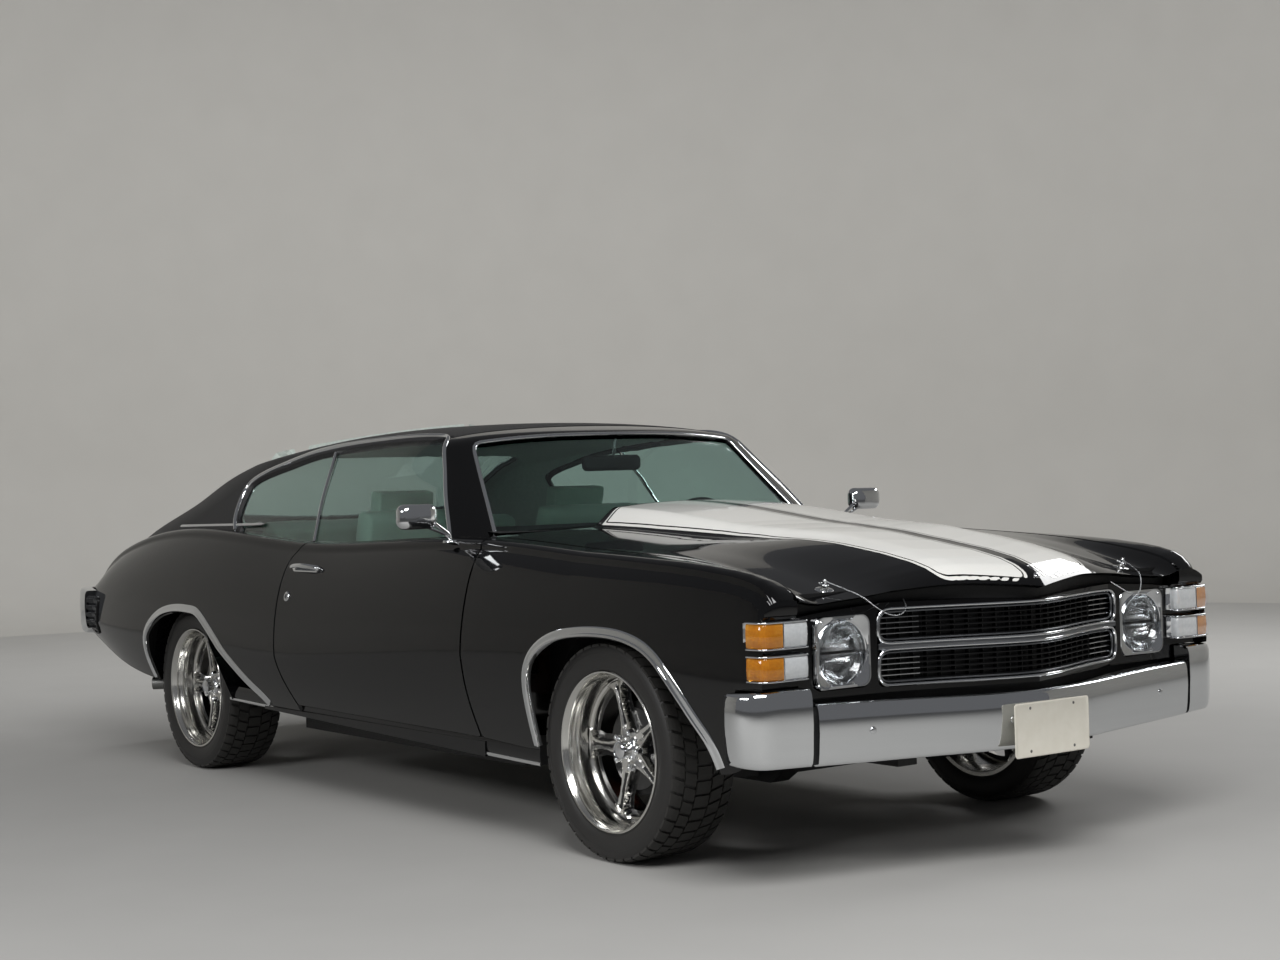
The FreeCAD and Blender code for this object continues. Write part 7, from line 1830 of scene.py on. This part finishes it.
silver = material_of("silvered_mirror_glass", "E4E8EA", 0.01, 500.0, 0.01, metallic=1.0)
for hand, sign in HANDS:
    rounded_shell(f"mirror_head_{hand}", chrome, f"door_{hand}", (0.7022, sign * 0.980, 1.0176),
            (0.067, 0.0395), 0.026, 0.046, 1.0, replaced=f"door_mirror_{hand}", face=silver)
    foot = np.array((0.7022, sign * 0.858, 0.9330))
    for leg, (top_y, top_z) in enumerate(((0.925, 1.000), (0.950, 0.985))):
        line = evened([foot + (0.010 * leg, 0, 0), (0.7022, sign * (0.862 + 0.012 * leg), 0.955),
                (0.7022, sign * top_y, top_z)], 0.008)
        stalk = round_tube(f"mirror_stalk_{hand}_{leg}", chrome, f"door_{hand}", line, 0.0065 - 0.002 * leg,
                sides=12)
        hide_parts(f"door_mirror_{hand}")
    base = round_head(f"mirror_base_{hand}", foot + (0, 0, -0.004), (0, 0, 1), 0.026, 0.010, chrome,
            f"door_{hand}", f"door_mirror_{hand}")

    def on_side(x, z, out=0.0):
        spot, normal = dropped(side_tree, [(x, 2.0, z)], (0, -1, 0))
        p, n = spot[0] + normal[0] * out, normal[0]
        return p * (1, sign, 1), n * (1, sign, 1)

    line = [on_side(x, 0.826, 0.0005) for x in np.linspace(-0.345, -0.130, 20)]
    spots, normals = np.array([a for a, _ in line]), np.array([b for _, b in line])
    plate = swept_trim(f"handle_plate_{hand}", chrome, f"door_{hand}", spots, normals,
            [(-0.013, -0.001), (-0.013, 0.002), (-0.010, 0.0032), (0.010, 0.0032), (0.013, 0.002),
            (0.013, -0.001)], taper=0.02)
    arc = np.sin(np.linspace(0.12, math.pi - 0.12, 20))
    grip = swept_trim(f"handle_grip_{hand}", chrome, f"door_{hand}",
            spots + normals * (0.006 + 0.026 * arc[:, None] ** 0.7), normals, [(0.0085 * math.cos(a),
            0.0055 * math.sin(a)) for a in full_circle(14)], taper=0.012)
    p, n = on_side(-0.142, 0.826, 0.002)
    round_head(f"handle_button_{hand}", p, n, 0.0105, 0.014, chrome, f"door_{hand}")
    p, n = on_side(-0.332, 0.725, 0.0)
    round_head(f"door_lock_{hand}", p, n, 0.0185, 0.006, chrome, f"door_{hand}")
    p, n = on_side(-0.332, 0.725, 0.0055)
    round_head(f"door_lock_core_{hand}", p, n, 0.0090, 0.0015, gunmetal, f"door_{hand}")

    sill_x = np.linspace(1.235, -0.930, 90)
    sill_z = np.interp(sill_x, (-0.930, -0.722, 0.915, 1.235), (0.299, 0.294, 0.256, 0.250))
    rows = ((0.0, 0.8845, 0.060), (0.0, 0.8870, 0.040), (0.0, 0.8860, 0.020), (0.0, 0.8800, 0.004),
            (0.0, 0.8700, 0.0))
    verts = [(x, sign * y, z + rise) for x, z in zip(sill_x, sill_z) for _, y, rise in rows]
    faces = grid_faces(90, 5)
    skin = body_piece(f"rocker_skin_{hand}", black_enamel, "chassis", verts, faces)
    edge = np.column_stack((sill_x, np.full(90, sign * 0.8835), sill_z + 0.008))
    normals = same_normal((0.0, sign, 0.0), 90)
    swept_trim(f"rocker_moulding_{hand}", chrome, "chassis", edge, normals,
            [(-0.0065, -0.003), (-0.0065, 0.001), (-0.003, 0.004), (0.003, 0.004), (0.0065, 0.001),
            (0.0065, -0.003)])

foot_line = [(-0.750, 2.0, 0.985), (-0.850, 2.0, 0.9815), (-1.10, 2.0, 0.978), (-1.35, 2.0, 0.975),
        (-1.55, 2.0, 0.972)]
spots, normals = dropped(whole_roof, evened(foot_line, 0.02), (0, -1, 0))
for hand, p, n in both_sides(spots, normals):
    swept_trim(f"vinyl_foot_trim_{hand}", chrome, "chassis", p, n, half_round(0.014, 0.005), taper=0.01)

louvre_black = material_of("satin_black_moulded_louvre", "0A0A0B", 0.35, 3.0, 0.03)
for hand, sign in HANDS:
    frame_line = rounded_rectangle(-2.268, -2.196, 0.505, 0.660, (0.012,) * 4, 6)
    frame_line = evened(np.vstack((frame_line, frame_line[:1])), 0.006)[:-1]
    spots, normals = dropped(side_tree, [(x, 2.0, z) for x, z in frame_line], (0, -1, 0))
    if len(spots) == len(frame_line):
        spots, normals = spots * (1, sign, 1), normals * (1, sign, 1)
        border = swept_trim(f"marker_frame_{hand}", louvre_black, "chassis", spots, normals,
                [(-0.004, -0.002), (-0.004, 0.006), (0.004, 0.006), (0.004, -0.002)],
                closed=True)
    for k in range(5):
        z = 0.522 + 0.0305 * k
        spots, normals = dropped(side_tree, [(x, 2.0, z) for x in np.linspace(-2.266, -2.198, 12)],
                (0, -1, 0))
        if len(spots) < 3:
            continue
        spots, normals = spots * (1, sign, 1), normals * (1, sign, 1)
        swept_trim(f"marker_louvre_{hand}_{k}", louvre_black, "chassis", spots, normals,
                [(-0.0105, 0.0005), (-0.009, 0.0085), (-0.006, 0.0095), (0.0105, 0.0015),
                (0.0105, -0.001)])
lip_y = np.linspace(-0.770, 0.770, 60)
for name, low, high, back in (("nose_filler", 0.742, 0.800, 0.050), ("front_valance", 0.440, 0.590, 0.075)):
    verts = [(float(front_x(y)) - back, y, z) for y in lip_y for z in (low, high)]
    filler = body_piece(name, satin_black, "chassis", verts,
            [(2 * i, 2 * i + 1, 2 * i + 3, 2 * i + 2) for i in range(59)])
print("small parts done")

# %% [markdown]
# The seats are foam under smooth vinyl. Each cushion starts as a block whose upper side is swollen,
# with stitched channels pressed into it, and subdivision rounds it as a stretched cover does. They
# could be boxes with bevelled edges, but those would look hard. The channels are a guess, since
# the photograph shows only the tops of the front seats.

# %% Seats
def cushion(name, material, centre, size, lean_deg, puff, channels=0, body="chassis", replaced=None):
    """A padded block, leaned about the y axis, with channels pressed into its upper side."""
    nx, ny = 14, 26
    half = np.array(size) / 2
    bm = bmesh.new()
    grid = {}
    u_values, v_values = np.linspace(-1, 1, nx + 1), np.linspace(-1, 1, ny + 1)
    for level in (1, -1):
        for i, u in enumerate(u_values):
            for j, v in enumerate(v_values):
                round_off = (1 - abs(u) ** 6) * (1 - abs(v) ** 8)
                rise = half[2] * (0.72 + 0.28 * round_off) + (puff * round_off if level > 0 else 0.0)
                if channels and level > 0 and abs(v) < 0.72 and abs(u) < 0.85:
                    rise -= 0.006 * (0.5 + 0.5 * math.cos(u * channels * math.pi)) ** 6
                grid[level, i, j] = bm.verts.new((u * half[0], v * half[1],
                        level * rise if level > 0 else -half[2] * 0.9))
    for level in (1, -1):
        for i in range(nx):
            for j in range(ny):
                ring = [grid[level, i, j], grid[level, i + 1, j], grid[level, i + 1, j + 1],
                        grid[level, i, j + 1]]
                bm.faces.new(ring if level > 0 else ring[::-1])
    border = [(i, 0) for i in range(nx)] + [(nx, j) for j in range(ny)]
    border += [(i, ny) for i in range(nx, 0, -1)] + [(0, j) for j in range(ny, 0, -1)]
    for a, b in zip(border, border[1:] + border[:1]):
        bm.faces.new((grid[1, a[0], a[1]], grid[-1, a[0], a[1]], grid[-1, b[0], b[1]], grid[1, b[0], b[1]]))
    bmesh.ops.recalc_face_normals(bm, faces=bm.faces)
    mesh = bpy.data.meshes.new(name)
    bm.to_mesh(mesh)
    bm.free()
    mesh.materials.append(material)
    mesh.shade_smooth()
    piece = bpy.data.objects.new(name, mesh)
    bpy.context.scene.collection.objects.link(piece)
    soft = piece.modifiers.new("rounding", "SUBSURF")
    soft.levels = soft.render_levels = 1
    piece.matrix_world = Matrix.Translation(centre) @ Matrix.Rotation(math.radians(lean_deg), 4, "Y")
    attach(piece, body)
    if replaced:
        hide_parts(replaced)
    return piece


SEAT_Y = 0.400
for hand, sign in HANDS:
    y = sign * SEAT_Y
    cushion(f"front_cushion_{hand}", seat_vinyl, (-0.020, y, 0.470), (0.500, 0.490, 0.170), -4, 0.014, 5,
            replaced="front_seats")
    cushion(f"front_back_{hand}", seat_vinyl, (-0.335, y, 0.760), (0.540, 0.480, 0.130), -76, 0.014, 5,
            replaced="front_seats")
    cushion(f"headrest_{hand}", seat_vinyl, (-0.398, y, 1.040), (0.110, 0.240, 0.085), -80, 0.010,
            replaced="front_seats")
    base = box_piece(f"seat_frame_{hand}", satin_black, "chassis", (-0.30, y - 0.21, 0.305),
            (0.16, y + 0.21, 0.385), 0.006, "front_seats")
cushion("rear_cushion", seat_vinyl, (-0.930, 0.0, 0.585), (0.420, 1.190, 0.150), -4, 0.012, 5,
        replaced="rear_seat")
cushion("rear_back", seat_vinyl, (-1.235, 0.0, 0.790), (0.400, 1.190, 0.130), -68, 0.012, 5,
        replaced="rear_seat")
box_piece("rear_seat_base", satin_black, "chassis", (-1.30, -0.55, 0.40), (-0.78, 0.55, 0.53), 0.010,
        "rear_seat")
print("seats done")

# %% [markdown]
# The dash is a padded black board with round gauges in front of the driver. The steering wheel is on
# the car's left side, with a thin rim and three spokes. The mirror hangs from the header.

# %% Dash, steering wheel and mirror
dash_line = [(0.1500, 0.712), (0.1080, 0.722), (0.0985, 0.7195), (0.0945, 0.7100), (0.0930, 0.690),
        (0.0945, 0.6650), (0.0985, 0.6300), (0.1040, 0.600), (0.1080, 0.575), (0.1250, 0.555)]
dash_line = eased(side(dash_line), 5)
dash_y = np.linspace(-0.700, 0.700, 60)
verts, faces = [], []
for y in dash_y:
    hood_rise = 0.018 * ease_step((0.21 - abs(y - 0.385)) / 0.08)
    for x, z in dash_line:
        top = ease_step((z - 0.900) / 0.05)
        verts.append((x - 0.012 * hood_rise / 0.018 * top if hood_rise else x, y, z + hood_rise * top))
n = len(dash_line)
faces = grid_faces(len(dash_y), n)
dash = body_piece("dash_pad", dash_vinyl, "chassis", verts, faces)
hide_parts("dashboard")
gauge_face = material_of("black_gauge_face", "08080A", 0.25, 30.0, 0.01)
for k, (y, radius) in enumerate(((0.455, 0.052), (0.315, 0.052), (0.385, 0.030), (0.235, 0.026),
        (0.535, 0.026))):
    place = (0.0930 * LENGTH - 0.004, y, 0.690 * HEIGHT - 0.008)
    bezel = round_head(f"gauge_bezel_{k}", place, (-1, 0, 0.10), radius, 0.006, chrome, "chassis",
            "dashboard")
    round_head(f"gauge_face_{k}", (place[0] - 0.0045, y, place[2]), (-1, 0, 0.10), radius * 0.86, 0.003,
            gauge_face, "chassis", "dashboard")
centre = Vector((0.0744 * LENGTH, 0.385, 0.640 * HEIGHT))
tilt = math.radians(24.0)
wheel_axis = Vector((math.cos(tilt), 0, -math.sin(tilt)))
wheel_up = Vector((math.sin(tilt), 0, math.cos(tilt)))
wheel_side = Vector((0, 1, 0))
angles = full_circle(72)
RIM_RADIUS = 0.190
ring = np.array([centre + wheel_side * (RIM_RADIUS * math.cos(a)) + wheel_up * (RIM_RADIUS * math.sin(a))
        for a in angles])
out = np.array([wheel_side * math.cos(a) + wheel_up * math.sin(a) for a in angles])
grip = [(0.0125 * math.cos(a), 0.0125 * math.sin(a)) for a in full_circle(14)]
wheel_parts = [swept_trim("steering_rim", wheel_plastic, "chassis", ring, out, grip, closed=True)]
for k, angle in enumerate((0.12, math.pi - 0.12, 1.5 * math.pi)):
    reach = wheel_side * math.cos(angle) + wheel_up * math.sin(angle)
    line = np.array([centre + wheel_axis * (0.020 * (1 - t)) + reach * (0.03 + 0.155 * t)
            for t in np.linspace(0, 1, 8)])
    facing = np.tile(np.array(-wheel_axis), (8, 1))
    wheel_parts.append(swept_trim(f"steering_spoke_{k}", wheel_plastic, "chassis", line, facing,
            [(-0.016, -0.003), (-0.016, 0.002), (-0.010, 0.004), (0.010, 0.004), (0.016, 0.002),
            (0.016, -0.003)]))
wheel_parts.append(round_head("steering_pad", centre + wheel_axis * 0.034, -wheel_axis, 0.052, 0.030,
        wheel_plastic, "chassis", steps=48))
column = np.array([centre + wheel_axis * t for t in np.linspace(0.02, 0.19, 8)])
wheel_parts.append(swept_trim("steering_column", satin_black, "chassis", column,
        np.tile(np.array(wheel_up), (8, 1)), [(0.026 * math.cos(a),
        0.026 * math.sin(a)) for a in full_circle(20)]))
for part in wheel_parts:
    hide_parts("steering_wheel")
mirror_x, mirror_z = 0.0850 * LENGTH, 0.879 * HEIGHT
rounded_shell("room_mirror_head", dash_vinyl, "chassis", (mirror_x, 0.0, mirror_z), (0.125, 0.027), 0.020,
        0.022, 0.5, replaced="room_mirror", face=silver)
stem = round_tube("room_mirror_stem", chrome, "chassis",
        np.array([(mirror_x + 0.25 * (z - mirror_z), 0.0, z) for z in np.linspace(mirror_z, 1.262, 8)]),
        0.0055, sides=10)
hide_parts("room_mirror")

# %% [markdown]
# A strip of carpet lies on each side of the floor, and each door has a plain mint trim panel with an
# armrest. Their shapes are guessed, since they are hidden in the photograph.

# %% Carpet and door trims
for hand, sign in HANDS:
    box_piece(f"carpet_{hand}", carpet, "chassis", (-0.70, min(sign * 0.14, sign * 0.74), 0.292),
            (0.86, max(sign * 0.14, sign * 0.74), 0.302), 0.003, None)
    panel = box_piece(f"door_trim_{hand}", seat_vinyl, f"door_{hand}",
            (-0.330, min(sign * 0.784, sign * 0.796), 0.400),
            (0.800, max(sign * 0.784, sign * 0.796), 0.890), 0.005, f"door_{hand}")
    box_piece(f"armrest_{hand}", seat_vinyl, f"door_{hand}",
            (-0.150, min(sign * 0.735, sign * 0.786), 0.600),
            (0.250, max(sign * 0.735, sign * 0.786), 0.645), 0.018, f"door_{hand}", 4)
print("interior done")

# %% [markdown]
# The engine is a V8. Its block is painted cast iron, the heads and valve covers lean 45 degrees to each
# side, and a round air cleaner sits on the intake. The photograph shows none of it, so the parts and
# their places are a guess inside the size of the CAD block.
# The hood gets pressed stiffeners beneath it. The hood and the trunk lid each get two short arms that
# end before the hinge: longer ones would cut through the cowl and the rear deck as the panels open,
# because these skins lack the reliefs that the CAD has.

# %% Engine
engine_node = bpy.data.objects["engine"]
engine_top = max((engine_node.matrix_world @ Vector(c)).z for c in engine_node.bound_box)
ENGINE_HEIGHT = 0.538
engine_low = engine_top - ENGINE_HEIGHT


def engine_block(name, material, low, high, bevel, lean_deg=0.0):
    """A rounded block of the engine, leaned about a line along the car through its own middle."""
    piece = box_piece(name, material, "chassis", low, high, bevel, "engine", 4)
    if lean_deg:
        middle = Vector(np.add(low, high) / 2)
        piece.data.transform(Matrix.Translation(middle) @ Matrix.Rotation(math.radians(lean_deg), 4, "X")
                @ Matrix.Translation(-middle))
    return piece


engine_block("engine_block", iron, (1.165, -0.150, engine_low + 0.070), (1.745, 0.150, engine_top - 0.190),
        0.018)
engine_block("oil_pan", satin_black, (1.190, -0.120, engine_low), (1.730, 0.120, engine_low + 0.085), 0.022)
engine_block("intake", steel, (1.240, -0.095, engine_top - 0.215), (1.680, 0.095, engine_top - 0.105), 0.018)
engine_block("carburettor", steel, (1.380, -0.075, engine_top - 0.110), (1.540, 0.075, engine_top - 0.062),
        0.010)
engine_block("gearbox_case", steel, (0.555, -0.100, 0.238), (1.170, 0.100, 0.378), 0.035)
for hand, sign in HANDS:
    y, z = sign * 0.168, engine_top - 0.225
    engine_block(f"head_{hand}", iron, (1.175, y - 0.075, z - 0.060), (1.735, y + 0.075, z + 0.060), 0.012,
            -45 * sign)
    y, z = sign * 0.196, engine_top - 0.172
    engine_block(f"valve_cover_{hand}", chrome, (1.190, y - 0.052, z - 0.034), (1.720, y + 0.052, z + 0.034),
            0.020, -45 * sign)
    line = np.array([(x, sign * 0.222, engine_top - 0.300) for x in np.linspace(1.20, 1.70, 12)])
    manifold = round_tube(f"exhaust_manifold_{hand}", steel, "chassis", line, 0.026, sides=16)
    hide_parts("engine")
round_head("air_cleaner", (1.460, 0.0, engine_top - 0.066), (0, 0, 1), 0.175, 0.050, chrome, "chassis",
        "engine", steps=72)
round_head("air_cleaner_nut", (1.460, 0.0, engine_top - 0.018), (0, 0, 1), 0.014, 0.014, chrome, "chassis",
        "engine")
for k, (y, z, radius) in enumerate(((0.0, engine_low + 0.150, 0.085), (0.0, engine_low + 0.300, 0.070),
        (0.150, engine_top - 0.170, 0.038))):
    round_head(f"belt_pulley_{k}", (1.745, y, z), (1, 0, 0), radius, 0.026, satin_black, "chassis", "engine",
            48)
for k in range(5):
    turn = 2 * math.pi * k / 5
    reach = Vector((0, math.cos(turn), math.sin(turn)))
    hub = Vector((1.768, 0.0, engine_low + 0.300))
    line = np.array([hub + reach * r for r in np.linspace(0.03, 0.170, 6)])
    facing = np.array([Vector((1, 0, 0)) * 0.8 + Vector((0, -math.sin(turn),
            math.cos(turn))) * 0.6 for _ in range(6)])
    blade = swept_trim(f"fan_blade_{k}", satin_black, "chassis", line, facing,
            [(-0.026, -0.001), (-0.026, 0.001), (0.026, 0.001), (0.026, -0.001)])
    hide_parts("engine")
print("engine top:", round(engine_top, 3))

# %% Hood stiffeners, hinge arms and tail lamp rings
flat_bar = [(-0.032, -0.006), (-0.026, 0.0), (0.026, 0.0), (0.032, -0.006)]
plate = [(-0.013, -0.003), (-0.013, 0.003), (0.013, 0.003), (0.013, -0.003)]


def brace(name, body, points, section=flat_bar, facing=(0, 0, 1)):
    """A pressed bar swept along a line under a panel."""
    points = np.array(points, float)
    return swept_trim(name, satin_black, body, points, np.tile(np.array(facing, float), (len(points), 1)),
            section)


for k, x in enumerate((0.95, 1.45, 1.95)):
    brace(f"hood_brace_{k}", "hood",
          [(x, y, hood_level(x, y) - 0.016) for y in np.linspace(-0.60, 0.60, 40)])
for hand, sign in HANDS:
    brace(f"hood_rib_{hand}", "hood",
          [(x, sign * 0.42, hood_level(x, 0.42) - 0.014) for x in np.linspace(0.85, 2.20, 40)])
    y = sign * 0.690
    brace(f"hood_arm_{hand}", "hood",
          [(0.870, y, 0.900), (0.930, y, 0.899), (0.990, y, 0.901), (1.050, y, 0.905)], plate, (0, sign, 0))
    y = sign * 0.300
    brace(f"trunk_arm_{hand}", "trunk_lid",
          [(-1.890, y, 0.905), (-1.920, y, 0.905), (-1.960, y, 0.903), (-2.000, y, 0.900)],
          plate, (0, sign, 0))
for k, (y, z) in enumerate(((0.505, 0.596), (0.690, 0.596), (-0.505, 0.596), (-0.690, 0.596))):
    angles = full_circle(48)
    line = np.array([(-2.462, y + 0.0625 * math.cos(a), z + 0.0625 * math.sin(a)) for a in angles])
    ring = swept_trim(f"tail_lamp_ring_{k}", chrome, "chassis", line, same_normal((-1.0, 0, 0), 48),
            [(-0.005, -0.004), (-0.005, 0.001), (-0.002, 0.004), (0.002, 0.004), (0.005, 0.001),
            (0.005, -0.004)], closed=True)
print("engine and braces done")

# %% [markdown]
# The studio is a pale seamless floor that meets a curved pale wall behind the car, with one wide soft
# light high in front, two soft lights at the sides and three that wash the wall. Black enamel shows
# whatever stands round it, so the wall stands only behind the car, and the air on the camera's side is
# a darker grey: the panels then stay black and the chrome gets its dark and light bands. Floor and wall
# aren't part of the car. The wall's outer side is see-through, so that a
# view from behind it still shows the car.

# %% Floor, wall and lights
floor_finish = material_of("matt_studio_floor", "B4B3B0", 0.75, 400.0, 0.01, "B1B0AD", "B7B6B3")
wall_finish = material_of("matt_studio_wall", "C2C0BB", 0.9, 400.0, 0.01, "BFBDB8", "C5C3BE")
back_side = add_node(wall_finish, "ShaderNodeNewGeometry")
see_through = add_node(wall_finish, "ShaderNodeBsdfTransparent")
one_sided = add_node(wall_finish, "ShaderNodeMixShader", links={"Fac": (back_side, "Backfacing")})
wall_shader = wall_finish.node_tree.nodes["Principled BSDF"]
wall_finish.node_tree.links.new(wall_shader.outputs["BSDF"], one_sided.inputs[1])
wall_finish.node_tree.links.new(see_through.outputs["BSDF"], one_sided.inputs[2])
wall_finish.node_tree.links.new(one_sided.outputs["Shader"],
        wall_finish.node_tree.nodes["Material Output"].inputs["Surface"])
WALL_RADIUS, WALL_TOP, COVE = 11.0, 7.0, 1.5
angles = np.radians(np.linspace(40, 250, 90))
cove = [(WALL_RADIUS - COVE + COVE * math.sin(a),
        COVE - COVE * math.cos(a)) for a in np.radians(np.linspace(0, 90, 12))]
cove.append((WALL_RADIUS, WALL_TOP))
rows = len(cove)
verts = [(r * math.cos(a), r * math.sin(a), z) for a in angles for r, z in cove]
faces = grid_faces(len(angles), rows)
mesh = bpy.data.meshes.new("studio_wall")
mesh.from_pydata(verts, [], faces)
mesh.shade_smooth()
mesh.materials.append(wall_finish)
wall = bpy.data.objects.new("studio_wall", mesh)
bpy.context.scene.collection.objects.link(wall)
mesh = bpy.data.meshes.new("studio_floor")
mesh.from_pydata([(-40, -40, 0), (40, -40, 0), (40, 40, 0), (-40, 40, 0)], [], [(0, 1, 2, 3)])
mesh.materials.append(floor_finish)
floor = bpy.data.objects.new("studio_floor", mesh)
bpy.context.scene.collection.objects.link(floor)

world = bpy.data.worlds.new("studio_air")
bpy.context.scene.world = world
world.use_nodes = True
sky = world.node_tree.nodes["Background"]
sky.inputs["Color"].default_value = paint("8C8D90")
sky.inputs["Strength"].default_value = 0.5


def soft_light(name, place, target, width, height, watts):
    data = bpy.data.lights.new(name, "AREA")
    data.shape = "RECTANGLE"
    data.size, data.size_y = width, height
    data.energy = watts
    light = bpy.data.objects.new(name, data)
    bpy.context.scene.collection.objects.link(light)
    light.location = place
    light.rotation_mode = "QUATERNION"
    light.rotation_quaternion = (Vector(target) - Vector(place)).to_track_quat("-Z", "Y")
    return light


soft_light("front_soft_box", (5.6, -2.6, 4.9), (0.8, 0, 0.4), 4.0, 2.2, 300)
soft_light("right_soft_box", (1.5, -7.5, 3.6), (0.4, 0, 0.5), 4.0, 1.2, 170)
soft_light("left_soft_box", (1.0, 6.5, 4.2), (0.5, 0, 0.5), 4.0, 1.5, 130)
for k, angle in enumerate((100, 145, 190)):
    spot = (4.5 * math.cos(math.radians(angle)), 4.5 * math.sin(math.radians(angle)), 5.4)
    aim = (WALL_RADIUS * math.cos(math.radians(angle)), WALL_RADIUS * math.sin(math.radians(angle)), 1.2)
    soft_light(f"wall_wash_{k}", spot, aim, 3.0, 0.8, 120)
print("stage ready")
